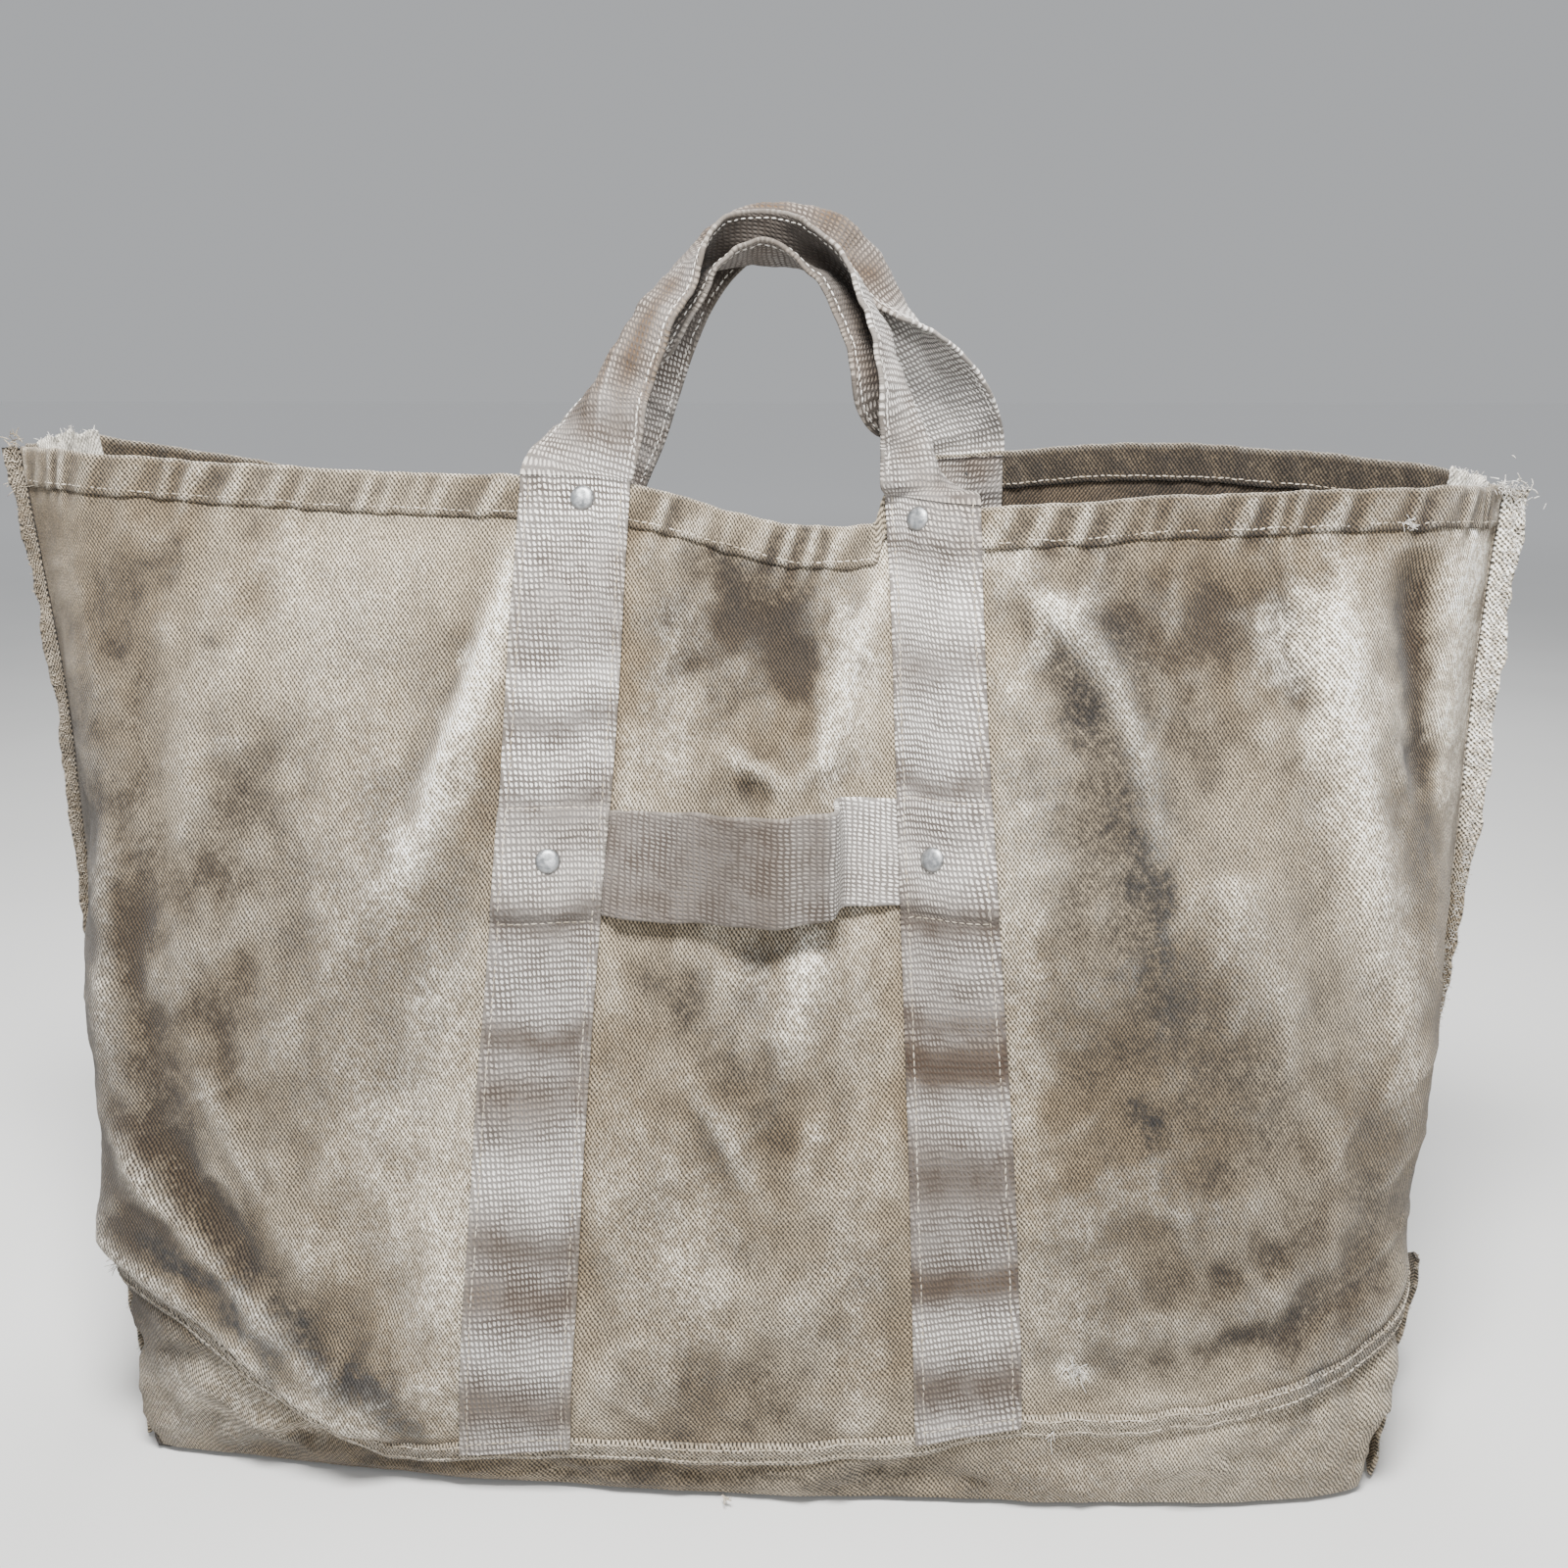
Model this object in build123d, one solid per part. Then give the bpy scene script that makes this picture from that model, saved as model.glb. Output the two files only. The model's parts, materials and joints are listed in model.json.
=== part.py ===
from build123d import *
import math
import os

os.makedirs("parts", exist_ok=True)

# Garden tool bag: an open canvas tote on a boxed bottom, with webbing straps,
# two webbing handles, a webbing tool loop and split rivets.
# Millimetres. +Z up, +X to the right of the front face, +Y to the back.
# The origin is the centre of the base, on the floor.

# ---------------------------------------------------------------- dimensions
CANVAS_T = 1.4      # one ply of heavy cotton duck
WEB_W = 50.8        # cotton webbing, two inch
WEB_T = 2.4
HEM_H = 19.0        # turned hem round the mouth
HEM_T = 1.0         # each turned ply of the hem, pressed
SEWN = 0.10         # air left between sewn plies
SEAM_ALLOW = 9.5    # raw side seam allowance, standing outwards
SEAM_ALLOW_T = 3.0
RIDGE_H = 6.0       # half height of the lapped bottom seam
RIDGE_T = 2.0
RIDGE_AIR = 0.8     # under the lap, over the two edges it covers
GRIP_W = 26.0       # handle webbing folded lengthwise
GRIP_T = 6.0
RIVET_HEAD_R = 5.8
RIVET_HEAD_H = 2.6
RIVET_SHANK_R = 2.0
RIVET_HOLE_R = 2.15
RIVET_DROP = 8.4    # rivet centre below the rim
LOOP_W = 48.5       # webbing of the tool loop
LOOP_Z_L = 299.5    # middle height of the tool loop at the left strap
LOOP_Z_R = 303.0    # and at the right one
EAR_T = 3.0         # two plies of the folded bottom corner

# ------------------------------------------------------- the bag's own shape
# Columns run once round the bag: 0 left side seam, 1..10 front face,
# 11 right side seam, 12..20 back face. Each row is (z, x, y) of the outer face.
# 3 and 4 are the edges of the left front strap, 7 and 8 of the right one,
# 14 and 15 of the right back strap, 17 and 18 of the left back strap.
COLS = [
    # 0 left side seam
    [(0, -297, 0), (60, -311, 2), (120, -330, 6), (200, -346, 14), (280, -352, 20), (360, -356, 27), (430, -364, 33), (484, -371, 38)],
    # 1 left front corner line
    [(0, -297, -88), (60, -303, -86), (120, -306, -79), (200, -312, -60), (280, -317, -38), (360, -321, -12), (430, -328, 10), (482, -333, 22)],
    # 2
    [(0, -212, -100), (60, -212, -106), (120, -212, -99), (200, -212, -83), (280, -211, -60), (360, -209, -33), (430, -207, -6), (475, -206, 8)],
    # 3, 4 left front strap
    [(0, -135.5, -107), (60, -131.5, -112), (120, -127.6, -102), (200, -123.0, -84), (280, -117.6, -61), (360, -113.4, -37), (430, -110.6, -13), (473, -108.4, 0)],
    [(0, -84.5, -109), (60, -81.0, -111), (120, -77.8, -100), (200, -74.0, -81), (280, -69.0, -57), (360, -63.8, -33), (430, -61.4, -10), (470, -59.6, 2)],
    # 5, 6 middle of the front, pushed in towards the rim
    [(0, -30, -111), (60, -29, -113), (120, -28, -104), (200, -26, -89), (280, -24, -60), (360, -22, -24), (430, -21, 4), (458, -21, 14)],
    [(0, 28, -112), (60, 28, -113), (120, 28, -104), (200, 27, -88), (280, 27, -58), (360, 26, -20), (430, 26, 9), (448, 26, 17)],
    # 7, 8 right front strap
    [(0, 83.0, -110), (60, 80.4, -107), (120, 78.2, -95), (200, 74.8, -74), (280, 71.0, -48), (360, 67.4, -18), (430, 64.2, 8), (461, 62.2, 19)],
    [(0, 127.0, -110), (60, 127.6, -111), (120, 124.6, -103), (200, 119.4, -86), (280, 113.2, -63), (360, 108.0, -34), (430, 105.0, -7), (461, 104.0, 5)],
    # 9
    [(0, 214, -107), (60, 215, -109), (120, 214, -101), (200, 213, -84), (280, 212, -59), (360, 211, -29), (430, 211, 1), (464, 212, 14)],
    # 10 right front corner line
    [(0, 297, -88), (60, 305, -84), (120, 310, -71), (200, 317, -49), (280, 322, -23), (360, 325, 2), (430, 329, 22), (467, 332, 31)],
    # 11 right side seam
    [(0, 297, 2), (60, 311, 4), (120, 329, 10), (200, 345, 24), (280, 354, 37), (360, 356, 44), (430, 360, 50), (465, 363, 53)],
    # 12 right back corner line
    [(0, 297, 90), (60, 304, 92), (120, 311, 90), (200, 319, 88), (280, 325, 84), (360, 329, 81), (430, 333, 78), (474, 335, 76)],
    # 13
    [(0, 215, 95), (60, 215, 99), (120, 214, 100), (200, 213, 99), (280, 212, 98), (360, 212, 97), (430, 212, 97), (484, 213, 98)],
    # 14, 15 right back strap
    [(0, 136, 98), (60, 133, 102), (120, 131, 103), (200, 129, 102), (280, 127, 101), (360, 125.5, 100), (430, 124, 100), (480, 123, 101)],
    [(0, 85.5, 99), (60, 82.5, 103), (120, 80.4, 104), (200, 78.4, 103), (280, 76.4, 102), (360, 74.8, 101), (430, 73.4, 101), (473, 72.4, 102)],
    # 16 middle of the back
    [(0, 0, 99), (60, 0, 104), (120, 0, 106), (200, 0, 107), (280, 1, 107), (360, 1, 107), (430, 2, 108), (443, 2, 108)],
    # 17, 18 left back strap
    [(0, -85.5, 99), (60, -82.5, 103), (120, -80.0, 104), (200, -77.5, 103), (280, -75.0, 102), (360, -72.0, 101), (430, -69.5, 101), (457, -68.0, 102)],
    [(0, -136, 98), (60, -133, 102), (120, -130.5, 103), (200, -128.0, 102), (280, -125.5, 101), (360, -122.6, 100), (430, -120.0, 100), (451, -118.6, 101)],
    # 19
    [(0, -215, 95), (60, -215, 99), (120, -214, 100), (200, -213, 98), (280, -212, 96), (360, -211, 95), (430, -210, 95), (464, -210, 95)],
    # 20 left back corner line
    [(0, -297, 90), (60, -304, 92), (120, -311, 90), (200, -319, 86), (280, -324, 81), (360, -327, 76), (430, -332, 71), (487, -336, 67)],
]
NC = len(COLS)                  # 21
U_RIGHT = 11                    # column of the right side seam

# height of the mouth's rim at each column
RIM = [484, 482, 475, 472.5, 469.5, 458, 448, 461.5, 458.5, 464, 467, 465, 474, 484,
       479.5, 473.5, 443, 457, 451, 464, 487]

# height of the seam between the bottom piece and the panels
SEAM = [(0, 98), (0.5, 103), (1, 104), (1.5, 84), (2, 37), (2.5, 20), (3, 23), (4, 29),
        (5, 28), (6, 31), (7, 35), (8, 49), (8.5, 50), (9, 54), (9.5, 70), (10, 99),
        (10.5, 104), (11, 100), (11.5, 103), (12, 98), (12.5, 70), (13, 42), (13.5, 34),
        (14, 30), (15, 28), (16, 28), (17, 28), (18, 30), (18.5, 34), (19, 42),
        (19.5, 70), (20, 98), (20.5, 102), (21, 98)]

# samples round the bag: strap edges, corners and seams are all on a sample
US = [0, 0.35, 0.7, 1, 1.5, 2, 2.5, 3, 4, 5, 6, 7, 8, 8.5, 9, 9.5, 10, 10.3, 10.65, 11,
      11.35, 11.7, 12, 12.5, 13, 13.5, 14, 15, 16, 17, 18, 18.5, 19, 19.5, 20, 20.3, 20.65]
N = len(US)
I_R = US.index(11)


# ---------------------------------------------------------------- small maths
def hermite(ts, vs, t, level=False):
    """Smooth curve through (ts, vs), held straight past its ends.

    With level set it never swings past its own points.
    """
    n = len(ts)
    if t <= ts[0]:
        k = 0
    elif t >= ts[-1]:
        k = n - 2
    else:
        k = max(i for i in range(n - 1) if ts[i] <= t)

    def slope(i):
        if i == 0:
            return (vs[1] - vs[0]) / (ts[1] - ts[0])
        if i == n - 1:
            return (vs[-1] - vs[-2]) / (ts[-1] - ts[-2])
        a = (vs[i] - vs[i - 1]) / (ts[i] - ts[i - 1])
        b = (vs[i + 1] - vs[i]) / (ts[i + 1] - ts[i])
        wa, wb = ts[i + 1] - ts[i], ts[i] - ts[i - 1]
        if level:
            return 0.0 if a * b <= 0 else 2 * a * b / (a + b)
        return (a * wa + b * wb) / (wa + wb)

    h = ts[k + 1] - ts[k]
    s = (t - ts[k]) / h
    m0, m1 = slope(k) * h, slope(k + 1) * h
    if s < 0:
        return vs[k] + m0 * s
    if s > 1:
        return vs[k + 1] + m1 * (s - 1)
    return ((2 * s**3 - 3 * s**2 + 1) * vs[k] + (s**3 - 2 * s**2 + s) * m0
            + (-2 * s**3 + 3 * s**2) * vs[k + 1] + (s**3 - s**2) * m1)


def linear(table, t):
    for (t0, v0), (t1, v1) in zip(table, table[1:]):
        if t <= t1:
            return v0 + (v1 - v0) * (t - t0) / (t1 - t0)
    return table[-1][1]


def half(u):
    """Columns of the face that u lies on, front or back."""
    if u <= U_RIGHT:
        return list(range(0, U_RIGHT + 1))
    return list(range(U_RIGHT, NC + 1))


def xy(u, z):
    """Outer face of the canvas at column u and height z."""
    cols = half(u)
    xs, ys = [], []
    for c in cols:
        col = COLS[c % NC]
        zs = [p[0] for p in col]
        xs.append(hermite(zs, [p[1] for p in col], z))
        ys.append(hermite(zs, [p[2] for p in col], z))
    return hermite(cols, xs, u, True), hermite(cols, ys, u, True)


def rim(u):
    cols = half(u)
    return hermite(cols, [RIM[c % NC] for c in cols], u)


def seam(u):
    return linear(SEAM, u)


_rows = {}


def row(name, zfun):
    """The closed outline at heights zfun(u), with mitred offset directions."""
    if name in _rows:
        return _rows[name]
    pts = []
    for u in US:
        z = zfun(u)
        x, y = xy(u, z)
        pts.append((x, y, z))
    out = []
    for i in range(N):
        p, q, r = pts[i - 1], pts[i], pts[(i + 1) % N]
        a = (q[0] - p[0], q[1] - p[1])
        b = (r[0] - q[0], r[1] - q[1])
        la, lb = math.hypot(*a), math.hypot(*b)
        n1 = (a[1] / la, -a[0] / la)
        n2 = (b[1] / lb, -b[0] / lb)
        k = 1 + n1[0] * n2[0] + n1[1] * n2[1]
        out.append(((n1[0] + n2[0]) / k, (n1[1] + n2[1]) / k))
    _rows[name] = (pts, out)
    return _rows[name]


def at(rw, i, d, dz=0.0):
    """Point of a row at sample i, moved out by d and up by dz."""
    pts, nrm = rw
    i %= N
    x, y, z = pts[i]
    return (x + nrm[i][0] * d, y + nrm[i][1] * d, z + dz)


# The rows of the panels, from the bottom seam to the rim.
ROWS = [
    ("s0", seam),
    ("s1", lambda u: seam(u) + (125 - seam(u)) * 0.34),
    ("s2", lambda u: seam(u) + (125 - seam(u)) * 0.67),
] + [("z%d" % z, (lambda zz: lambda u: zz)(z)) for z in (125, 165, 205, 235, 266, 274, 328, 337, 375, 408)] + [
    ("hem", lambda u: rim(u) - HEM_H),
    ("rim", rim),
]
R = {n: row(n, f) for n, f in ROWS}
NAMES = [n for n, _ in ROWS]


# ------------------------------------------------------------ solids of facets
def facets(tris, plates=()):
    faces = []
    for t in tris:
        a, b, c = (Vector(*p) for p in t)
        if (b - a).cross(c - a).length > 1e-6:
            faces.append(Face(Wire.make_polygon([a, b, c])))
    for p in plates:
        faces.append(Face(Wire.make_polygon([Vector(*q) for q in p])))
    s = Solid(Shell(faces))
    if s.volume < 0:
        s = -s
    return s


def quad(out, a, b, c, d):
    out.append((a, b, c))
    out.append((a, c, d))


def sheet(A, B, turned=()):
    """Closed solid between two grids of points, A one face and B the other.

    Quads are cut along one diagonal; rows listed in turned run downwards and
    are cut along the other, so that plies lying on each other stay parallel.
    """
    nu, nv = len(A), len(A[0])
    t = []
    for i in range(nu - 1):
        for j in range(nv - 1):
            if j in turned:
                quad(t, A[i][j + 1], A[i + 1][j + 1], A[i + 1][j], A[i][j])
                quad(t, B[i][j + 1], B[i][j], B[i + 1][j], B[i + 1][j + 1])
            else:
                quad(t, A[i][j], A[i][j + 1], A[i + 1][j + 1], A[i + 1][j])
                quad(t, B[i][j], B[i + 1][j], B[i + 1][j + 1], B[i][j + 1])
    for i in range(nu - 1):
        quad(t, A[i][0], A[i + 1][0], B[i + 1][0], B[i][0])
        quad(t, A[i][-1], B[i][-1], B[i + 1][-1], A[i + 1][-1])
    for j in range(nv - 1):
        quad(t, A[0][j], B[0][j], B[0][j + 1], A[0][j + 1])
        quad(t, A[-1][j], A[-1][j + 1], B[-1][j + 1], B[-1][j])
    return facets(t)


def lerp(p, q, f):
    return tuple(a + (b - a) * f for a, b in zip(p, q))


def towards(p, q, d):
    l = math.dist(p, q)
    return lerp(p, q, d / l)


def unit(v):
    l = math.sqrt(sum(c * c for c in v))
    return tuple(c / l for c in v)


def cross(a, b):
    return (a[1] * b[2] - a[2] * b[1], a[2] * b[0] - a[0] * b[2], a[0] * b[1] - a[1] * b[0])


def sub(a, b):
    return tuple(x - y for x, y in zip(a, b))


def add(a, b, k=1.0):
    return tuple(x + k * y for x, y in zip(a, b))


PARTS = {}


# -------------------------------------------------------------------- panels
def panel(idx):
    names = NAMES
    A, B = [], []
    for i in idx:
        top = -(HEM_T + 2 * SEWN)
        B.append([at(R[n], i, 0.0, top if n == "rim" else 0.0) for n in names])
        A.append([at(R[n], i, -CANVAS_T, top if n == "rim" else 0.0) for n in names])
    for g in (A, B):        # the two panels stop either side of the seam line
        g[0] = [towards(p, q, 0.06) for p, q in zip(g[0], g[1])]
        g[-1] = [towards(p, q, 0.06) for p, q in zip(g[-1], g[-2])]
    return sheet(A, B)


FRONT = list(range(0, I_R + 1))
BACK = list(range(I_R, N + 1))
PARTS["front_panel"] = panel(FRONT)
PARTS["back_panel"] = panel(BACK)

# --------------------------------------------- bottom piece: base and low walls
# One piece of canvas, creased into a flat base and four low walls. Each flat is
# a node of its own, parted along the creases.
base_o = row("base", lambda u: 0.0)
low = row("low", lambda u: 4.0)
mid = row("mid", lambda u: 4.0 + (seam(u) - 4.0) * 0.5)
CREASE = 0.06       # air left in each crease


def base_plate():
    lo = [at(base_o, i, -3.0 - CREASE) for i in range(N)]
    hi = [at(base_o, i, -3.0 - CREASE - CANVAS_T, CANVAS_T) for i in range(N)]
    t = []
    for i in range(N):
        k = (i + 1) % N
        quad(t, lo[i], lo[k], hi[k], hi[i])
    return facets(t, [lo[::-1], hi])


def low_wall(idx):
    A, B = [], []
    for i in idx:
        B.append([at(base_o, i, -3.0), at(low, i, 0.0), at(mid, i, 0.0), at(R["s0"], i, 0.0, -2 * SEWN)])
        A.append([at(base_o, i, -3.0 - CANVAS_T, CANVAS_T), at(low, i, -CANVAS_T, 0.6),
                  at(mid, i, -CANVAS_T), at(R["s0"], i, -CANVAS_T, -2 * SEWN)])
    for g in (A, B):
        g[0] = [towards(p, q, CREASE) for p, q in zip(g[0], g[1])]
        g[-1] = [towards(p, q, CREASE) for p, q in zip(g[-1], g[-2])]
    return sheet(A, B)


def span(u0, u1):
    out, i = [], US.index(u0)
    while True:
        out.append(i)
        if US[i % N] == u1:
            return out
        i += 1


PARTS["bottom_panel"] = base_plate()
PARTS["bottom_front_wall"] = low_wall(span(1, 10))
PARTS["bottom_right_end"] = low_wall(span(10, 12))
PARTS["bottom_back_wall"] = low_wall(span(12, 20))
PARTS["bottom_left_end"] = low_wall(span(20, 1))


# ---------------------------------------------- lapped seams above the bottom
def ridge(idx):
    A, B = [], []
    for i in idx:
        z0, zm, z1 = (R["s0"][0][i % N][2], mid[0][i % N][2], R["s1"][0][i % N][2])
        fl, fh = RIDGE_H / (z0 - zm), RIDGE_H / (z1 - z0)

        def lift(d, e):
            s = at(R["s0"], i, d)
            return [lerp(at(R["s0"], i, e), at(mid, i, e), fl), s, lerp(at(R["s0"], i, e), at(R["s1"], i, e), fh)]

        A.append(lift(RIDGE_AIR, RIDGE_AIR))
        B.append(lift(RIDGE_AIR + RIDGE_T, RIDGE_AIR + RIDGE_T * 0.5))
    return sheet(A, B)


PARTS["front_bottom_seam"] = ridge(span(0.7, 10.3))
PARTS["back_bottom_seam"] = ridge(span(11.7, 20.3))


# --------------------------------------------------------------- side seams
def side_seam(i, s):
    A, B = [], []
    for n in NAMES[2:]:
        x, y, z = R[n][0][i]
        w = SEAM_ALLOW * (0.7 if z < 130 else 1.0)
        A.append([(x + s * 0.12, y - SEAM_ALLOW_T / 2, z), (x + s * w, y - SEAM_ALLOW_T / 2, z)])
        B.append([(x + s * 0.12, y + SEAM_ALLOW_T / 2, z), (x + s * w, y + SEAM_ALLOW_T / 2, z)])
    return sheet(A, B)


PARTS["left_side_seam"] = side_seam(0, -1)
PARTS["right_side_seam"] = side_seam(I_R, 1)


# ------------------------------------------ folded-up corners of the bottom
def ear(s, tip_y):
    A, B = [], []
    steps = 6
    for j in range(steps + 1):
        t = j / steps * 0.95
        x = 300.5 + 41.5 * t**1.1
        z = 1.6 + 78.0 * t
        y0 = -78 + (tip_y + 78) * t
        y1 = 82 + (tip_y - 82) * t
        A.append([(s * x, y0 + (y1 - y0) * k / 4, z) for k in range(5)])
        B.append([(s * (x + EAR_T * 0.9), y0 + (y1 - y0) * k / 4, z - (0 if j == 0 else EAR_T * 0.35)) for k in range(5)])
    return sheet(A, B)


PARTS["left_corner_ear"] = ear(-1, -6)
PARTS["right_corner_ear"] = ear(1, -6)

# ------------------------------------------------------------------- the hem
D_HEM_OUT = SEWN + HEM_T                # outer face of the hem's outer ply
D_HEM_IN = -(CANVAS_T + SEWN + HEM_T)   # inner face of its inner ply


def hem(idx):
    A, B = [], []
    for i in idx:
        h, r = R["hem"], R["rim"]
        B.append([at(h, i, D_HEM_IN), at(r, i, D_HEM_IN), at(r, i, D_HEM_OUT), at(h, i, D_HEM_OUT)])
        A.append([at(h, i, -(CANVAS_T + SEWN)), at(r, i, -(CANVAS_T + SEWN), -(HEM_T + SEWN)),
                  at(r, i, SEWN, -(HEM_T + SEWN)), at(h, i, SEWN)])
    return sheet(A, B, turned=(2,))


PARTS["front_hem"] = hem(span(0.35, 10.65))
PARTS["back_hem"] = hem(span(11.35, 20.65))


# ------------------------------------- white tape sewn over the mouth corners
def tape(idx, name_lo, name_hi, drop):
    A, B = [], []
    lo = row(name_lo, lambda u: rim(u) - drop)
    for i in idx:
        d = D_HEM_IN - SEWN - 0.1
        A.append([at(lo, i, d), at(R["rim"], i, d, -1.0)])
        B.append([at(lo, i, d - 0.9), at(R["rim"], i, d - 0.9, -1.0)])
    return sheet(A, B)


PARTS["left_corner_tape"] = tape(span(20, 20.65), "tape_lo", "rim", 17.0)
PARTS["right_corner_tape"] = tape(span(11.35, 11.7), "tape_lo", "rim", 17.0)

# ----------------------------------------------------------- straps and tabs
D_STRAP = SEWN + 0.12
D_STRAP_HEM = D_HEM_OUT + SEWN + 0.05
D_LOOP = SEWN + 0.3                     # inner face of the loop's ends
D_STRAP_LOOP = D_LOOP + WEB_T + 0.4     # inner face of the strap over them


def strap(i0, i1, over_loop):
    """Webbing sewn flat from the bottom seam to the rim. Its top is bevelled."""
    rows = []
    foot = row("strap_foot", lambda u: seam(u) + RIDGE_H + 0.6)
    rows.append((foot, D_STRAP + 0.3, 0.0, 0.0))
    for n in NAMES[1:]:
        d = D_STRAP
        if over_loop and n in ("z274", "z328"):
            d = D_STRAP_LOOP
        if n in ("hem", "rim"):
            d = D_STRAP_HEM
        if n == "rim":
            rows.append((R[n], d, -0.4, -4.5))
        else:
            rows.append((R[n], d, 0.0, 0.0))
    A = [[at(r, i, d, za) for r, d, za, zb in rows] for i in (i0, i1)]
    B = [[at(r, i, d + WEB_T, zb) for r, d, za, zb in rows] for i in (i0, i1)]
    return sheet(A, B)


def idx(u):
    return US.index(u)


PARTS["front_left_strap"] = strap(idx(3), idx(4), True)
PARTS["front_right_strap"] = strap(idx(7), idx(8), True)
PARTS["back_right_strap"] = strap(idx(14), idx(15), False)
PARTS["back_left_strap"] = strap(idx(17), idx(18), False)


def tab(i0, i1):
    """Webbing tab inside the rim, behind the hem."""
    d = D_HEM_IN - SEWN - 0.05
    lo = row("tab_lo", lambda u: rim(u) - 56.0)
    rws = [(lo, 0.0), (R["hem"], 0.0), (R["rim"], -0.8)]
    A = [[at(r, i, d, dz) for r, dz in rws] for i in (i0, i1)]
    B = [[at(r, i, d - WEB_T, dz) for r, dz in rws] for i in (i0, i1)]
    return sheet(A, B)


PARTS["front_left_tab"] = tab(idx(3), idx(4))
PARTS["front_right_tab"] = tab(idx(7), idx(8))
PARTS["back_right_tab"] = tab(idx(14), idx(15))
PARTS["back_left_tab"] = tab(idx(17), idx(18))

# ---------------------------------------------------------------- tool loop
# A slack webbing band between the front straps, its ends under the straps.


def facet_y(x, z):
    """Outer face of the front panel at x and z, on its own facets."""
    for i in range(idx(3), idx(8)):
        for lo, hi in (("z266", "z274"), ("z274", "z328"), ("z328", "z337")):
            a, b = R[lo][0][i], R[hi][0][i]
            d, c = R[lo][0][i + 1], R[hi][0][i + 1]
            for t in ((a, b, c), (a, c, d)):
                n = cross(sub(t[1], t[0]), sub(t[2], t[0]))
                inside = True
                for p, q in ((t[0], t[1]), (t[1], t[2]), (t[2], t[0])):
                    side = (q[0] - p[0]) * (z - p[2]) - (q[2] - p[2]) * (x - p[0])
                    inside = inside and side * n[1] <= 1e-6
                if inside:
                    return t[0][1] - (n[0] * (x - t[0][0]) + n[2] * (z - t[0][2])) / n[1]
    raise ValueError("not on the front panel between the straps")


PANEL_LEAN = 24.0       # the front face leans back by this much at the loop


def end_station(i, j, f, zc):
    """Loop end under a strap: a share f of the way from sample i to sample j."""
    out = []
    half_z = LOOP_W / 2 * math.cos(math.radians(PANEL_LEAN))
    for z in (zc - half_z, zc + half_z):
        k = (z - 274.0) / (328.0 - 274.0)
        e = [lerp(R["z274"][0][s], R["z328"][0][s], k) for s in (i, j)]
        m = [lerp(R["z274"][1][s], R["z328"][1][s], k) for s in (i, j)]
        p, n = lerp(e[0], e[1], f), lerp(m[0], m[1], f)
        out.append(((p[0], facet_y(p[0], z), z), (n[0], n[1], 0.0)))
    A.append([add(p, n, D_LOOP) for p, n in out])
    B.append([add(p, n, D_LOOP + WEB_T) for p, n in out])


# Free part of the band, left to right: x, standing off the panel, middle
# height, and how far its top leans back in degrees. It hangs slack to a crease
# near the right strap and turns straight back there.
LOOP_PATH = [
    (-57.0, 4.0, 299.8, 22), (-44.0, 8.0, 300.3, 18), (-30.0, 13.0, 301.0, 11), (-12.0, 20.0, 302.0, 4),
    (8.0, 26.5, 303.0, 0), (24.0, 31.0, 304.4, -1), (34.0, 33.5, 305.2, 0), (38.6, 32.0, 305.5, 0),
    (40.2, 26.0, 305.5, 2), (40.8, 17.5, 305.5, 8), (43.0, 10.5, 305.3, 14), (48.5, 7.0, 304.8, 20), (58.0, 4.4, 303.6, 23),
]
A, B = [], []
end_station(idx(3), idx(4), 0.45, LOOP_Z_L)
end_station(idx(3), idx(4), 0.999, LOOP_Z_L)
mids = []
for x, off, z, lean in LOOP_PATH:
    y = facet_y(x, z) - off
    dy, dz = LOOP_W / 2 * math.sin(math.radians(lean)), LOOP_W / 2 * math.cos(math.radians(lean))
    mids.append(((x, y - dy, z - dz), (x, y + dy, z + dz)))
for j, (lo, hi) in enumerate(mids):
    pair = []
    for e in (0, 1):
        p, q = mids[max(j - 1, 0)][e], mids[min(j + 1, len(mids) - 1)][e]
        t = unit((q[0] - p[0], q[1] - p[1], 0.0))
        pair.append((t[1], -t[0], 0.0))
    A.append([add(lo, pair[0], -WEB_T / 2), add(hi, pair[1], -WEB_T / 2)])
    B.append([add(lo, pair[0], WEB_T / 2), add(hi, pair[1], WEB_T / 2)])
end_station(idx(7), idx(8), 0.001, LOOP_Z_R)
end_station(idx(7), idx(8), 0.55, LOOP_Z_R)
PARTS["tool_loop"] = sheet(A, B)


# ------------------------------------------------------------------- handles
def strip(stations, first, last):
    """Webbing along a path: (x, y, z, twist in degrees, half width, half thickness).

    The first and last stations lie along the tops of the straps they stand over.
    """
    P = [s[:3] for s in stations]
    A, B = [], []
    for k, (x, y, z, tw, hw, ht) in enumerate(stations):
        t = unit(sub(P[min(k + 1, len(P) - 1)], P[max(k - 1, 0)]))
        a = math.radians(tw)
        w = (math.cos(a), -math.sin(a), 0.35 * math.sin(a))
        if k in (0, len(P) - 1):
            w = last if k else first
            t = (0.0, 0.0, 1.0 if k == 0 else -1.0)
        square = {0: 0.0, 1: 0.35, len(P) - 2: 0.35, len(P) - 1: 0.0}.get(k, 1.0)
        dot = sum(p * q for p, q in zip(w, t)) * square
        w = unit(add(w, t, -dot))
        n = unit(cross(t, w))
        c = (x, y, z)
        A.append([add(add(c, w, -hw), n, -ht), add(add(c, w, hw), n, -ht)])
        B.append([add(add(c, w, -hw), n, ht), add(add(c, w, hw), n, ht)])
    return sheet(A, B)


def rim_mid(i0, i1, d):
    a, b = at(R["rim"], i0, d), at(R["rim"], i1, d)
    return lerp(a, b, 0.5), unit(sub(b, a))


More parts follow.
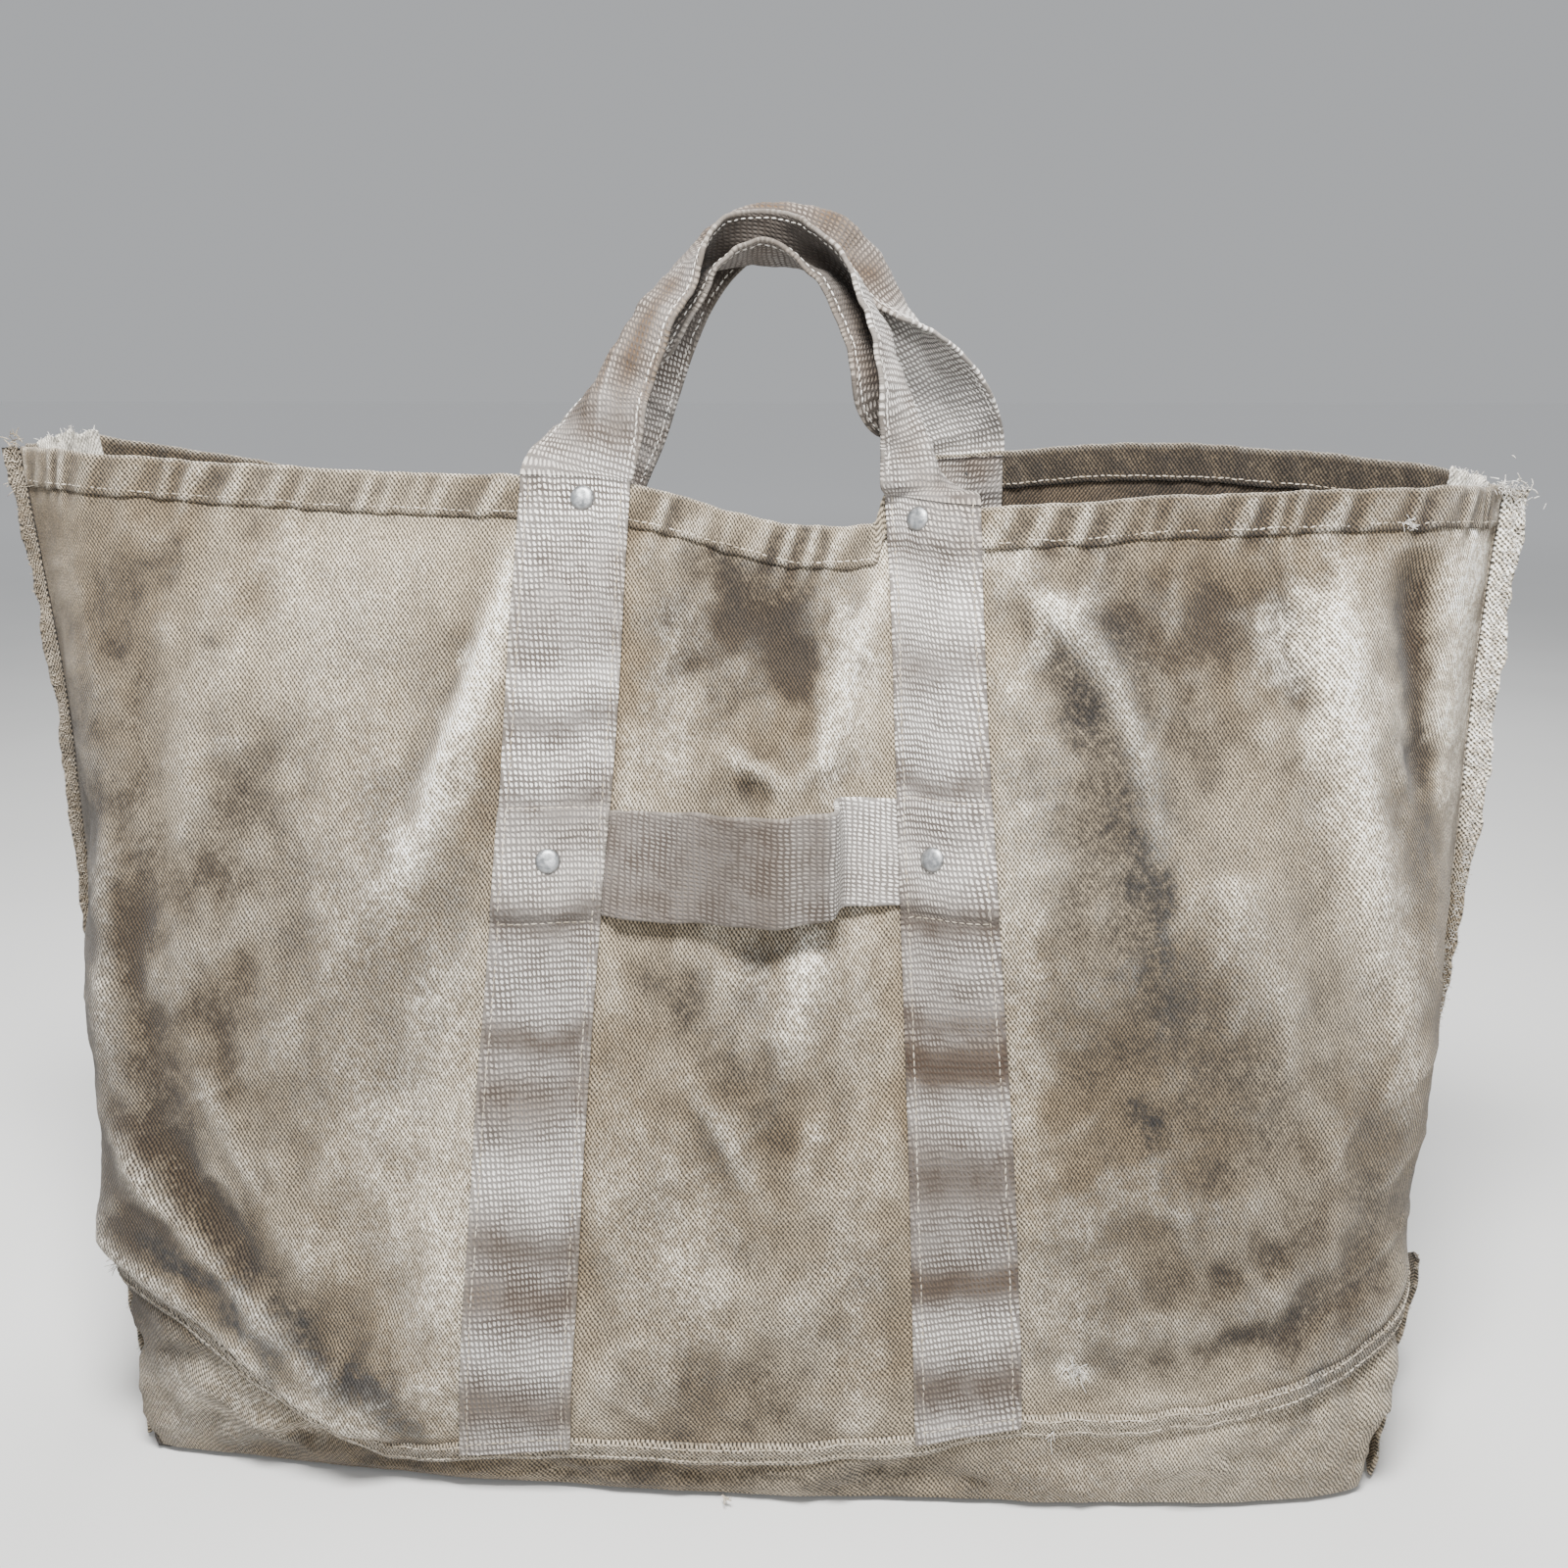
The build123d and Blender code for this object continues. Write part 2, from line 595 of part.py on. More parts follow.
# Each handle swings about a line just outside and above the rim, clear of both
# of its straps; its ends stand over the straps' own tops.
AX_OUT = 1.0        # outside the strap's outer face
AX_UP = 1.3         # above the rim
END_UP = 1.6        # foot of the handle above the rim
D_MID = D_STRAP_HEM + WEB_T / 2
D_AXIS = D_STRAP_HEM + WEB_T + AX_OUT


def hinge_line(a, b, c, d):
    """Line past the straps a-b and c-d, through its outermost corners a and d."""
    ends = []
    (p, _), (q, _) = rim_mid(a, b, 0.0), rim_mid(c, d, 0.0)
    for i in (a, d):
        x, y, _z = at(R["rim"], i, D_AXIS)
        ends.append((x, y, p[2] + (q[2] - p[2]) * (x - p[0]) / (q[0] - p[0]) + AX_UP))
    return ends


F_AX = hinge_line(idx(3), idx(4), idx(7), idx(8))
B_AX = hinge_line(idx(14), idx(15), idx(17), idx(18))
fl, fl_w = rim_mid(idx(3), idx(4), D_MID)
fr, fr_w = rim_mid(idx(7), idx(8), D_MID)
br, br_w = rim_mid(idx(15), idx(14), D_MID)
bl, bl_w = rim_mid(idx(18), idx(17), D_MID)

G, T = GRIP_W / 2, GRIP_T / 2
PARTS["front_handle"] = strip([
    (fl[0], fl[1], fl[2] + END_UP, 0, 24.6, 1.2), (-81.0, -0.5, 485.0, 0, 23.5, 1.3), (-75.0, 4.5, 497.0, 6, 20.0, 2.0),
    (-63.5, 13.0, 518.0, 16, 14.5, T), (-51.0, 24.5, 542.0, 42, G, T), (-42.0, 32.5, 558.2, 62, G, T),
    (-31.0, 38.5, 571.5, 78, G, T), (-16.7, 43.0, 580.0, 88, G, T), (-0.5, 45.0, 581.5, 92, G, T),
    (15.8, 44.5, 577.5, 92, G, T), (29.9, 42.0, 568.5, 88, G, T), (41.8, 38.0, 555.2, 78, G, T),
    (51.0, 32.5, 539.4, 62, G, T), (57.8, 26.5, 523.7, 44, G, T), (63.5, 20.5, 509.0, 30, 14.5, T),
    (72.0, 15.5, 492.0, 22, 19.5, 2.0), (79.0, 11.8, 477.5, 19, 22.0, 1.3), (fr[0], fr[1], fr[2] + END_UP, 0, 22.0, 1.2)], fl_w, fr_w)
PARTS["back_handle"] = strip([
    (bl[0], bl[1], bl[2] + END_UP, 0, 24.6, 1.2), (-90.0, 103.0, 466.5, 0, 24.0, 1.3), (-80.0, 98.5, 485.0, 4, 21.5, 1.8),
    (-66.5, 92.5, 508.6, 14, 17.0, T), (-52.0, 87.5, 535.0, 36, 14.0, T), (-42.0, 83.0, 557.0, 58, G, T),
    (-33.4, 79.0, 574.5, 74, G, T), (-19.4, 76.5, 588.0, 86, G, T), (-4.7, 75.5, 593.6, 90, G, T),
    (11.0, 75.5, 593.6, 90, G, T), (33.8, 76.5, 586.8, 86, G, T), (51.0, 78.5, 572.0, 76, G, T),
    (63.0, 81.5, 554.8, 60, G, T), (74.0, 86.0, 536.1, 42, 14.0, T), (84.5, 90.0, 521.0, 26, 17.0, T),
    (92.5, 95.0, 505.5, 12, 21.0, 1.8), (96.8, 101.0, 490.0, 4, 24.0, 1.3), (br[0], br[1], br[2] + END_UP, 0, 24.6, 1.2)], bl_w, br_w)


# -------------------------------------------------------------------- rivets
def rivet(length):
    """Split rivet: domed head at z 0 and up, shank down, four clinched prongs."""
    big = (RIVET_HEAD_R**2 + RIVET_HEAD_H**2) / (2 * RIVET_HEAD_H)
    dome = Pos(0, 0, 0.5 + RIVET_HEAD_H - big) * Sphere(big)
    dome = dome & (Pos(0, 0, 0.5) * Cylinder(20, 20, align=(Align.CENTER, Align.CENTER, Align.MIN)))
    flat = Cylinder(RIVET_HEAD_R, 0.5, align=(Align.CENTER, Align.CENTER, Align.MIN))
    shank = Cylinder(RIVET_SHANK_R, length + 0.1, align=(Align.CENTER, Align.CENTER, Align.MAX))
    body = dome + flat + Pos(0, 0, 0.05) * shank
    for k in range(4):
        prong = Box(5.2, 1.7, 0.8, align=(Align.MIN, Align.CENTER, Align.MAX))
        body = body + Rot(0, 0, 45 + 90 * k) * (Pos(0, 0, -length + 0.02) * prong)
    return body.solid() if hasattr(body, "solid") else body


def drill(names, plane, deep):
    """Clear the shank through the sewn layers, and seat the head and the prongs."""
    hole = plane.location * Pos(0, 0, 2.0) * Cylinder(RIVET_HOLE_R, deep + 6.0, align=(Align.CENTER, Align.CENTER, Align.MAX))
    seat = plane.location * Pos(0, 0, -0.12) * Cylinder(RIVET_HEAD_R + 0.35, 6.0, align=(Align.CENTER, Align.CENTER, Align.MIN))
    heel = plane.location * Pos(0, 0, -deep + 0.12) * Cylinder(5.7, 6.0, align=(Align.CENTER, Align.CENTER, Align.MAX))
    for n in names:
        s = PARTS[n] - hole
        s = s - seat
        s = s - heel
        PARTS[n] = s.solid()


def rivet_plane(p, i0, i1, dz):
    """Plane on the strap's outer face, its normal out of the bag."""
    a, b = xy(US[i0], p[2]), xy(US[i1], p[2])
    along = unit((b[0] - a[0], b[1] - a[1], 0.0))
    c0, c1 = xy((US[i0] + US[i1]) / 2, p[2] - dz), xy((US[i0] + US[i1]) / 2, p[2] + dz)
    up = unit((c1[0] - c0[0], c1[1] - c0[1], 2 * dz))
    n = unit(cross(along, up))
    return Plane(origin=Vector(*p), x_dir=Vector(*along), z_dir=Vector(*n))


def face_point(i0, i1, f, z, d):
    """Point d out from the canvas, a share f from one strap edge to the other."""
    a, b = xy(US[i0], z), xy(US[i1], z)
    r = R["hem"][1]
    nx = r[i0][0] + (r[i1][0] - r[i0][0]) * f
    ny = r[i0][1] + (r[i1][1] - r[i0][1]) * f
    l = math.hypot(nx, ny)
    return (a[0] + (b[0] - a[0]) * f + nx / l * d, a[1] + (b[1] - a[1]) * f + ny / l * d, z)


def rim_rivet(name, i0, i1, f, side):
    z = rim((US[i0] + US[i1]) / 2) - RIVET_DROP
    if name == "back_left_rim_rivet" or name == "back_right_rim_rivet":
        z = rim(US[i0]) + (rim(US[i1]) - rim(US[i0])) * f - RIVET_DROP - 3.0
    d = D_STRAP_HEM + WEB_T + 0.1
    pl = rivet_plane(face_point(i0, i1, f, z, d), i0, i1, 6.0)
    deep = d - (D_HEM_IN - SEWN - 0.05 - WEB_T) + 0.1
    drill([side + "_panel", side + "_hem"] + [n for n in PARTS if n == name.replace("_rim_rivet", "_strap") or n == name.replace("_rim_rivet", "_tab")], pl, deep)
    PARTS[name] = pl.location * rivet(deep)


rim_rivet("front_left_rim_rivet", idx(3), idx(4), 0.53, "front")
rim_rivet("front_right_rim_rivet", idx(7), idx(8), 0.43, "front")
rim_rivet("back_right_rim_rivet", idx(14), idx(15), 0.36, "back")
rim_rivet("back_left_rim_rivet", idx(17), idx(18), 0.50, "back")


def loop_rivet(name, i0, i1, f, z):
    d = D_STRAP_LOOP + WEB_T + 0.1
    pl = rivet_plane(face_point(i0, i1, f, z, d), i0, i1, 20.0)
    deep = d + CANVAS_T + 0.15
    drill(["front_panel", "tool_loop", name.replace("_loop_rivet", "_strap")], pl, deep)
    PARTS[name] = pl.location * rivet(deep)


loop_rivet("front_left_loop_rivet", idx(3), idx(4), 0.43, 302.5)
loop_rivet("front_right_loop_rivet", idx(7), idx(8), 0.45, 303.6)

# -------------------------------------------------------------------- export
if __name__ == "__main__":
    for name, shape in PARTS.items():
        export_step(shape, "parts/%s.step" % name)
    print("front handle hinge", [round(c, 2) for c in F_AX[0]], [round(c, 2) for c in F_AX[1]])
    print("back handle hinge", [round(c, 2) for c in B_AX[0]], [round(c, 2) for c in B_AX[1]])
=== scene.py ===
import json
import math

import bpy
import mathutils
import numpy as np
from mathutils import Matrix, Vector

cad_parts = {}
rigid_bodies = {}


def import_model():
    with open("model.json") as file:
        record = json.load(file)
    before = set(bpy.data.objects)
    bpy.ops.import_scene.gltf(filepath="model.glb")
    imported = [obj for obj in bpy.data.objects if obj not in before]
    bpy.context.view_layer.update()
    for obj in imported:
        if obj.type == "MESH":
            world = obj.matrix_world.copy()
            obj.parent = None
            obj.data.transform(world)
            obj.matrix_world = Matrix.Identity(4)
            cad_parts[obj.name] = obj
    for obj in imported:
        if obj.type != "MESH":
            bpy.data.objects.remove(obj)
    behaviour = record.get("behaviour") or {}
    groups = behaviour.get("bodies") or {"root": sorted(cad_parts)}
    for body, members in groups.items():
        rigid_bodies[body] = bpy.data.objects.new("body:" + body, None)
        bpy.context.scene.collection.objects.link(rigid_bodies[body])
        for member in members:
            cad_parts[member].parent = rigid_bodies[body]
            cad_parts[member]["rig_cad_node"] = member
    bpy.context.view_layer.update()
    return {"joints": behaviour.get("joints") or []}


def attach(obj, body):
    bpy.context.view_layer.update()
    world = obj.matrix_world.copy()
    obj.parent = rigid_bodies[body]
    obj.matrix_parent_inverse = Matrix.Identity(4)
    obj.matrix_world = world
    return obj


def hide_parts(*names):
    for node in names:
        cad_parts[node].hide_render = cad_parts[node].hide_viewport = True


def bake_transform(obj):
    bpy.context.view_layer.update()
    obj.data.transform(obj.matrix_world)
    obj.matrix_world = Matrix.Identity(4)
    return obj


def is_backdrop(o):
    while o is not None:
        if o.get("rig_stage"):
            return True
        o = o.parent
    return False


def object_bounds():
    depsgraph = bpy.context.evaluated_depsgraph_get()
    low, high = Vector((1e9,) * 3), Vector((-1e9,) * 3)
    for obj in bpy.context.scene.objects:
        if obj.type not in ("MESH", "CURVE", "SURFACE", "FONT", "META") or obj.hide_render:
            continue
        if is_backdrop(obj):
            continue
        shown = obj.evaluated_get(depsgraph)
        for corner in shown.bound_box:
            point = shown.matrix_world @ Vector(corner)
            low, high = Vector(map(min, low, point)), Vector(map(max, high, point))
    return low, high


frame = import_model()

RNG = np.random.default_rng(41)

# Garden tool bag, seen as it is sewn: canvas panels, a boxed bottom, a turned
# hem, webbing straps and handles, a slack tool loop and split rivets.
# Geometry is worked in millimetres and written to the meshes in metres.

# ------------------------------------------------------------- the bag's shape
# Same columns as the CAD part: (z, x, y) of the canvas's outer face.
COLS = [
    [(0, -297, 0), (60, -311, 2), (120, -330, 6), (200, -346, 14), (280, -352, 20), (360, -356, 27), (430, -364, 33), (484, -371, 38)],
    [(0, -297, -88), (60, -303, -86), (120, -306, -79), (200, -312, -60), (280, -317, -38), (360, -321, -12), (430, -328, 10), (482, -333, 22)],
    [(0, -212, -100), (60, -212, -106), (120, -212, -99), (200, -212, -83), (280, -211, -60), (360, -209, -33), (430, -207, -6), (475, -206, 8)],
    [(0, -135.5, -107), (60, -131.5, -112), (120, -127.6, -102), (200, -123.0, -84), (280, -117.6, -61), (360, -113.4, -37), (430, -110.6, -13), (473, -108.4, 0)],
    [(0, -84.5, -109), (60, -81.0, -111), (120, -77.8, -100), (200, -74.0, -81), (280, -69.0, -57), (360, -63.8, -33), (430, -61.4, -10), (470, -59.6, 2)],
    [(0, -30, -111), (60, -29, -113), (120, -28, -104), (200, -26, -89), (280, -24, -60), (360, -22, -24), (430, -21, 4), (458, -21, 14)],
    [(0, 28, -112), (60, 28, -113), (120, 28, -104), (200, 27, -88), (280, 27, -58), (360, 26, -20), (430, 26, 9), (448, 26, 17)],
    [(0, 83.0, -110), (60, 80.4, -107), (120, 78.2, -95), (200, 74.8, -74), (280, 71.0, -48), (360, 67.4, -18), (430, 64.2, 8), (461, 62.2, 19)],
    [(0, 127.0, -110), (60, 127.6, -111), (120, 124.6, -103), (200, 119.4, -86), (280, 113.2, -63), (360, 108.0, -34), (430, 105.0, -7), (461, 104.0, 5)],
    [(0, 214, -107), (60, 215, -109), (120, 214, -101), (200, 213, -84), (280, 212, -59), (360, 211, -29), (430, 211, 1), (464, 212, 14)],
    [(0, 297, -88), (60, 305, -84), (120, 310, -71), (200, 317, -49), (280, 322, -23), (360, 325, 2), (430, 329, 22), (467, 332, 31)],
    [(0, 297, 2), (60, 311, 4), (120, 329, 10), (200, 345, 24), (280, 354, 37), (360, 356, 44), (430, 360, 50), (465, 363, 53)],
    [(0, 297, 90), (60, 304, 92), (120, 311, 90), (200, 319, 88), (280, 325, 84), (360, 329, 81), (430, 333, 78), (474, 335, 76)],
    [(0, 215, 95), (60, 215, 99), (120, 214, 100), (200, 213, 99), (280, 212, 98), (360, 212, 97), (430, 212, 97), (484, 213, 98)],
    [(0, 136, 98), (60, 133, 102), (120, 131, 103), (200, 129, 102), (280, 127, 101), (360, 125.5, 100), (430, 124, 100), (480, 123, 101)],
    [(0, 85.5, 99), (60, 82.5, 103), (120, 80.4, 104), (200, 78.4, 103), (280, 76.4, 102), (360, 74.8, 101), (430, 73.4, 101), (473, 72.4, 102)],
    [(0, 0, 99), (60, 0, 104), (120, 0, 106), (200, 0, 107), (280, 1, 107), (360, 1, 107), (430, 2, 108), (443, 2, 108)],
    [(0, -85.5, 99), (60, -82.5, 103), (120, -80.0, 104), (200, -77.5, 103), (280, -75.0, 102), (360, -72.0, 101), (430, -69.5, 101), (457, -68.0, 102)],
    [(0, -136, 98), (60, -133, 102), (120, -130.5, 103), (200, -128.0, 102), (280, -125.5, 101), (360, -122.6, 100), (430, -120.0, 100), (451, -118.6, 101)],
    [(0, -215, 95), (60, -215, 99), (120, -214, 100), (200, -213, 98), (280, -212, 96), (360, -211, 95), (430, -210, 95), (464, -210, 95)],
    [(0, -297, 90), (60, -304, 92), (120, -311, 90), (200, -319, 86), (280, -324, 81), (360, -327, 76), (430, -332, 71), (487, -336, 67)],
]
RIM = [484, 482, 475, 472.5, 469.5, 458, 448, 461.5, 458.5, 464, 467, 465, 474, 484,
       479.5, 473.5, 443, 457, 451, 464, 487]
SEAM = [(0, 98), (0.5, 103), (1, 104), (1.5, 84), (2, 37), (2.5, 20), (3, 23), (4, 29),
        (5, 28), (6, 31), (7, 35), (8, 49), (8.5, 50), (9, 54), (9.5, 70), (10, 99),
        (10.5, 104), (11, 100), (11.5, 103), (12, 98), (12.5, 70), (13, 42), (13.5, 34),
        (14, 30), (15, 28), (16, 28), (17, 28), (18, 30), (18.5, 34), (19, 42),
        (19.5, 70), (20, 98), (20.5, 102), (21, 98)]
FRONT_COLS = list(range(0, 12))
BACK_COLS = list(range(11, 22))


def sstep(a, b, x):
    t = np.clip((np.asarray(x, float) - a) / (b - a), 0, 1)
    return t * t * (3 - 2 * t)


def herm(ts, vs, t, level=False):
    ts = np.asarray(ts, float)
    t = np.asarray(t, float)
    vs = np.asarray(vs, float)
    if vs.ndim == 1:
        vs = np.repeat(vs[:, None], t.size, 1)
    n = len(ts)
    h = np.diff(ts)[:, None]
    d = np.diff(vs, axis=0) / h
    m = np.empty_like(vs)
    m[0], m[-1] = d[0], d[-1]
    a, b = d[:-1], d[1:]
    if level:
        s = a + b
        m[1:-1] = np.where(a * b <= 0, 0.0, 2 * a * b / np.where(np.abs(s) < 1e-12, 1, s))
    else:
        m[1:-1] = (a * h[1:] + b * h[:-1]) / (h[1:] + h[:-1])
    k = np.clip(np.searchsorted(ts, t, side="right") - 1, 0, n - 2)
    c = np.arange(t.size)
    hh = (ts[k + 1] - ts[k])
    s = (t - ts[k]) / hh
    v0, v1 = vs[k, c], vs[k + 1, c]
    m0, m1 = m[k, c] * hh, m[k + 1, c] * hh
    mid = ((2 * s**3 - 3 * s**2 + 1) * v0 + (s**3 - 2 * s**2 + s) * m0
           + (-2 * s**3 + 3 * s**2) * v1 + (s**3 - s**2) * m1)
    return np.where(s < 0, v0 + m0 * s, np.where(s > 1, v1 + m1 * (s - 1), mid))


def base_xy(U, Z, back=False):
    """Outer face of the canvas, undisturbed."""
    U, Z = np.broadcast_arrays(np.asarray(U, float), np.asarray(Z, float))
    sh = U.shape
    u, z = U.ravel(), Z.ravel()
    cols = BACK_COLS if back else FRONT_COLS
    xs, ys = [], []
    for c in cols:
        col = COLS[c % 21]
        zs = [p[0] for p in col]
        xs.append(herm(zs, [p[1] for p in col], z))
        ys.append(herm(zs, [p[2] for p in col], z))
    return (herm(cols, np.array(xs), u, True).reshape(sh), herm(cols, np.array(ys), u, True).reshape(sh))


def rim(U, back=False):
    cols = BACK_COLS if back else FRONT_COLS
    U = np.asarray(U, float)
    r = herm(cols, [RIM[c % 21] for c in cols], U.ravel()).reshape(U.shape)
    if not back:    # low along the middle, then turned up in a corner at the right strap
        low = 447.5 + 2.5 * np.clip(U - 6, 0, 1) + 12.5 * sstep(6.80, 6.96, U)
        r = np.where((U > 6) & (U < 7.0), r + (np.minimum(low, r + 1.5) - r) * sstep(6.0, 6.25, U), r)
    else:           # hangs low between the two handles
        low = 437.0 + 38.0 * (1 - sstep(15.02, 15.30, U)) + 20.0 * sstep(16.55, 17.0, U)
        r = np.where((U > 15) & (U < 17), np.minimum(low, r), r)
    return r


def seam(U):
    k = [p[0] for p in SEAM]
    U = np.asarray(U, float)
    # a soft curve through the table
    w = 0.0
    for o, g in ((-0.2, 0.25), (0.0, 0.5), (0.2, 0.25)):
        w = w + g * np.interp(np.clip(U + o, 0, 21), k, [p[1] for p in SEAM])
    return w


# ------------------------------------------------------- seeded smooth noise
def make_noise(seed, wl_lo, wl_hi, n=40, dims=2):
    r = np.random.default_rng(seed)
    wl = np.exp(r.uniform(math.log(wl_lo), math.log(wl_hi), n))
    d = r.normal(size=(n, dims))
    d /= np.linalg.norm(d, axis=1)[:, None]
    k = d * (2 * math.pi / wl)[:, None]
    ph = r.uniform(0, 2 * math.pi, n)
    am = np.sqrt(wl)
    am = am / math.sqrt((am**2).sum() / 2)

    def f(*c):
        out = 0.0
        for i in range(n):
            a = ph[i]
            for q in range(dims):
                a = a + k[i, q] * c[q]
            out = out + am[i] * np.cos(a)
        return out        # about unit variance
    return f


N_BIG = make_noise(3, 110, 260, 16)
N_MID = make_noise(4, 45, 100, 22)
N_SMALL = make_noise(5, 18, 42, 26)
N_FINE = make_noise(6, 7, 16, 26)
N_R1 = make_noise(7, 40, 120, 20)
N_R2 = make_noise(8, 26, 70, 20)
N_LINE = make_noise(9, 12, 60, 12, 1)


def poly_dist(X, Z, pts):
    """Distance to a line of points, which side of it, and how far along it (0 to 1)."""
    best = np.full(X.shape, 1e9)
    side = np.zeros(X.shape)
    along = np.zeros(X.shape)
    seg = [math.dist(p, q) for p, q in zip(pts, pts[1:])]
    tot, run = sum(seg), 0.0
    for (p, q), l in zip(zip(pts, pts[1:]), seg):
        dx, dz = (q[0] - p[0]) / l, (q[1] - p[1]) / l
        t = np.clip((X - p[0]) * dx + (Z - p[1]) * dz, 0, l)
        ex, ez = X - (p[0] + dx * t), Z - (p[1] + dz * t)
        d = np.hypot(ex, ez)
        s = np.sign(dx * ez - dz * ex)
        m = d < best
        best = np.where(m, d, best)
        side = np.where(m, s, side)
        along = np.where(m, (run + t) / tot, along)
        run += l
    return best, side, along


def smooth_line(pts, n=24):
    p = np.array(pts, float)
    if len(p) < 3:
        return [tuple(q) for q in p]
    s = np.concatenate([[0], np.cumsum(np.hypot(*np.diff(p, axis=0).T))])
    t = np.linspace(0, s[-1], n)
    return list(zip(herm(s, p[:, 0], t), herm(s, p[:, 1], t)))


def fold(X, Z, pts, amp, wl, wr=None, ends=0.25, sharp=1.6):
    """A fold along pts: amp out of the cloth, wl and wr its half widths either side."""
    wr = wl if wr is None else wr
    d, s, t = poly_dist(X, Z, smooth_line(pts))
    w = np.where(s > 0, wl, wr)
    e = np.clip(np.minimum(t, 1 - t) / max(ends, 1e-3), 0, 1)
    e = e * e * (3 - 2 * e)
    return amp * np.exp(-((d / w) ** sharp)) * (0.12 + 0.88 * e)


# Folds of the front face, in (x, z). Positive stands out of the bag.
FRONT_FOLDS = [
    # left panel: the ridge that falls from the strap, and the hollow beside it
    ([(-109, 446), (-114, 420), (-127, 387), (-135, 361), (-148, 326), (-160, 300), (-166, 284)], 7.0, 20, 5.5, 0.35, 1.25),
    ([(-125, 430), (-139, 388), (-150, 358), (-164, 322), (-172, 296)], -5.5, 6.5, 17, 0.35, 1.5),
    ([(-190, 440), (-205, 400), (-216, 350)], 2.6, 22, 26, 0.4, 1.8),
    ([(-250, 430), (-262, 380), (-266, 320), (-262, 270)], 3.0, 30, 26, 0.4, 1.9),
    # rolled edge and the wrinkles that run down to the overhang
    ([(-316, 330), (-314, 282), (-309, 240), (-298, 193), (-288, 150)], 4.5, 12, 13, 0.3, 1.6),
    ([(-296, 300), (-292, 250), (-280, 205), (-268, 165)], -2.2, 11, 14, 0.35, 1.7),
    ([(-316, 184), (-292, 156), (-264, 128), (-240, 104), (-210, 74), (-176, 42)], 6.0, 8, 11, 0.25, 1.5),
    ([(-300, 205), (-268, 160), (-236, 122), (-205, 92)], -3.6, 9, 10, 0.35, 1.7),
    ([(-276, 232), (-250, 190), (-226, 150), (-205, 118), (-180, 92)], 3.6, 9, 10, 0.35, 1.6),
    ([(-236, 190), (-210, 145), (-190, 110)], 2.4, 8, 9, 0.4, 1.6),
    ([(-205, 150), (-185, 112), (-160, 84)], 2.2, 7, 9, 0.4, 1.6),
    ([(-190, 240), (-176, 200), (-158, 160)], 2.0, 12, 14, 0.4, 1.7),
    # middle panel
    ([(-40, 446), (-20, 428), (-2, 408), (12, 384)], -4.5, 17, 20, 0.4, 1.8),
    ([(-2, 420), (14, 392), (22, 366)], -3.0, 12, 12, 0.4, 1.8),
    ([(66, 448), (58, 420), (50, 398), (43, 374), (38, 350), (33, 332)], 6.5, 9, 7, 0.3, 1.3),
    ([(54, 446), (44, 418), (34, 392)], -4.0, 9, 8, 0.4, 1.7),
    ([(-16, 350), (-4, 342), (9, 336), (18, 327)], 3.4, 3.6, 5.5, 0.4, 1.6),
    ([(-10, 336), (4, 330), (14, 322)], -3.0, 4, 4, 0.4, 1.6),
    ([(36, 344), (27, 337), (21, 327)], 2.6, 3.2, 4, 0.4, 1.6),
    ([(48, 350), (40, 336), (32, 326)], -2.4, 5, 4, 0.4, 1.6),
    ([(34, 282), (28, 256), (22, 230), (16, 200)], 4.6, 10, 13, 0.35, 1.6),
    ([(4, 280), (2, 250), (-2, 222)], -3.2, 14, 12, 0.4, 1.7),
    ([(-34, 216), (-16, 194), (-2, 170), (12, 150)], 3.0, 6, 8, 0.4, 1.6),
    ([(-28, 200), (-14, 178), (-4, 158)], -2.4, 5, 6, 0.4, 1.6),
    ([(40, 200), (28, 176), (22, 150)], 2.4, 8, 8, 0.4, 1.6),
    ([(-50, 130), (-20, 112), (20, 106), (60, 112)], 2.8, 14, 16, 0.35, 1.8),
    ([(-60, 84), (-20, 72), (30, 70), (70, 78)], -2.2, 10, 12, 0.35, 1.8),
    # right panel: fold from the strap's foot at the hem, bulges towards the end
    ([(104, 448), (118, 432), (132, 417), (150, 400), (163, 384), (174, 358), (184, 325), (190, 290)], 5.0, 14, 8, 0.3, 1.4),
    ([(112, 420), (130, 398), (146, 374), (156, 345)], -4.0, 10, 12, 0.4, 1.7),
    ([(206, 440), (216, 405), (214, 372)], -3.0, 18, 16, 0.4, 1.8),
    ([(248, 446), (252, 422), (248, 404), (251, 384), (256, 362)], -3.0, 6, 6, 0.3, 1.6),
    ([(268, 446), (272, 410), (276, 372), (284, 330), (292, 286), (298, 240)], 8.0, 17, 18, 0.3, 1.9),
    ([(236, 384), (246, 396), (262, 402)], 2.6, 8, 8, 0.4, 1.6),
    ([(228, 352), (236, 360), (246, 362)], 2.2, 7, 7, 0.4, 1.6),
    ([(313, 444), (315, 416), (318, 380), (323, 340), (330, 318)], -9.0, 13, 14, 0.25, 2.0),
    ([(298, 437), (308, 441), (320, 441), (330, 436)], 1.8, 2.6, 2.6, 0.35, 1.6),
    ([(300, 360), (306, 340), (316, 322)], 3.0, 6, 7, 0.4, 1.6),
    ([(300, 280), (306, 230), (304, 180), (298, 130)], 3.6, 16, 14, 0.4, 1.8),
    ([(210, 320), (224, 270), (236, 220)], 2.8, 18, 20, 0.4, 1.8),
    ([(160, 250), (180, 200), (196, 160)], -2.4, 16, 18, 0.4, 1.8),
    ([(150, 170), (200, 150), (250, 150)], 2.6, 14, 16, 0.4, 1.8),
    ([(140, 100), (190, 96), (240, 112), (280, 140)], 3.2, 12, 14, 0.35, 1.7),
    ([(200, 84), (240, 92), (280, 116)], -2.2, 8, 9, 0.4, 1.7),
]
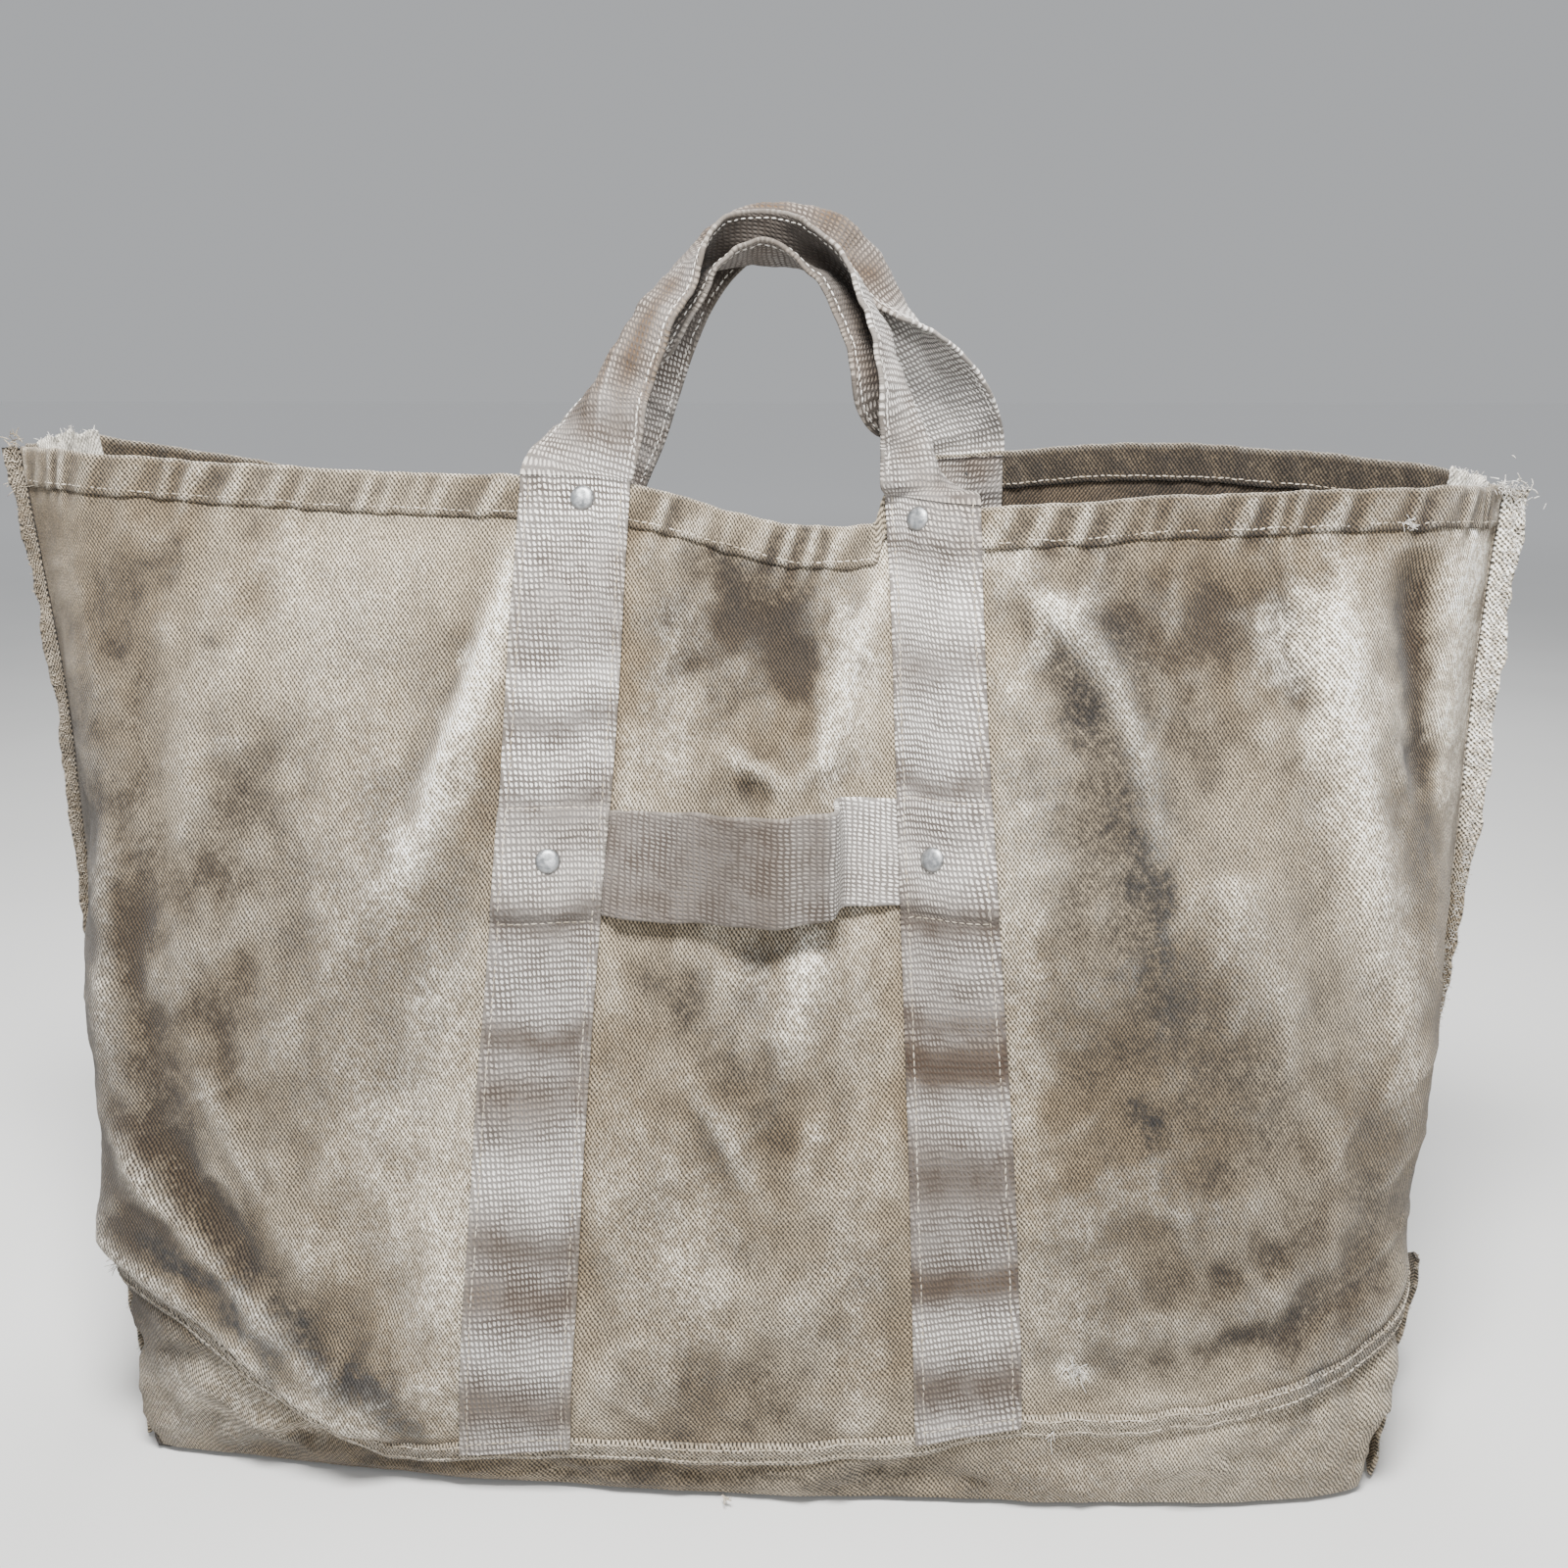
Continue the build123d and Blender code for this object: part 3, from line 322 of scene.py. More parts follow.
BACK_FOLDS = [
    ([(-300, 430), (-280, 360), (-250, 280), (-230, 200)], 5.0, 16, 18, 0.35, 1.6),
    ([(-270, 440), (-248, 370), (-220, 300)], -4.0, 14, 16, 0.35, 1.7),
    ([(-180, 420), (-165, 350), (-160, 280)], 4.0, 18, 16, 0.35, 1.7),
    ([(-40, 430), (-20, 360), (10, 290), (16, 230)], 5.0, 14, 18, 0.35, 1.6),
    ([(30, 420), (36, 350), (50, 290)], -4.0, 16, 14, 0.35, 1.7),
    ([(-50, 250), (-10, 200), (30, 180)], 3.0, 12, 14, 0.35, 1.7),
    ([(160, 440), (176, 380), (200, 310), (206, 250)], 5.5, 14, 16, 0.35, 1.6),
    ([(230, 430), (244, 370), (262, 300)], -4.5, 16, 16, 0.35, 1.7),
    ([(300, 380), (300, 300), (292, 220), (280, 150)], 5.0, 16, 14, 0.35, 1.7),
    ([(-300, 200), (-250, 150), (-200, 120)], 4.5, 10, 12, 0.3, 1.5),
    ([(200, 130), (250, 150), (300, 190)], 4.5, 12, 10, 0.3, 1.5),
    ([(-160, 130), (-120, 100), (-60, 96)], 2.5, 12, 12, 0.35, 1.7),
    ([(60, 110), (130, 90), (190, 96)], 2.5, 12, 12, 0.35, 1.7),
]
# strap edges and their column numbers
STRAPS = {"front_left": (3, 4, False), "front_right": (7, 8, False),
          "back_right": (14, 15, True), "back_left": (17, 18, True)}


def strap_mask(U, back):
    """1 where the webbing is sewn down, falling to 0 beside it."""
    m = np.zeros(np.shape(U))
    for a, b, bk in STRAPS.values():
        if bk == back:
            c, h = (a + b) / 2, (b - a) / 2
            m = np.maximum(m, 1 - sstep(h, h + 0.22, np.abs(U - c)))
    return m


def arc_table(back, z=260.0):
    us = np.linspace(11 if back else 0, 21 if back else 11, 1500)
    x, y = base_xy(us, np.full(us.size, z), back)
    s = np.concatenate([[0], np.cumsum(np.hypot(np.diff(x), np.diff(y)))])
    return us, s


ARC = {b: arc_table(b) for b in (False, True)}


def arc(U, back):
    us, s = ARC[back]
    return np.interp(U, us, s)


def hem_wave(U, Z, back):
    """Puckers of the sewn hem, slanted, dying out below it."""
    s = arc(U, back)
    h = rim(U, back) - Z
    ph = (s + 0.42 * h) / 16.4 + 0.30 * N_LINE(s * 0.45 + (900 if back else 0))
    mod = 0.62 + 0.38 * np.clip(N_LINE(s * 0.35 + 300), -1, 1)
    near = np.exp(-(np.maximum(h - 17, 0) / 9.0) ** 1.4)
    return 1.35 * mod * np.cos(2 * math.pi * ph) * near * (1 - 0.55 * np.exp(-(h / 3.0) ** 2))


def relief(U, X, Z, back):
    """How far the cloth stands out from its undisturbed face."""
    lo, hi = (11, 21) if back else (0, 11)
    D = 2.0 * N_BIG(X, Z + (700 if back else 0)) * 0.8 + 1.1 * N_MID(X + 30, Z + (400 if back else 0))
    for f in (BACK_FOLDS if back else FRONT_FOLDS):
        D = D + 1.25 * fold(X, Z, f[0], *f[1:])
    r1 = 1 - np.abs(N_R1(X, Z + (500 if back else 0)))
    r2 = 1 - np.abs(N_R2(X + 200, Z + (900 if back else 0)))
    low = np.exp(-((Z - 60) / 150.0) ** 2)
    D = D + (0.7 + 0.4 * low) * np.clip(r1, -1, 1) ** 3 + (0.32 + 0.2 * low) * np.clip(r2, -1, 1) ** 3
    fine = 0.34 * N_SMALL(X, Z) + 0.10 * N_FINE(X, Z)
    sm = strap_mask(U, back)
    D = D * (1 - 0.45 * sm) + fine * (1 - sm)
    # little puckers beside the strap stitching
    edge = np.zeros(np.shape(U))
    for a, b, bk in STRAPS.values():
        if bk == back:
            for e, sgn in ((a, -1), (b, 1)):
                t = (U - e) * sgn * 48.0
                g = np.where(t > -1, np.exp(-(np.maximum(t, 0) / 9.0) ** 1.3), 0)
                edge = edge + g * 0.5 * np.cos(2 * math.pi * ((Z - 0.8 * t) / 13.0 + 0.5 * N_LINE(Z * 0.7 + e * 70)))
    D = D + edge * (1 - sm)
    h = rim(U, back) - Z
    D = D * (0.30 + 0.70 * sstep(2, 60, h))
    D = D + hem_wave(U, Z, back)
    g = Z - seam(U)
    if not back:      # the left corner of the front panel slumps over its seam
        m = sstep(0.55, 1.0, U) * (1 - sstep(2.15, 2.75, U))
        D = D + 13.0 * m * sstep(0.5, 5.5, g) * np.exp(-(np.maximum(g - 6, 0) / 26.0) ** 1.4)
        m = sstep(9.0, 9.6, U) * (1 - sstep(10.2, 10.7, U))
        D = D + 3.0 * m * sstep(0.5, 9.0, g) * np.exp(-(np.maximum(g - 9, 0) / 30.0) ** 1.5)
    else:
        m = sstep(11.6, 12.1, U) * (1 - sstep(13, 13.6, U)) + sstep(18.4, 19, U) * (1 - sstep(20, 20.5, U))
        D = D + 4.0 * m * sstep(0.5, 8.0, g) * np.exp(-(np.maximum(g - 8, 0) / 30.0) ** 1.5)
    D = D * (0.06 + 0.94 * sstep(-1, 14, g))
    side = np.minimum(U - lo, hi - U)
    return D * sstep(0.02, 0.5, side)


def place(U, Z, d, back=False, calm=1.0):
    """Points d mm out of the canvas's face at column U and height Z."""
    U, Z = np.broadcast_arrays(np.asarray(U, float), np.asarray(Z, float))
    lo, hi = (11, 21) if back else (0, 11)
    e, f = 0.02, 2.0
    x, y = base_xy(U, Z, back)
    xa, ya = base_xy(np.clip(U - e, lo, hi), Z, back)
    xb, yb = base_xy(np.clip(U + e, lo, hi), Z, back)
    xc, yc = base_xy(U, Z - f, back)
    xd, yd = base_xy(U, Z + f, back)
    tu = np.stack([xb - xa, yb - ya, np.zeros_like(x)], -1)
    tz = np.stack([xd - xc, yd - yc, np.full_like(x, 2 * f)], -1)
    n = np.cross(tu, tz)
    n /= np.linalg.norm(n, axis=-1, keepdims=True)
    D = relief(U, x, Z, back) * calm
    return np.stack([x, y, Z], -1) + n * (D + d)[..., None], n


# ------------------------------------------------------------------- meshes
def link(o):
    bpy.context.scene.collection.objects.link(o)
    return o


def make(name, verts, faces, mats, attrs=None, mat_idx=None, smooth=True, sharp=None):
    me = bpy.data.meshes.new(name)
    v = np.asarray(verts, float) / 1000.0
    me.from_pydata(v.tolist(), [], faces)
    for m in mats:
        me.materials.append(m)
    if mat_idx is not None:
        me.polygons.foreach_set("material_index", np.asarray(mat_idx, np.int32))
    if smooth:
        me.polygons.foreach_set("use_smooth", np.ones(len(me.polygons), bool))
    for k, a in (attrs or {}).items():
        a = np.asarray(a, np.float32)
        if a.ndim == 2:
            at = me.attributes.new(k, "FLOAT_VECTOR", "POINT")
            at.data.foreach_set("vector", a.ravel())
        else:
            at = me.attributes.new(k, "FLOAT", "POINT")
            at.data.foreach_set("value", a)
    me.update()
    if sharp:
        me.set_sharp_from_angle(angle=math.radians(sharp))
    return link(bpy.data.objects.new(name, me))


def grid_faces(nu, nv, off=0, flip=False, wrap=False):
    i = np.arange(nu if wrap else nu - 1)[:, None]
    j = np.arange(nv - 1)[None, :]
    i2 = (i + 1) % nu
    a, b, c, d = i * nv + j, i2 * nv + j, i2 * nv + j + 1, i * nv + j + 1
    q = np.stack([a, b, c, d], -1).reshape(-1, 4) + off
    if flip:
        q = q[:, ::-1]
    return q.tolist()


def shell(name, A, B, mats, attrs, rim_mat=0, sharp=None):
    """Closed sheet: A its outer face, B its inner one, both (nu, nv, 3)."""
    nu, nv = A.shape[:2]
    n = nu * nv
    f = grid_faces(nu, nv)
    k = [0] * len(f)
    g = grid_faces(nu, nv, n, True)
    f += g
    k += [1] * len(g)
    e = []
    for i in range(nu - 1):
        a, b = i * nv, (i + 1) * nv
        e.append((b, a, a + n, b + n))
        a, b = i * nv + nv - 1, (i + 1) * nv + nv - 1
        e.append((a, b, b + n, a + n))
    for j in range(nv - 1):
        a, b = j, j + 1
        e.append((a, b, b + n, a + n))
        a, b = (nu - 1) * nv + j, (nu - 1) * nv + j + 1
        e.append((b, a, a + n, b + n))
    f += e
    k += [rim_mat] * len(e)
    V = np.concatenate([A.reshape(-1, 3), B.reshape(-1, 3)])
    at = {}
    for key, (a, b) in attrs.items():
        a = a.reshape(n, -1)
        b = b.reshape(n, -1)
        v = np.concatenate([a, b])
        at[key] = v if v.shape[1] > 1 else v[:, 0]
    return make(name, V, f, mats, at, k, sharp=sharp)


def normals_of(P):
    tu = np.gradient(P, axis=0)
    tv = np.gradient(P, axis=1)
    n = np.cross(tu, tv)
    return n / np.maximum(np.linalg.norm(n, axis=-1, keepdims=True), 1e-9)


def ribbon(name, P, thick, mats, attrs, sign=1.0, N=None):
    """Webbing along P (length, width, 3), its middle surface, with round selvedges.

    The face on the side of the normal times sign is the outer one.
    """
    ni, nj = P.shape[:2]
    n = (normals_of(P) if N is None else N) * sign
    t = thick / 2.0
    w1 = P[:, -1] - P[:, -2]
    w1 /= np.linalg.norm(w1, axis=-1, keepdims=True)
    w0 = P[:, 0] - P[:, 1]
    w0 /= np.linalg.norm(w0, axis=-1, keepdims=True)
    loops, own = [], []
    for j in range(nj):
        loops.append(P[:, j] + n[:, j] * t)
        own.append((j, 1))
    for a in (60, 120):
        a = math.radians(a)
        loops.append(P[:, -1] + (n[:, -1] * math.cos(a) + w1 * math.sin(a)) * t)
        own.append((nj - 1, 0))
    for j in range(nj - 1, -1, -1):
        loops.append(P[:, j] - n[:, j] * t)
        own.append((j, -1))
    for a in (60, 120):
        a = math.radians(a)
        loops.append(P[:, 0] + (-n[:, 0] * math.cos(a) + w0 * math.sin(a)) * t)
        own.append((0, 0))
    M = len(loops)
    V = np.stack(loops, 1)                      # (ni, M, 3)
    f = []
    for i in range(ni - 1):
        for m in range(M):
            k = (m + 1) % M
            q = (i * M + m, i * M + k, (i + 1) * M + k, (i + 1) * M + m)
            f.append(q if sign > 0 else q[::-1])
    for i, fl in ((0, True), (ni - 1, False)):
        o = i * M
        b = lambda j: 2 * nj + 1 - j
        caps = [(o + j, o + j + 1, o + b(j + 1), o + b(j)) for j in range(nj - 1)]
        caps.append((o + nj - 1, o + nj, o + nj + 1, o + nj + 2))
        caps.append((o, o + 2 * nj + 1, o + 2 * nj + 2, o + 2 * nj + 3))
        for c_ in caps:
            f.append(c_ if (fl == (sign > 0)) else c_[::-1])
    at = {}
    for key, a in attrs.items():
        cols = np.stack([a[:, j] for j, s in own], 1)
        at[key] = cols.reshape(ni * M, -1) if a.ndim == 3 else cols.reshape(-1)
    face = np.array([s for j, s in own], float)
    at["side"] = np.tile(face, ni)
    return make(name, V.reshape(-1, 3), f, mats, at)


def capsules(name, pts, dirs, nrm, length, width, height, mat, seed=0, lift=0.0):
    """Stitches: one small rounded bead for each point."""
    r = np.random.default_rng(seed)
    prof = [(-0.5, 0.35), (-0.36, 0.85), (0.0, 1.0), (0.36, 0.85), (0.5, 0.35)]
    ring = [(math.cos(a), math.sin(a)) for a in np.linspace(0, 2 * math.pi, 6, endpoint=False)]
    pts, dirs, nrm = (np.asarray(a, float) for a in (pts, dirs, nrm))
    dirs = dirs / np.linalg.norm(dirs, axis=1, keepdims=True)
    side = np.cross(dirs, nrm)
    side /= np.linalg.norm(side, axis=1, keepdims=True)
    n2 = np.cross(side, dirs)
    V, F = [], []
    for q in range(len(pts)):
        if r.random() < 0.03:
            continue
        c = pts[q] + n2[q] * lift + side[q] * r.normal(0, 0.12)
        l, w, h = length * r.uniform(0.85, 1.12), width * r.uniform(0.85, 1.15), height
        d = dirs[q] + side[q] * r.normal(0, 0.10)
        o = len(V)
        for a, s in prof:
            for cx, cz in ring:
                V.append(c + d * (a * l) + side[q] * (cx * s * w / 2) + n2[q] * (cz * s * h / 2 - 0.25 * h * (2 * abs(a)) ** 2))
        for k in range(len(prof) - 1):
            for m in range(6):
                m2 = (m + 1) % 6
                F.append((o + k * 6 + m, o + k * 6 + m2, o + (k + 1) * 6 + m2, o + (k + 1) * 6 + m))
        F.append(tuple(o + m for m in range(5, -1, -1)))
        F.append(tuple(o + 24 + m for m in range(6)))
    return make(name, V, F, [mat])


def threads(name, starts, dirs, mat, length=(3, 8), radius=0.24, seed=0, droop=0.35, spread=0.5, segs=4):
    """Loose yarn ends: thin bent tubes."""
    r = np.random.default_rng(seed)
    V, F = [], []
    for c, d in zip(np.asarray(starts, float), np.asarray(dirs, float)):
        d = d / max(np.linalg.norm(d), 1e-9)
        L = r.uniform(*length)
        v = d + r.normal(0, spread, 3)
        v /= np.linalg.norm(v)
        bend = r.normal(0, 0.55, 3)
        rad = radius * r.uniform(0.7, 1.3)
        p = c - v * 0.8
        o = len(V)
        for k in range(segs + 1):
            a = np.cross(v, (0.3, 0.5, 0.8))
            a /= np.linalg.norm(a)
            b = np.cross(v, a)
            rr = rad * (1 - 0.45 * k / segs)
            for m in range(3):
                g = 2 * math.pi * m / 3
                V.append(p + (a * math.cos(g) + b * math.sin(g)) * rr)
            p = p + v * (L / segs)
            v = v + bend * (1.0 / segs) + np.array((0, 0, -droop / segs))
            v /= np.linalg.norm(v)
        for k in range(segs):
            for m in range(3):
                m2 = (m + 1) % 3
                F.append((o + k * 3 + m, o + k * 3 + m2, o + (k + 1) * 3 + m2, o + (k + 1) * 3 + m))
        F.append((o + 2, o + 1, o))
        F.append((o + segs * 3, o + segs * 3 + 1, o + segs * 3 + 2))
    return make(name, V, F, [mat])


# ---------------------------------------------------------------- materials
class G:
    """Small helper for node trees."""

    def __init__(self, name):
        self.m = bpy.data.materials.new(name)
        self.m.use_nodes = True
        self.t = self.m.node_tree
        self.t.nodes.clear()
        self.out = self.t.nodes.new("ShaderNodeOutputMaterial")
        self.b = self.t.nodes.new("ShaderNodeBsdfPrincipled")
        self.link(self.b.outputs[0], self.out.inputs[0])

    def link(self, a, b):
        self.t.links.new(a, b)

    def put(self, sock, v):
        if hasattr(v, "is_linked") or isinstance(v, bpy.types.NodeSocket):
            self.link(v, sock)
        else:
            sock.default_value = v

    def math(self, op, a, b=0.0, c=0.0, clamp=False):
        n = self.t.nodes.new("ShaderNodeMath")
        n.operation = op
        n.use_clamp = clamp
        for s, v in zip(n.inputs, (a, b, c)):
            self.put(s, v)
        return n.outputs[0]

    def mix(self, f, a, b, blend="MIX"):
        n = self.t.nodes.new("ShaderNodeMix")
        n.data_type = "RGBA"
        n.blend_type = blend
        n.clamp_factor = True
        self.put(n.inputs[0], f)
        self.put(n.inputs[6], a if not isinstance(a, tuple) else (*a, 1.0))
        self.put(n.inputs[7], b if not isinstance(b, tuple) else (*b, 1.0))
        return n.outputs[2]

    def gamma(self, c, power, gain):
        """Deepen a colour's darks: power, then a gain, kept inside 0 to 1."""
        n = self.t.nodes.new("ShaderNodeGamma")
        self.put(n.inputs[0], c)
        n.inputs[1].default_value = power
        out = self.mix(1.0, n.outputs[0], (gain, gain, gain), "MULTIPLY")
        out.node.clamp_result = True
        return out

    def attr(self, name, fac=True):
        n = self.t.nodes.new("ShaderNodeAttribute")
        n.attribute_name = name
        return n.outputs["Fac"] if fac else n.outputs["Vector"]

    def obj(self):
        return self.t.nodes.new("ShaderNodeTexCoord").outputs["Object"]

    def scale(self, v, s):
        n = self.t.nodes.new("ShaderNodeMapping")
        self.link(v, n.inputs[0])
        n.inputs["Scale"].default_value = s
        return n.outputs[0]

    def noise(self, v, scale, detail=3.0, rough=0.55, dist=0.0):
        n = self.t.nodes.new("ShaderNodeTexNoise")
        self.link(v, n.inputs["Vector"])
        n.inputs["Scale"].default_value = scale
        n.inputs["Detail"].default_value = detail
        n.inputs["Roughness"].default_value = rough
        n.inputs["Distortion"].default_value = dist
        return n.outputs["Fac"]

    def ramp(self, f, lo, hi, a=0.0, b=1.0):
        n = self.t.nodes.new("ShaderNodeMapRange")
        n.interpolation_type = "SMOOTHSTEP"
        self.put(n.inputs[0], f)
        for i, v in zip((1, 2, 3, 4), (lo, hi, a, b)):
            n.inputs[i].default_value = v
        return n.outputs[0]

    def sep(self, v):
        n = self.t.nodes.new("ShaderNodeSeparateXYZ")
        self.link(v, n.inputs[0])
        return n.outputs

    def bump(self, h, dist, strength=1.0, normal=None):
        n = self.t.nodes.new("ShaderNodeBump")
        n.inputs["Strength"].default_value = strength
        n.inputs["Distance"].default_value = dist
        self.link(h, n.inputs["Height"])
        if normal is not None:
            self.link(normal, n.inputs["Normal"])
        return n.outputs[0]

    def done(self, color, rough, normal=None, metallic=0.0, spec=0.25, sheen=0.0):
        self.put(self.b.inputs["Base Color"], color)
        self.put(self.b.inputs["Roughness"], rough)
        self.b.inputs["Metallic"].default_value = metallic
        self.b.inputs["Specular IOR Level"].default_value = spec
        if sheen:
            self.b.inputs["Sheen Weight"].default_value = sheen
            self.b.inputs["Sheen Roughness"].default_value = 0.6
        if normal is not None:
            self.link(normal, self.b.inputs["Normal"])
        return self.m


CREAM = (0.182, 0.145, 0.098)
PALE = (0.300, 0.260, 0.202)
BROWN = (0.050, 0.037, 0.025)
GREY = (0.032, 0.029, 0.027)
OLIVE = (0.066, 0.051, 0.034)


def canvas(name, inner=False, weave=1.0, seedshift=0.0, white=False):
    g = G(name)
    cv = g.attr("cv", False)
    ob = g.scale(g.obj(), (1000.0, 1000.0, 1000.0))
    wob = g.noise(cv, 0.16, 2.0)
    wob2 = g.noise(cv, 0.7, 1.0)
    s = g.sep(cv)
    a = g.math("ADD", g.math("DIVIDE", s[0], 1.9), g.math("MULTIPLY", wob, 1.1))
    b = g.math("ADD", g.math("DIVIDE", s[1], 2.7), g.math("MULTIPLY", wob2, 0.35))
    p = g.math("COSINE", g.math("MULTIPLY", g.math("ADD", a, b), 2 * math.pi))
    q = g.math("COSINE", g.math("MULTIPLY", g.math("SUBTRACT", a, b), 2 * math.pi))
    tw = g.math("ADD", g.math("MULTIPLY", p, 0.31), g.math("ADD", g.math("MULTIPLY", q, 0.19), 0.5))
    tw = g.math("ADD", tw, 0.0, clamp=True)

    n_big = g.noise(ob, 0.0075, 4.0, 0.6, 0.4)
    n_mid = g.noise(ob, 0.022, 5.0, 0.65, 0.6)
    n_blot = g.noise(ob, 0.055, 6.0, 0.7, 0.3)
    n_fine = g.noise(ob, 0.32, 3.0, 0.6)
    n_grit = g.noise(ob, 1.1, 2.0, 0.6)

    base = g.mix(g.ramp(n_big, 0.38, 0.66), CREAM, PALE) if not white else g.mix(g.ramp(n_mid, 0.4, 0.6), (0.34, 0.33, 0.30), (0.52, 0.51, 0.475))
    # painted shade: the inside of the bag is the same canvas drawn darker, and below its stains mix to BROWN instead of
    # OLIVE
    if inner:
        base = g.mix(0.75, base, (0.085, 0.064, 0.045))
    soil_and_shade, smudge_and_shade, wear_and_highlight = g.attr("soil_and_shade"), g.attr("smudge_and_shade"), g.attr("wear_and_highlight")
    # warm stains and painted shade, both carried in soil: broad, patchy
    f = g.math("ADD", soil_and_shade, g.math("MULTIPLY", g.ramp(n_mid, 0.38, 0.72), 0.24 if not white else 0.12))
    f = g.math("MULTIPLY", f, g.ramp(g.math("ADD", g.math("MULTIPLY", n_blot, 0.4), g.math("MULTIPLY", n_fine, 0.6)), 0.28, 0.72, 0.62, 1.25))
    col = g.mix(g.math("MULTIPLY", f, 0.85, clamp=True), base, OLIVE if not inner else BROWN)
    f2 = g.math("MULTIPLY", g.ramp(g.math("ADD", g.math("MULTIPLY", soil_and_shade, 0.42), g.math("ADD", g.math("MULTIPLY", n_blot, 0.55), g.math("MULTIPLY", n_fine, 0.28))), 0.62, 1.05), 0.60)
    col = g.mix(f2, col, BROWN)
    # grey grime and painted shade, both carried in smudge, that catch on the raised yarns
    gr = g.math("ADD", g.math("MULTIPLY", smudge_and_shade, 1.3), g.math("MULTIPLY", g.ramp(n_blot, 0.46, 0.76), 0.24 if not white else 0.1))
    gr = g.math("MULTIPLY", gr, g.ramp(g.math("ADD", g.math("MULTIPLY", n_fine, 0.75), g.math("MULTIPLY", tw, 0.30)), 0.34, 0.72, 0.12, 1.0))
    col = g.mix(g.math("MULTIPLY", gr, 0.9, clamp=True), col, GREY)
    # worn pale yarns and painted highlights, both carried in wear
    wr = g.math("MULTIPLY", wear_and_highlight, g.ramp(n_fine, 0.35, 0.7, 0.3, 1.0))
    col = g.mix(g.math("MULTIPLY", wr, 0.78, clamp=True), col, (0.80, 0.76, 0.68))
    # the weave itself: pale floats, dirt between them
    wv = g.math("MULTIPLY", g.ramp(tw, 0.08, 0.95, 1 - 0.74 * weave, 1 + 0.72 * weave), g.ramp(n_grit, 0.25, 0.75, 0.74, 1.26))
    col = g.mix(1.0, col, wv, "MULTIPLY")
    # specks
    sp = g.ramp(g.noise(ob, 0.42, 1.0, 0.4), 0.735, 0.79, 0.0, 0.55)
    col = g.mix(sp, col, (0.10, 0.08, 0.06))
    col = g.gamma(col, 1.33, 1.36)
    h = g.math("ADD", g.math("MULTIPLY", tw, 1.0), g.math("MULTIPLY", n_grit, 0.5))
    nb = g.bump(g.noise(ob, 0.09, 4.0, 0.6), 0.0005, 0.45)
    nb = g.bump(h, 0.00042, 0.75 * weave, nb)
    rough = g.ramp(n_fine, 0.2, 0.8, 0.82, 0.97)
    return g.done(col, rough, nb, spec=0.18, sheen=0.12)


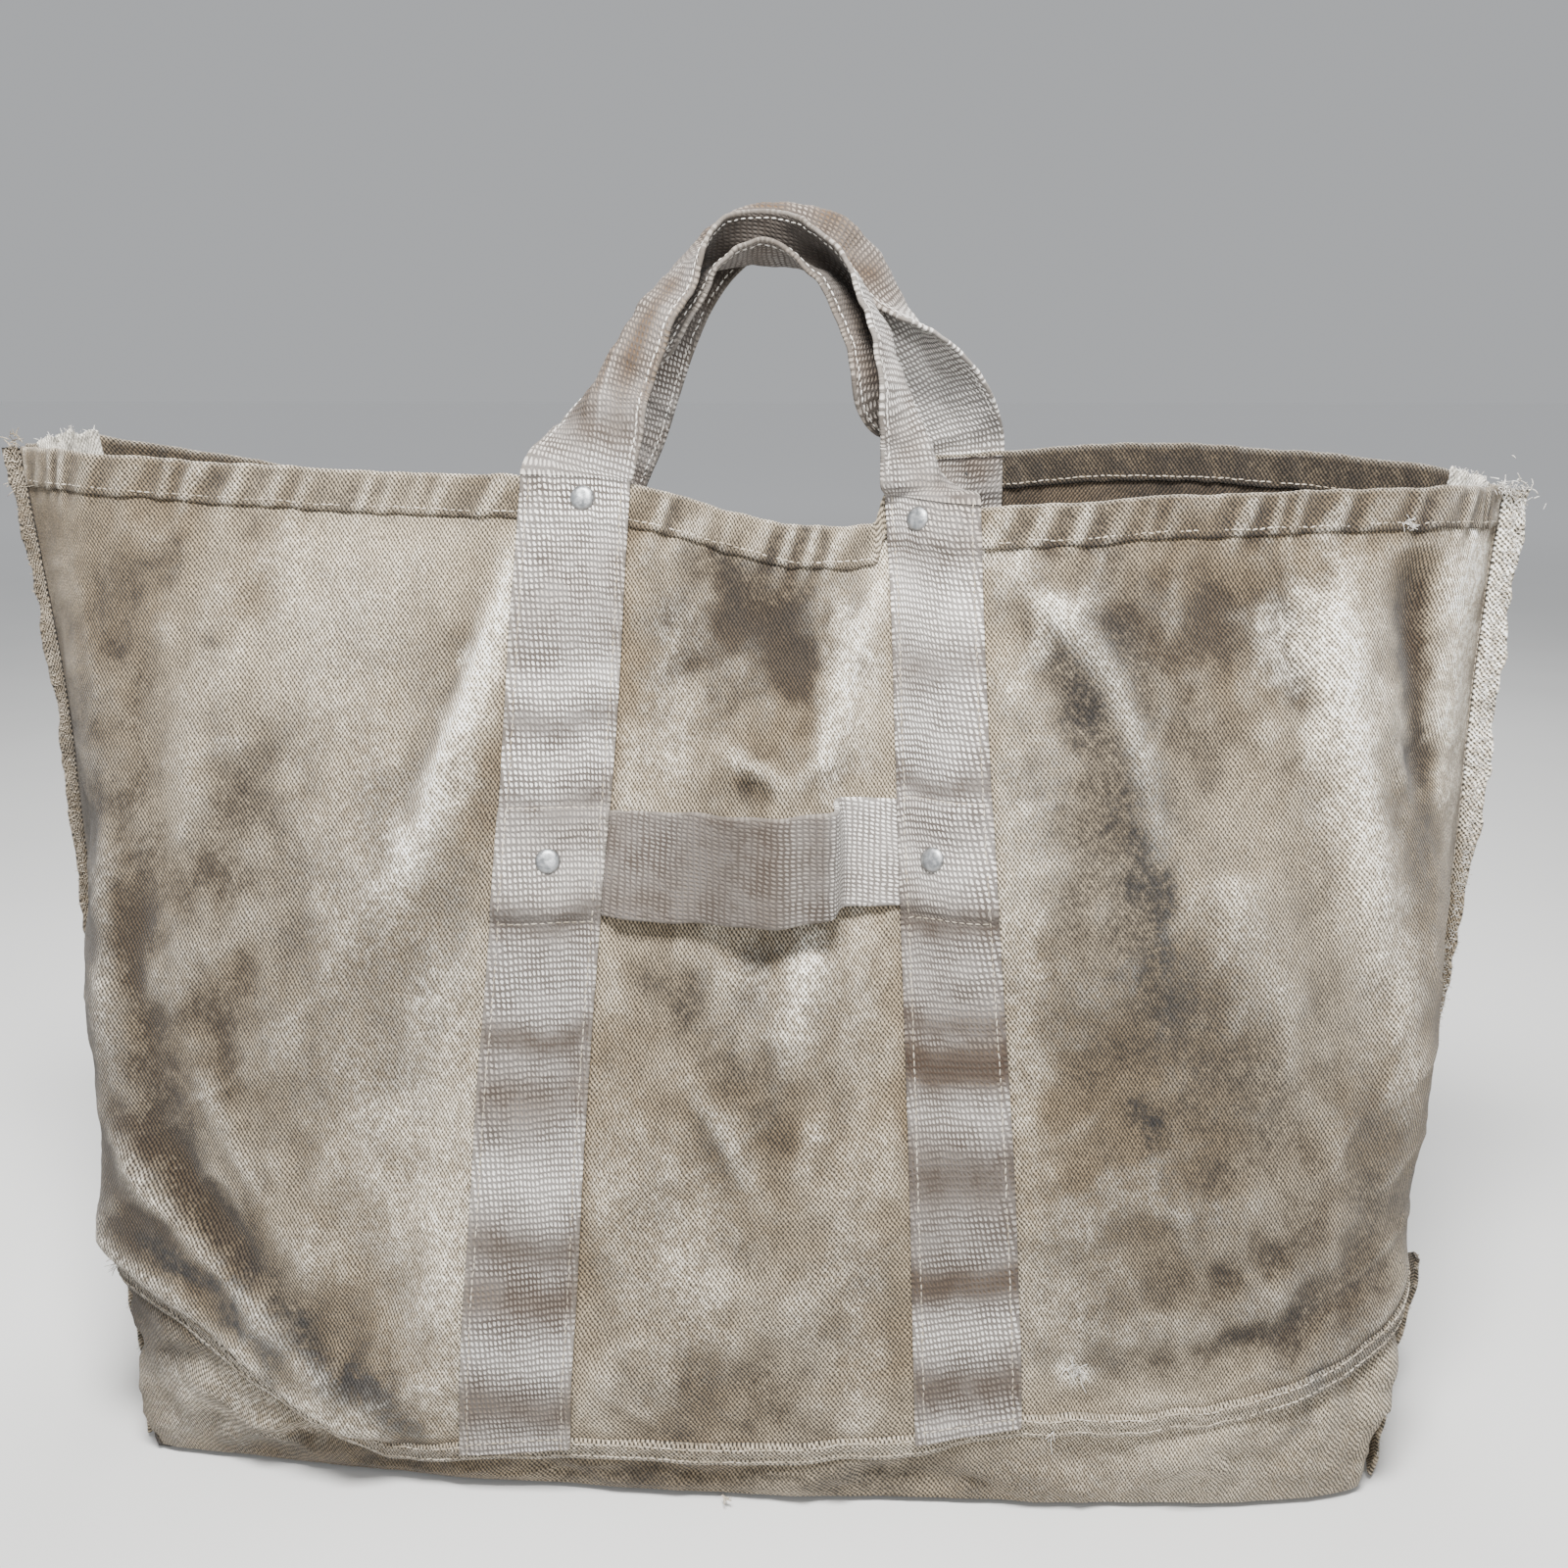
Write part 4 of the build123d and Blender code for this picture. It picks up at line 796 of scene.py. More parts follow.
def webbing(name, inner=False):
    g = G(name)
    wv = g.attr("wv", False)
    ob = g.scale(g.obj(), (1000.0, 1000.0, 1000.0))
    s = g.sep(wv)
    wob = g.math("SUBTRACT", g.noise(wv, 0.13, 2.0), 0.5)
    wob2 = g.math("SUBTRACT", g.noise(wv, 0.55, 1.0), 0.5)
    x = g.math("ADD", s[0], g.math("MULTIPLY", wob2, 0.8))
    y = g.math("ADD", s[1], g.math("MULTIPLY", wob, 2.6))
    yr = g.math("DIVIDE", y, 2.95)
    row = g.math("FLOOR", yr)
    fy = g.math("SUBTRACT", g.math("SUBTRACT", yr, row), 0.5)
    xr = g.math("ADD", g.math("DIVIDE", x, 1.98), g.math("ADD", g.math("MULTIPLY", fy, 0.46), g.math("MULTIPLY", row, 0.17)))
    fx = g.math("SUBTRACT", g.math("FRACT", xr), 0.5)
    # a tick: a short float, long in the yarn's way
    ex = g.math("POWER", g.math("ABSOLUTE", g.math("MULTIPLY", fx, 2.0)), 2.0)
    ey = g.math("POWER", g.math("ABSOLUTE", g.math("MULTIPLY", fy, 2.0)), 2.2)
    tick = g.math("SUBTRACT", 1.0, g.math("ADD", g.math("MULTIPLY", ex, 1.7), g.math("MULTIPLY", ey, 1.35)), clamp=True)
    n_big = g.noise(ob, 0.016, 4.0, 0.6, 0.3)
    n_blot = g.noise(ob, 0.06, 5.0, 0.65, 0.3)
    n_fine = g.noise(ob, 0.5, 2.0, 0.6)
    soil_and_shade, smudge_and_shade, wear_and_highlight = g.attr("soil_and_shade"), g.attr("smudge_and_shade"), g.attr("wear_and_highlight")
    light = g.mix(g.ramp(n_big, 0.38, 0.64), (0.62, 0.58, 0.54), (1.0, 0.99, 0.97))
    gap = g.mix(g.ramp(n_blot, 0.35, 0.65), (0.130, 0.115, 0.104), (0.270, 0.256, 0.246))
    gap = g.mix(g.ramp(g.math("ABSOLUTE", fy), 0.38, 0.48, 0.0, 0.40), gap, (0.115, 0.102, 0.093))
    # painted shade: the webbing inside the bag is drawn darker and browner than the outer webbing
    if inner:
        light = g.mix(0.35, light, (0.32, 0.27, 0.22))
    light = g.mix(g.math("MULTIPLY", g.ramp(n_blot, 0.45, 0.72), 0.30), light, (0.27, 0.24, 0.22))
    # soil, smudge and wear carry real dirt and wear, and on the tool loop and the back handle's right foot also painted
    # shade and painted highlight
    light = g.mix(g.math("MULTIPLY", soil_and_shade, 0.95, clamp=True), light, (0.19, 0.13, 0.08))
    light = g.mix(g.math("MULTIPLY", smudge_and_shade, 0.95, clamp=True), light, (0.10, 0.09, 0.082))
    light = g.mix(g.math("MULTIPLY", wear_and_highlight, 0.8, clamp=True), light, (0.90, 0.88, 0.85))
    gap = g.mix(g.math("MULTIPLY", soil_and_shade, 0.6, clamp=True), gap, (0.085, 0.058, 0.04))
    gap = g.mix(g.math("MULTIPLY", wear_and_highlight, 0.5, clamp=True), gap, (0.42, 0.40, 0.38))
    f = g.ramp(g.math("ADD", tick, g.math("MULTIPLY", g.math("SUBTRACT", n_fine, 0.5), 0.35)), 0.18, 0.62)
    col = g.mix(f, gap, light)
    # shade inside the folded grip
    sd = g.math("MULTIPLY", g.attr("deep"), g.ramp(g.attr("side"), -0.9, 0.3, 1.0, 0.0))
    col = g.mix(g.math("MULTIPLY", sd, 0.72, clamp=True), col, (0.075, 0.062, 0.052))
    # bound selvedges, a touch paler
    ed = g.ramp(g.math("ABSOLUTE", s[0]), 23.7, 24.4, 0.0, 0.18)
    col = g.mix(ed, col, (0.42, 0.39, 0.345))
    col = g.gamma(col, 1.32, 1.06)
    h = g.math("ADD", tick, g.math("MULTIPLY", n_fine, 0.15))
    nb = g.bump(g.noise(ob, 0.12, 3.0, 0.6), 0.0006, 0.5)
    nb = g.bump(h, 0.00065, 0.8, nb)
    return g.done(col, 0.86, nb, spec=0.2, sheen=0.08)


def yarn(name, c1, c2, scale=0.9):
    g = G(name)
    ob = g.scale(g.obj(), (1000.0, 1000.0, 1000.0))
    n = g.noise(ob, 0.06, 3.0)
    n2 = g.noise(ob, 1.6, 2.0)
    col = g.mix(g.ramp(n, 0.35, 0.65), c1, c2)
    col = g.mix(g.ramp(n2, 0.35, 0.75, 0.0, 0.5), col, tuple(v * 0.6 for v in c1))
    return g.done(col, 0.9, g.bump(n2, 0.0002, 0.6), spec=0.15)


def zinc(name):
    g = G(name)
    ob = g.scale(g.obj(), (1000.0, 1000.0, 1000.0))
    n = g.noise(ob, 0.55, 4.0, 0.6)
    n2 = g.noise(ob, 2.5, 3.0, 0.6)
    ao = g.attr("deep")
    col = g.mix(g.ramp(n, 0.35, 0.7), (0.26, 0.27, 0.28), (0.44, 0.45, 0.46))
    col = g.mix(g.ramp(n2, 0.52, 0.78, 0.0, 0.6), col, (0.13, 0.125, 0.12))
    col = g.mix(g.math("MULTIPLY", ao, 0.8), col, (0.10, 0.085, 0.07))
    r = g.ramp(n, 0.3, 0.7, 0.34, 0.52)
    return g.done(col, r, g.bump(n2, 0.00008, 0.5), metallic=0.85, spec=0.5)


M_CANVAS = canvas("canvas_outer")
M_CANVAS_IN_SHADED = canvas("canvas_inner_shaded", inner=True)
M_HEM = canvas("canvas_hem", weave=1.1)
M_TAPE = canvas("white_tape", weave=0.6, white=True)
M_WEB = webbing("webbing_outer")
M_WEB_IN_SHADED = webbing("webbing_inner_shaded", inner=True)
M_STITCH = yarn("stitch_thread", (0.30, 0.255, 0.195), (0.50, 0.45, 0.38))
M_WHITE = yarn("white_thread", (0.55, 0.52, 0.47), (0.80, 0.78, 0.74))
M_FRAY = yarn("frayed_yarn", (0.26, 0.215, 0.16), (0.48, 0.42, 0.34))
M_ZINC = zinc("zinc")

# ---------------------------------------------------------- stains, painted shade and painted highlights
# (x, z, half width, half height, turn in degrees, strength)
# stains, with painted shade in the hollow beside the right end (x 312 to 320, z 340 to 400)
SOIL_AND_SHADE = [
    (-285, 250, 62, 130, 0, 0.50), (-225, 215, 56, 90, 0, 0.40), (200, 240, 66, 80, 0, 0.45), (268, 150, 40, 70, 0, 0.30), (0, 300, 60, 90, 0, 0.12), (-300, 60, 60, 60, 0, 0.45), (0, 412, 40, 26, 0, 0.30), (-150, 265, 26, 60, -18, 0.30), (-18, 398, 30, 34, 0, 0.55), (24, 392, 18, 34, 0, 0.35), (196, 408, 60, 40, 0, 0.30), (140, 250, 30, 50, 0, 0.28), (0, 235, 44, 40, 0, 0.28),
    (-330, 330, 26, 150, 0, 0.55), (-322, 200, 34, 110, 0, 0.50), (-300, 120, 46, 40, 20, 0.55), (-256, 393, 9, 5, -20, 0.8),
    (-289, 431, 13, 7, 10, 0.75), (-299, 415, 8, 7, 0, 0.6), (-309, 394, 8, 9, 0, 0.6), (-243, 448, 5, 4, 0, 0.7),
    (-240, 330, 22, 60, -12, 0.28), (-205, 290, 28, 50, 10, 0.25), (-180, 400, 30, 30, 0, 0.2), (-120, 340, 20, 60, -15, 0.2),
    (-262, 150, 46, 30, -40, 0.25), (-200, 90, 44, 22, -38, 0.38), (-180, 52, 40, 16, -15, 0.5), (-260, 60, 40, 34, 0, 0.30),
    (-20, 410, 34, 40, 0, 0.5), (20, 385, 22, 40, 0, 0.42), (-10, 330, 30, 18, 0, 0.3), (-36, 250, 24, 22, 0, 0.3),
    (0, 190, 34, 34, 0, 0.38), (-20, 90, 40, 40, 0, 0.42), (40, 110, 28, 46, 0, 0.35), (-40, 56, 30, 20, 0, 0.4), (20, 50, 46, 14, 0, 0.42),
    (150, 420, 40, 26, -30, 0.42), (200, 400, 50, 44, 0, 0.48), (176, 350, 40, 40, 0, 0.3), (240, 420, 18, 40, 0, 0.45),
    (312, 400, 14, 60, 0, 0.65), (320, 340, 10, 30, 0, 0.5), (200, 130, 60, 34, 10, 0.5), (170, 90, 40, 22, 0, 0.55), (250, 110, 50, 30, 15, 0.42),
    (290, 90, 34, 26, 0, 0.5), (230, 30, 70, 22, 0, 0.15), (120, 30, 40, 16, 0, 0.4), (300, 200, 20, 60, 0, 0.25),
    (-100, 20, 60, 10, 0, 0.35), (0, 14, 80, 9, 0, 0.35), (-230, 18, 60, 12, -5, 0.4),
]
# grime, with a painted shadow line under the left corner's overhang (x -280 to -164, z 118 to 36) and painted shade in
# the hollow beside the left ridge (x -172 to -140)
SMUDGE_AND_SHADE = [
    (-280, 118, 12, 4, -12, 0.8), (-262, 110, 14, 4, -24, 0.9), (-246, 98, 14, 5, -38, 0.95), (-228, 82, 14, 5, -38, 0.95), (-200, 69, 18, 5, -18, 0.9), (-180, 56, 12, 6, -40, 0.8),
    (150, 400, 12, 20, -35, 0.75), (158, 372, 14, 28, -28, 0.85), (174, 340, 12, 26, -18, 0.8), (184, 300, 12, 34, -10, 0.85),
    (190, 262, 10, 26, -6, 0.6), (120, 425, 16, 8, -40, 0.5), (200, 230, 24, 40, 0, 0.42), (150, 300, 24, 50, 10, 0.42), (130, 340, 14, 40, 0, 0.4),
    (188, 190, 9, 12, 0, 0.8), (180, 170, 22, 26, 0, 0.4), (215, 160, 20, 16, 20, 0.4), (240, 240, 30, 60, 15, 0.28), (296, 160, 16, 50, 0, 0.4),
    (270, 70, 16, 12, 30, 0.5), (262, 58, 4, 12, -30, 0.95), (250, 96, 14, 8, 20, 0.5), (300, 300, 12, 50, 0, 0.35),
    (-10, 425, 14, 14, 10, 0.55), (30, 420, 12, 22, 0, 0.45), (10, 400, 20, 16, 0, 0.4), (-34, 245, 16, 10, 20, 0.5), (-14, 225, 18, 14, -20, 0.42), (14, 205, 10, 16, 0, 0.45),
    (-12, 178, 8, 22, 25, 0.4), (30, 260, 8, 22, 0, 0.35), (-160, 300, 16, 26, -25, 0.55), (-140, 262, 12, 20, -10, 0.5), (-172, 330, 10, 26, -20, 0.5),
    (-150, 235, 12, 14, 0, 0.4), (-160, 200, 22, 20, 0, 0.35), (-200, 215, 22, 30, 20, 0.28), (-245, 340, 12, 16, 0, 0.35), (-180, 250, 40, 26, 0, 0.22),
    (-205, 80, 30, 10, -38, 0.65), (-180, 58, 24, 8, -35, 0.8), (-164, 36, 16, 8, -30, 0.85), (-230, 104, 26, 8, -42, 0.6), (-252, 70, 16, 12, 0, 0.3),
    (-225, 48, 14, 10, 0, 0.4), (-150, 100, 24, 20, 0, 0.3), (150, 235, 20, 30, 0, 0.3), (150, 150, 16, 20, 0, 0.35), (316, 280, 8, 60, 0, 0.4),
    (-60, 12, 40, 8, 0, 0.4), (60, 18, 60, 8, 0, 0.4), (160, 14, 60, 9, 0, 0.3), (250, 16, 50, 9, 0, 0.25), (-240, 14, 50, 9, 0, 0.45), (-160, 16, 30, 8, 0, 0.4),
    (20, 440, 30, 8, 0, 0.2), (230, 200, 20, 20, 0, 0.3),
]
# worn patches, with painted highlights along the crests of the folds, beside the left strap and at the right end
WEAR_AND_HIGHLIGHT = [
    (-138, 225, 22, 70, -6, 0.34), (-126, 120, 16, 60, 0, 0.30), (-190, 290, 26, 50, -10, 0.22), (-60, 160, 16, 60, 0, 0.25), (50, 120, 14, 70, 0, 0.30), (-20, 130, 24, 30, 0, 0.22),
    (-115, 420, 7, 34, -14, 0.9), (-134, 366, 7, 34, -18, 0.8), (-152, 315, 9, 34, -25, 0.7), (-200, 420, 50, 40, 0, 0.25), (-190, 350, 40, 60, 0, 0.22),
    (-170, 170, 40, 60, 0, 0.3), (-140, 120, 24, 40, 0, 0.4), (-140, 60, 22, 20, 0, 0.4), (62, 430, 10, 30, 0, 0.6), (48, 385, 8, 34, 10, 0.75), (38, 345, 8, 20, 0, 0.7),
    (-36, 350, 18, 30, 0, 0.4), (-40, 400, 10, 30, 0, 0.3), (28, 270, 8, 30, 0, 0.6), (0, 255, 16, 26, 0, 0.4), (-30, 120, 20, 50, 0, 0.3), (50, 250, 12, 50, 0, 0.4),
    (118, 436, 12, 12, -40, 0.7), (140, 408, 7, 24, -40, 0.8), (272, 400, 14, 40, 0, 0.75), (276, 350, 16, 40, 0, 0.62), (288, 290, 16, 50, 0, 0.35), (244, 398, 12, 14, 0, 0.7),
    (300, 240, 14, 50, 0, 0.25), (230, 300, 30, 50, 0, 0.12), (200, 280, 20, 50, 0, 0.05), (120, 300, 14, 70, 0, 0.35), (340, 380, 10, 80, 0, 0.8), (344, 440, 10, 30, 0, 0.8),
    (153, 76, 7, 7, 0, 0.9), (140, 110, 30, 30, 0, 0.35), (120, 200, 14, 60, 0, 0.3), (-230, 36, 34, 20, 0, 0.4), (-275, 40, 30, 30, 0, 0.35),
]


def blobs(X, Z, table):
    out = np.zeros(X.shape)
    wx = 5.0 * N_SMALL(X + 77, Z) + 2.0 * N_FINE(X, Z + 31)
    wz = 5.0 * N_SMALL(X, Z + 177) + 2.0 * N_FINE(X + 55, Z)
    for x, z, a, b, t, s in table:
        a, b = a * 1.08, b * 1.08
        c, n = math.cos(math.radians(t)), math.sin(math.radians(t))
        dx, dz = X + wx * min(a / 14, 1) - x, Z + wz * min(b / 14, 1) - z
        e, f = (dx * c + dz * n) / a, (-dx * n + dz * c) / b
        out = out + s * np.exp(-(e * e + f * f) * 1.1)
    return out


def stains(X, Z, back, inside=False):
    if inside:
        v = 0.5 + 0.3 * np.clip(N_MID(X, Z), -1, 1)
        return v, 0.25 + 0.2 * np.clip(N_BIG(X, Z), -1, 1), np.zeros(X.shape)
    if back:
        X = -X * 0.93 + 24
        Z = Z * 1.04 - 12
        so, sm, we = blobs(X, Z, SOIL_AND_SHADE), blobs(X, Z, SMUDGE_AND_SHADE), blobs(X, Z, WEAR_AND_HIGHLIGHT)
        return 0.55 * so + 0.08, 0.5 * sm + 0.05, 0.5 * we
    return blobs(X, Z, SOIL_AND_SHADE), blobs(X, Z, SMUDGE_AND_SHADE), blobs(X, Z, WEAR_AND_HIGHLIGHT)


def uspace(lo, hi, back, step):
    """Columns spaced evenly along the cloth, with the strap edges among them."""
    us, s = ARC[back]
    m = (us >= lo) & (us <= hi)
    s0, s1 = np.interp(lo, us, s), np.interp(hi, us, s)
    n = max(3, int(round((s1 - s0) / step)) + 1)
    u = np.interp(np.linspace(s0, s1, n), s, us)
    u[0], u[-1] = lo, hi
    return u


STEP = 2.8
CLOTH_T = 1.4

def blur(A, wide):
    """Mean of the cloth over about wide mm each way, twice over."""
    k = max(1, int(round(wide / STEP / 2)))
    for _ in range(2):
        for ax in (0, 1):
            pad = [(0, 0), (0, 0)]
            pad[ax] = (k + 1, k)
            c = np.cumsum(np.pad(A, pad, mode="edge"), axis=ax)
            n = A.shape[ax]
            hi = np.take(c, np.arange(2 * k + 1, 2 * k + 1 + n), axis=ax)
            lo = np.take(c, np.arange(0, n), axis=ax)
            A = (hi - lo) / (2 * k + 1)
    return A


# -------------------------------------------------------------------- panels
PIECES = {}


def panel(name, back):
    U = uspace(11.004 if back else 0.004, 20.996 if back else 10.996, back, STEP)
    nv = int(450 / STEP)
    t = np.linspace(0, 1, nv)
    t = t * 0.9 + 0.1 * t**2 * (3 - 2 * t)
    zr, zs = rim(U, back) - 1.2, seam(U) - 3.5
    Z = zs[:, None] + (zr - zs)[:, None] * t[None, :]
    UU = np.repeat(U[:, None], nv, 1)
    A, n = place(UU, Z, 0.0, back)
    n = normals_of(A)
    B = A - n * CLOTH_T
    so, sm, we = stains(A[..., 0], Z, back)
    so2, sm2, we2 = stains(A[..., 0], Z, back, True)
    x0, _ = base_xy(UU, Z, back)
    D = relief(UU, x0, Z, back)
    # painted shade and highlight: the cloth is drawn darker (soil) where it lies below its blurred mean, in the folds'
    # hollows, and paler (wear) where it stands above it, on the ridges
    for wide, amt, ks, kw in ((9.0, 0.8, 0.10, 0.07), (28.0, 2.8, 0.40, 0.34)):
        c = (blur(D, wide) - D) / amt
        so = so + ks * np.clip(c, 0, 1.2)
        we = we + kw * np.clip(-c, 0, 1.2)
    g = Z - seam(U)[:, None]
    h = rim(U, back)[:, None] - Z
    # painted shadow just under the hem's lower edge, dirt in the seam, and darker towards the panel's side edges
    so = so + 0.25 * np.exp(-((h - 21) / 4.0) ** 2) + 0.3 * np.exp(-(g / 7.0) ** 2)
    sides = np.minimum(UU - (11 if back else 0), (21 if back else 11) - UU)
    so = so + 0.32 * np.exp(-(sides / 0.60) ** 2)
    cv = np.stack([np.repeat(arc(U, back)[:, None], nv, 1), Z, np.zeros_like(Z)], -1)
    at = {"cv": (cv, cv + 3.3), "soil_and_shade": (so, so2), "smudge_and_shade": (sm, sm2), "wear_and_highlight": (we, we2)}
    o = shell(name, A, B, [M_CANVAS, M_CANVAS_IN_SHADED], at)
    return o


front = panel("front_panel_cloth", False)
backp = panel("back_panel_cloth", True)
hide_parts("front_panel")
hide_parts("back_panel")
PIECES["front"], PIECES["back"] = front, backp


# ----------------------------------------------------------- bottom piece
def bottom():
    step = STEP * 1.15
    uf = uspace(0, 11, False, step)[:-1]
    ub = uspace(11, 21, True, step)[:-1]
    nw = int(70 / step)
    rows = [i / nw for i in range(nw + 1)]
    rings = []
    cvs = []
    for k, r in enumerate(rows):
        pts = []
        for us, back in ((uf, False), (ub, True)):
            zt = seam(us) + 2.0
            z = zt * (1 - r) + 3.0 * r
            x, y = base_xy(us, z, back)
            xa, ya = base_xy(us + 0.02, z, back)
            xb, yb = base_xy(us - 0.02, z, back)
            t = np.stack([xa - xb, ya - yb], -1)
            t /= np.linalg.norm(t, axis=1, keepdims=True)
            nx, ny = t[:, 1], -t[:, 0]
            hfree = np.minimum(zt - z, z)
            w = np.clip(hfree / 14.0, 0, 1)
            D = w * (1.5 * N_MID(x + 90, z * 1.4 + (300 if back else 0)) + 0.6 * N_SMALL(x, z * 1.5))
            r1 = 1 - np.abs(N_R2(x + 20, z * 1.6 + 40))
            D = D + w * 1.6 * np.clip(r1, -1, 1) ** 3
            if not back:   # creases that fan out from the left corner
                for p in (([(-292, 20), (-262, 44), (-236, 74)], 3.0, 6, 8, 0.3, 1.6),
                          ([(-286, 64), (-262, 60), (-236, 52)], -2.6, 7, 7, 0.3, 1.6),
                          ([(-250, 18), (-228, 34), (-206, 44)], 2.4, 6, 7, 0.3, 1.6),
                          ([(262, 24), (270, 46), (276, 74)], 2.6, 6, 7, 0.3, 1.6),
                          ([(290, 20), (284, 50), (286, 84)], -2.6, 7, 7, 0.3, 1.6),
                          ([(180, 14), (200, 30), (222, 36)], 2.0, 7, 7, 0.3, 1.6)):
                    D = D + w * fold(x, z, p[0], *p[1:])
            d = -1.8 - 2.2 * sstep(0.82, 1.0, r) + D
            d = np.where(hfree < 3, np.minimum(d, -1.6), d)
            pts.append(np.stack([x + nx * d, y + ny * d, z], -1))
            if k == 0:
                cvs.append(arc(us, back) + (760 if back else 0))
        rings.append(np.concatenate(pts))
    wall = np.stack(rings, 1)                        # (n, rows, 3)
    n = len(wall)
    cv = np.concatenate(cvs)
    # the base: rings shrinking to a line
    last = wall[:, -1]
    core = np.stack([last[:, 0] * 0.55, -4.0 + (last[:, 1] + 4.0) * 0.03, np.zeros(n)], -1)
    bs = []
    nb = 26
    for k in range(1, nb + 1):
        f = k / nb
        f2 = 1 - (1 - f) ** 1.0
        p = last * (1 - f2) + core * f2
        e = np.linalg.norm(p[:, :2] - last[:, :2], axis=1)
        z = 3.0 * np.exp(-(e / 2.2) ** 1.2) + 0.02
        up = 1.2 * np.clip(N_SMALL(p[:, 0], p[:, 1] + 90) - 0.4, 0, 1.6) * sstep(4, 26, e)
        p[:, 2] = z + up
        bs.append(p)
    out = np.concatenate([wall, np.stack(bs, 1)], 1)
    nr = out.shape[1]
    tu = np.roll(out, -1, 0) - np.roll(out, 1, 0)
    tv = np.gradient(out, axis=1)
    nn = np.cross(tu, tv)
    nn[:, -1] = (0, 0, -1)
    nn /= np.maximum(np.linalg.norm(nn, axis=-1, keepdims=True), 1e-9)
    # outwards means away from the middle of the bag
    mid = np.array([0, 0, 90.0])
    sgn = np.sign(((out[:, : len(rows) - 3] - mid) * nn[:, : len(rows) - 3]).sum())
    nn *= sgn
    inn = out - nn * 1.5
    V = np.concatenate([out.reshape(-1, 3), inn.reshape(-1, 3)])
    N0 = n * nr
    f = grid_faces(n, nr, 0, sgn < 0, True)
    k = [0] * len(f)
    gf = grid_faces(n, nr, N0, sgn > 0, True)
    f += gf
    k += [1] * len(gf)
    # the last narrow ring, out and in
    half = n // 2
    for off in (0, N0):
        ring = [i * nr + nr - 1 + off for i in range(n)]
        f.append(tuple(ring) if (sgn < 0) == (off == 0) else tuple(ring[::-1]))
        k.append(0 if off == 0 else 1)
    for i in range(n):
        j = (i + 1) % n
        q = (i * nr, j * nr, j * nr + N0, i * nr + N0)
        f.append(q if sgn < 0 else q[::-1])
        k.append(0)
    X, Z = out[..., 0], out[..., 2]
    isb = out[..., 1] > 0
    so = np.where(isb, stains(X, Z, True)[0], stains(X, Z, False)[0]) + 0.16
    sm = np.where(isb, stains(X, Z, True)[1], stains(X, Z, False)[1]) + 0.10 * np.exp(-(Z / 12.0) ** 2)
    we = np.where(isb, stains(X, Z, True)[2], stains(X, Z, False)[2])
    pale = sstep(60, 160, X) * (~isb)
    so, sm, we = so * (1 - 0.55 * pale), sm * (1 - 0.3 * pale), we + 0.22 * pale
    so[:, len(rows):] = 0.7
    sm[:, len(rows):] = 0.4
    run = np.cumsum(np.concatenate([np.zeros((n, 1)), np.linalg.norm(np.diff(out, axis=1), axis=-1)], 1), 1)
    cvv = np.stack([np.repeat(cv[:, None], nr, 1), -run, np.zeros((n, nr))], -1)
    # the base is woven in its own plane
    cvv[:, len(rows):, 0] = out[:, len(rows):, 0]
    cvv[:, len(rows):, 1] = out[:, len(rows):, 1]
    si = np.full((n, nr), 0.75)
    at = {"cv": np.concatenate([cvv.reshape(-1, 3)] * 2), "soil_and_shade": np.concatenate([so.ravel(), si.ravel()]),
          "smudge_and_shade": np.concatenate([sm.ravel(), 0.6 * si.ravel()]), "wear_and_highlight": np.concatenate([we.ravel(), 0 * si.ravel()])}
    o = make("bottom_cloth", V, f, [M_CANVAS, M_CANVAS_IN_SHADED], at, k)
    import bmesh
    bm = bmesh.new()
    bm.from_mesh(o.data)
    bmesh.ops.remove_doubles(bm, verts=bm.verts, dist=0.00002)
    bmesh.ops.triangulate(bm, faces=[q for q in bm.faces if len(q.verts) > 4])
    bmesh.ops.recalc_face_normals(bm, faces=bm.faces)
    print("bottom open edges", sum(1 for e in bm.edges if len(e.link_faces) != 2))
    bm.to_mesh(o.data)
    bm.free()
    return o


bot = bottom()
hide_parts("bottom_panel", "bottom_front_wall", "bottom_back_wall", "bottom_left_end", "bottom_right_end")
PIECES["bottom"] = bot


# -------------------------------------------------- lap seams over the bottom
def lap(name, u0, u1, back):
    """The raised double-stitched lap along the bottom seam."""
    U = uspace(u0, u1, back, 2.0)
    s = arc(U, back)
    wob = 0.8 * N_LINE(s * 0.5 + 50)
    sec = [(-1.2, -6.2), (0.9, -5.6), (1.5, -3.4), (1.15, -1.6), (1.9, 0.6), (2.5, 2.4), (1.9, 4.6), (0.5, 5.6), (-1.4, 5.4), (-2.2, 0.0)]
    P = []
    for d, h in sec:
        thick = 1.0 + 0.16 * N_LINE(s * 1.2 + 9 * h)
        p, _ = place(U, seam(U) + h + wob, 0.0, back, calm=0.0)
        q, n = place(U, seam(U) + h + wob, d * thick, back, calm=0.25)
        P.append(q)
    P = np.stack(P, 1)
    m, k = P.shape[:2]
    f = []
    for i in range(m - 1):
        for j in range(k):
            j2 = (j + 1) % k
            f.append((i * k + j, (i + 1) * k + j, (i + 1) * k + j2, i * k + j2))
    f.append(tuple(range(k)))
    f.append(tuple((m - 1) * k + j for j in range(k - 1, -1, -1)))
    X, Z = P[..., 0], P[..., 2]
    so, sm, we = stains(X, Z, back)
    cv = np.stack([np.repeat(s[:, None], k, 1), Z, 0 * Z], -1)
    o = make(name, P.reshape(-1, 3), f, [M_HEM], {"cv": cv.reshape(-1, 3), "soil_and_shade": (so + 0.25).ravel(), "smudge_and_shade": (0.8 * sm).ravel(), "wear_and_highlight": (we + 0.25).ravel()})
    return o


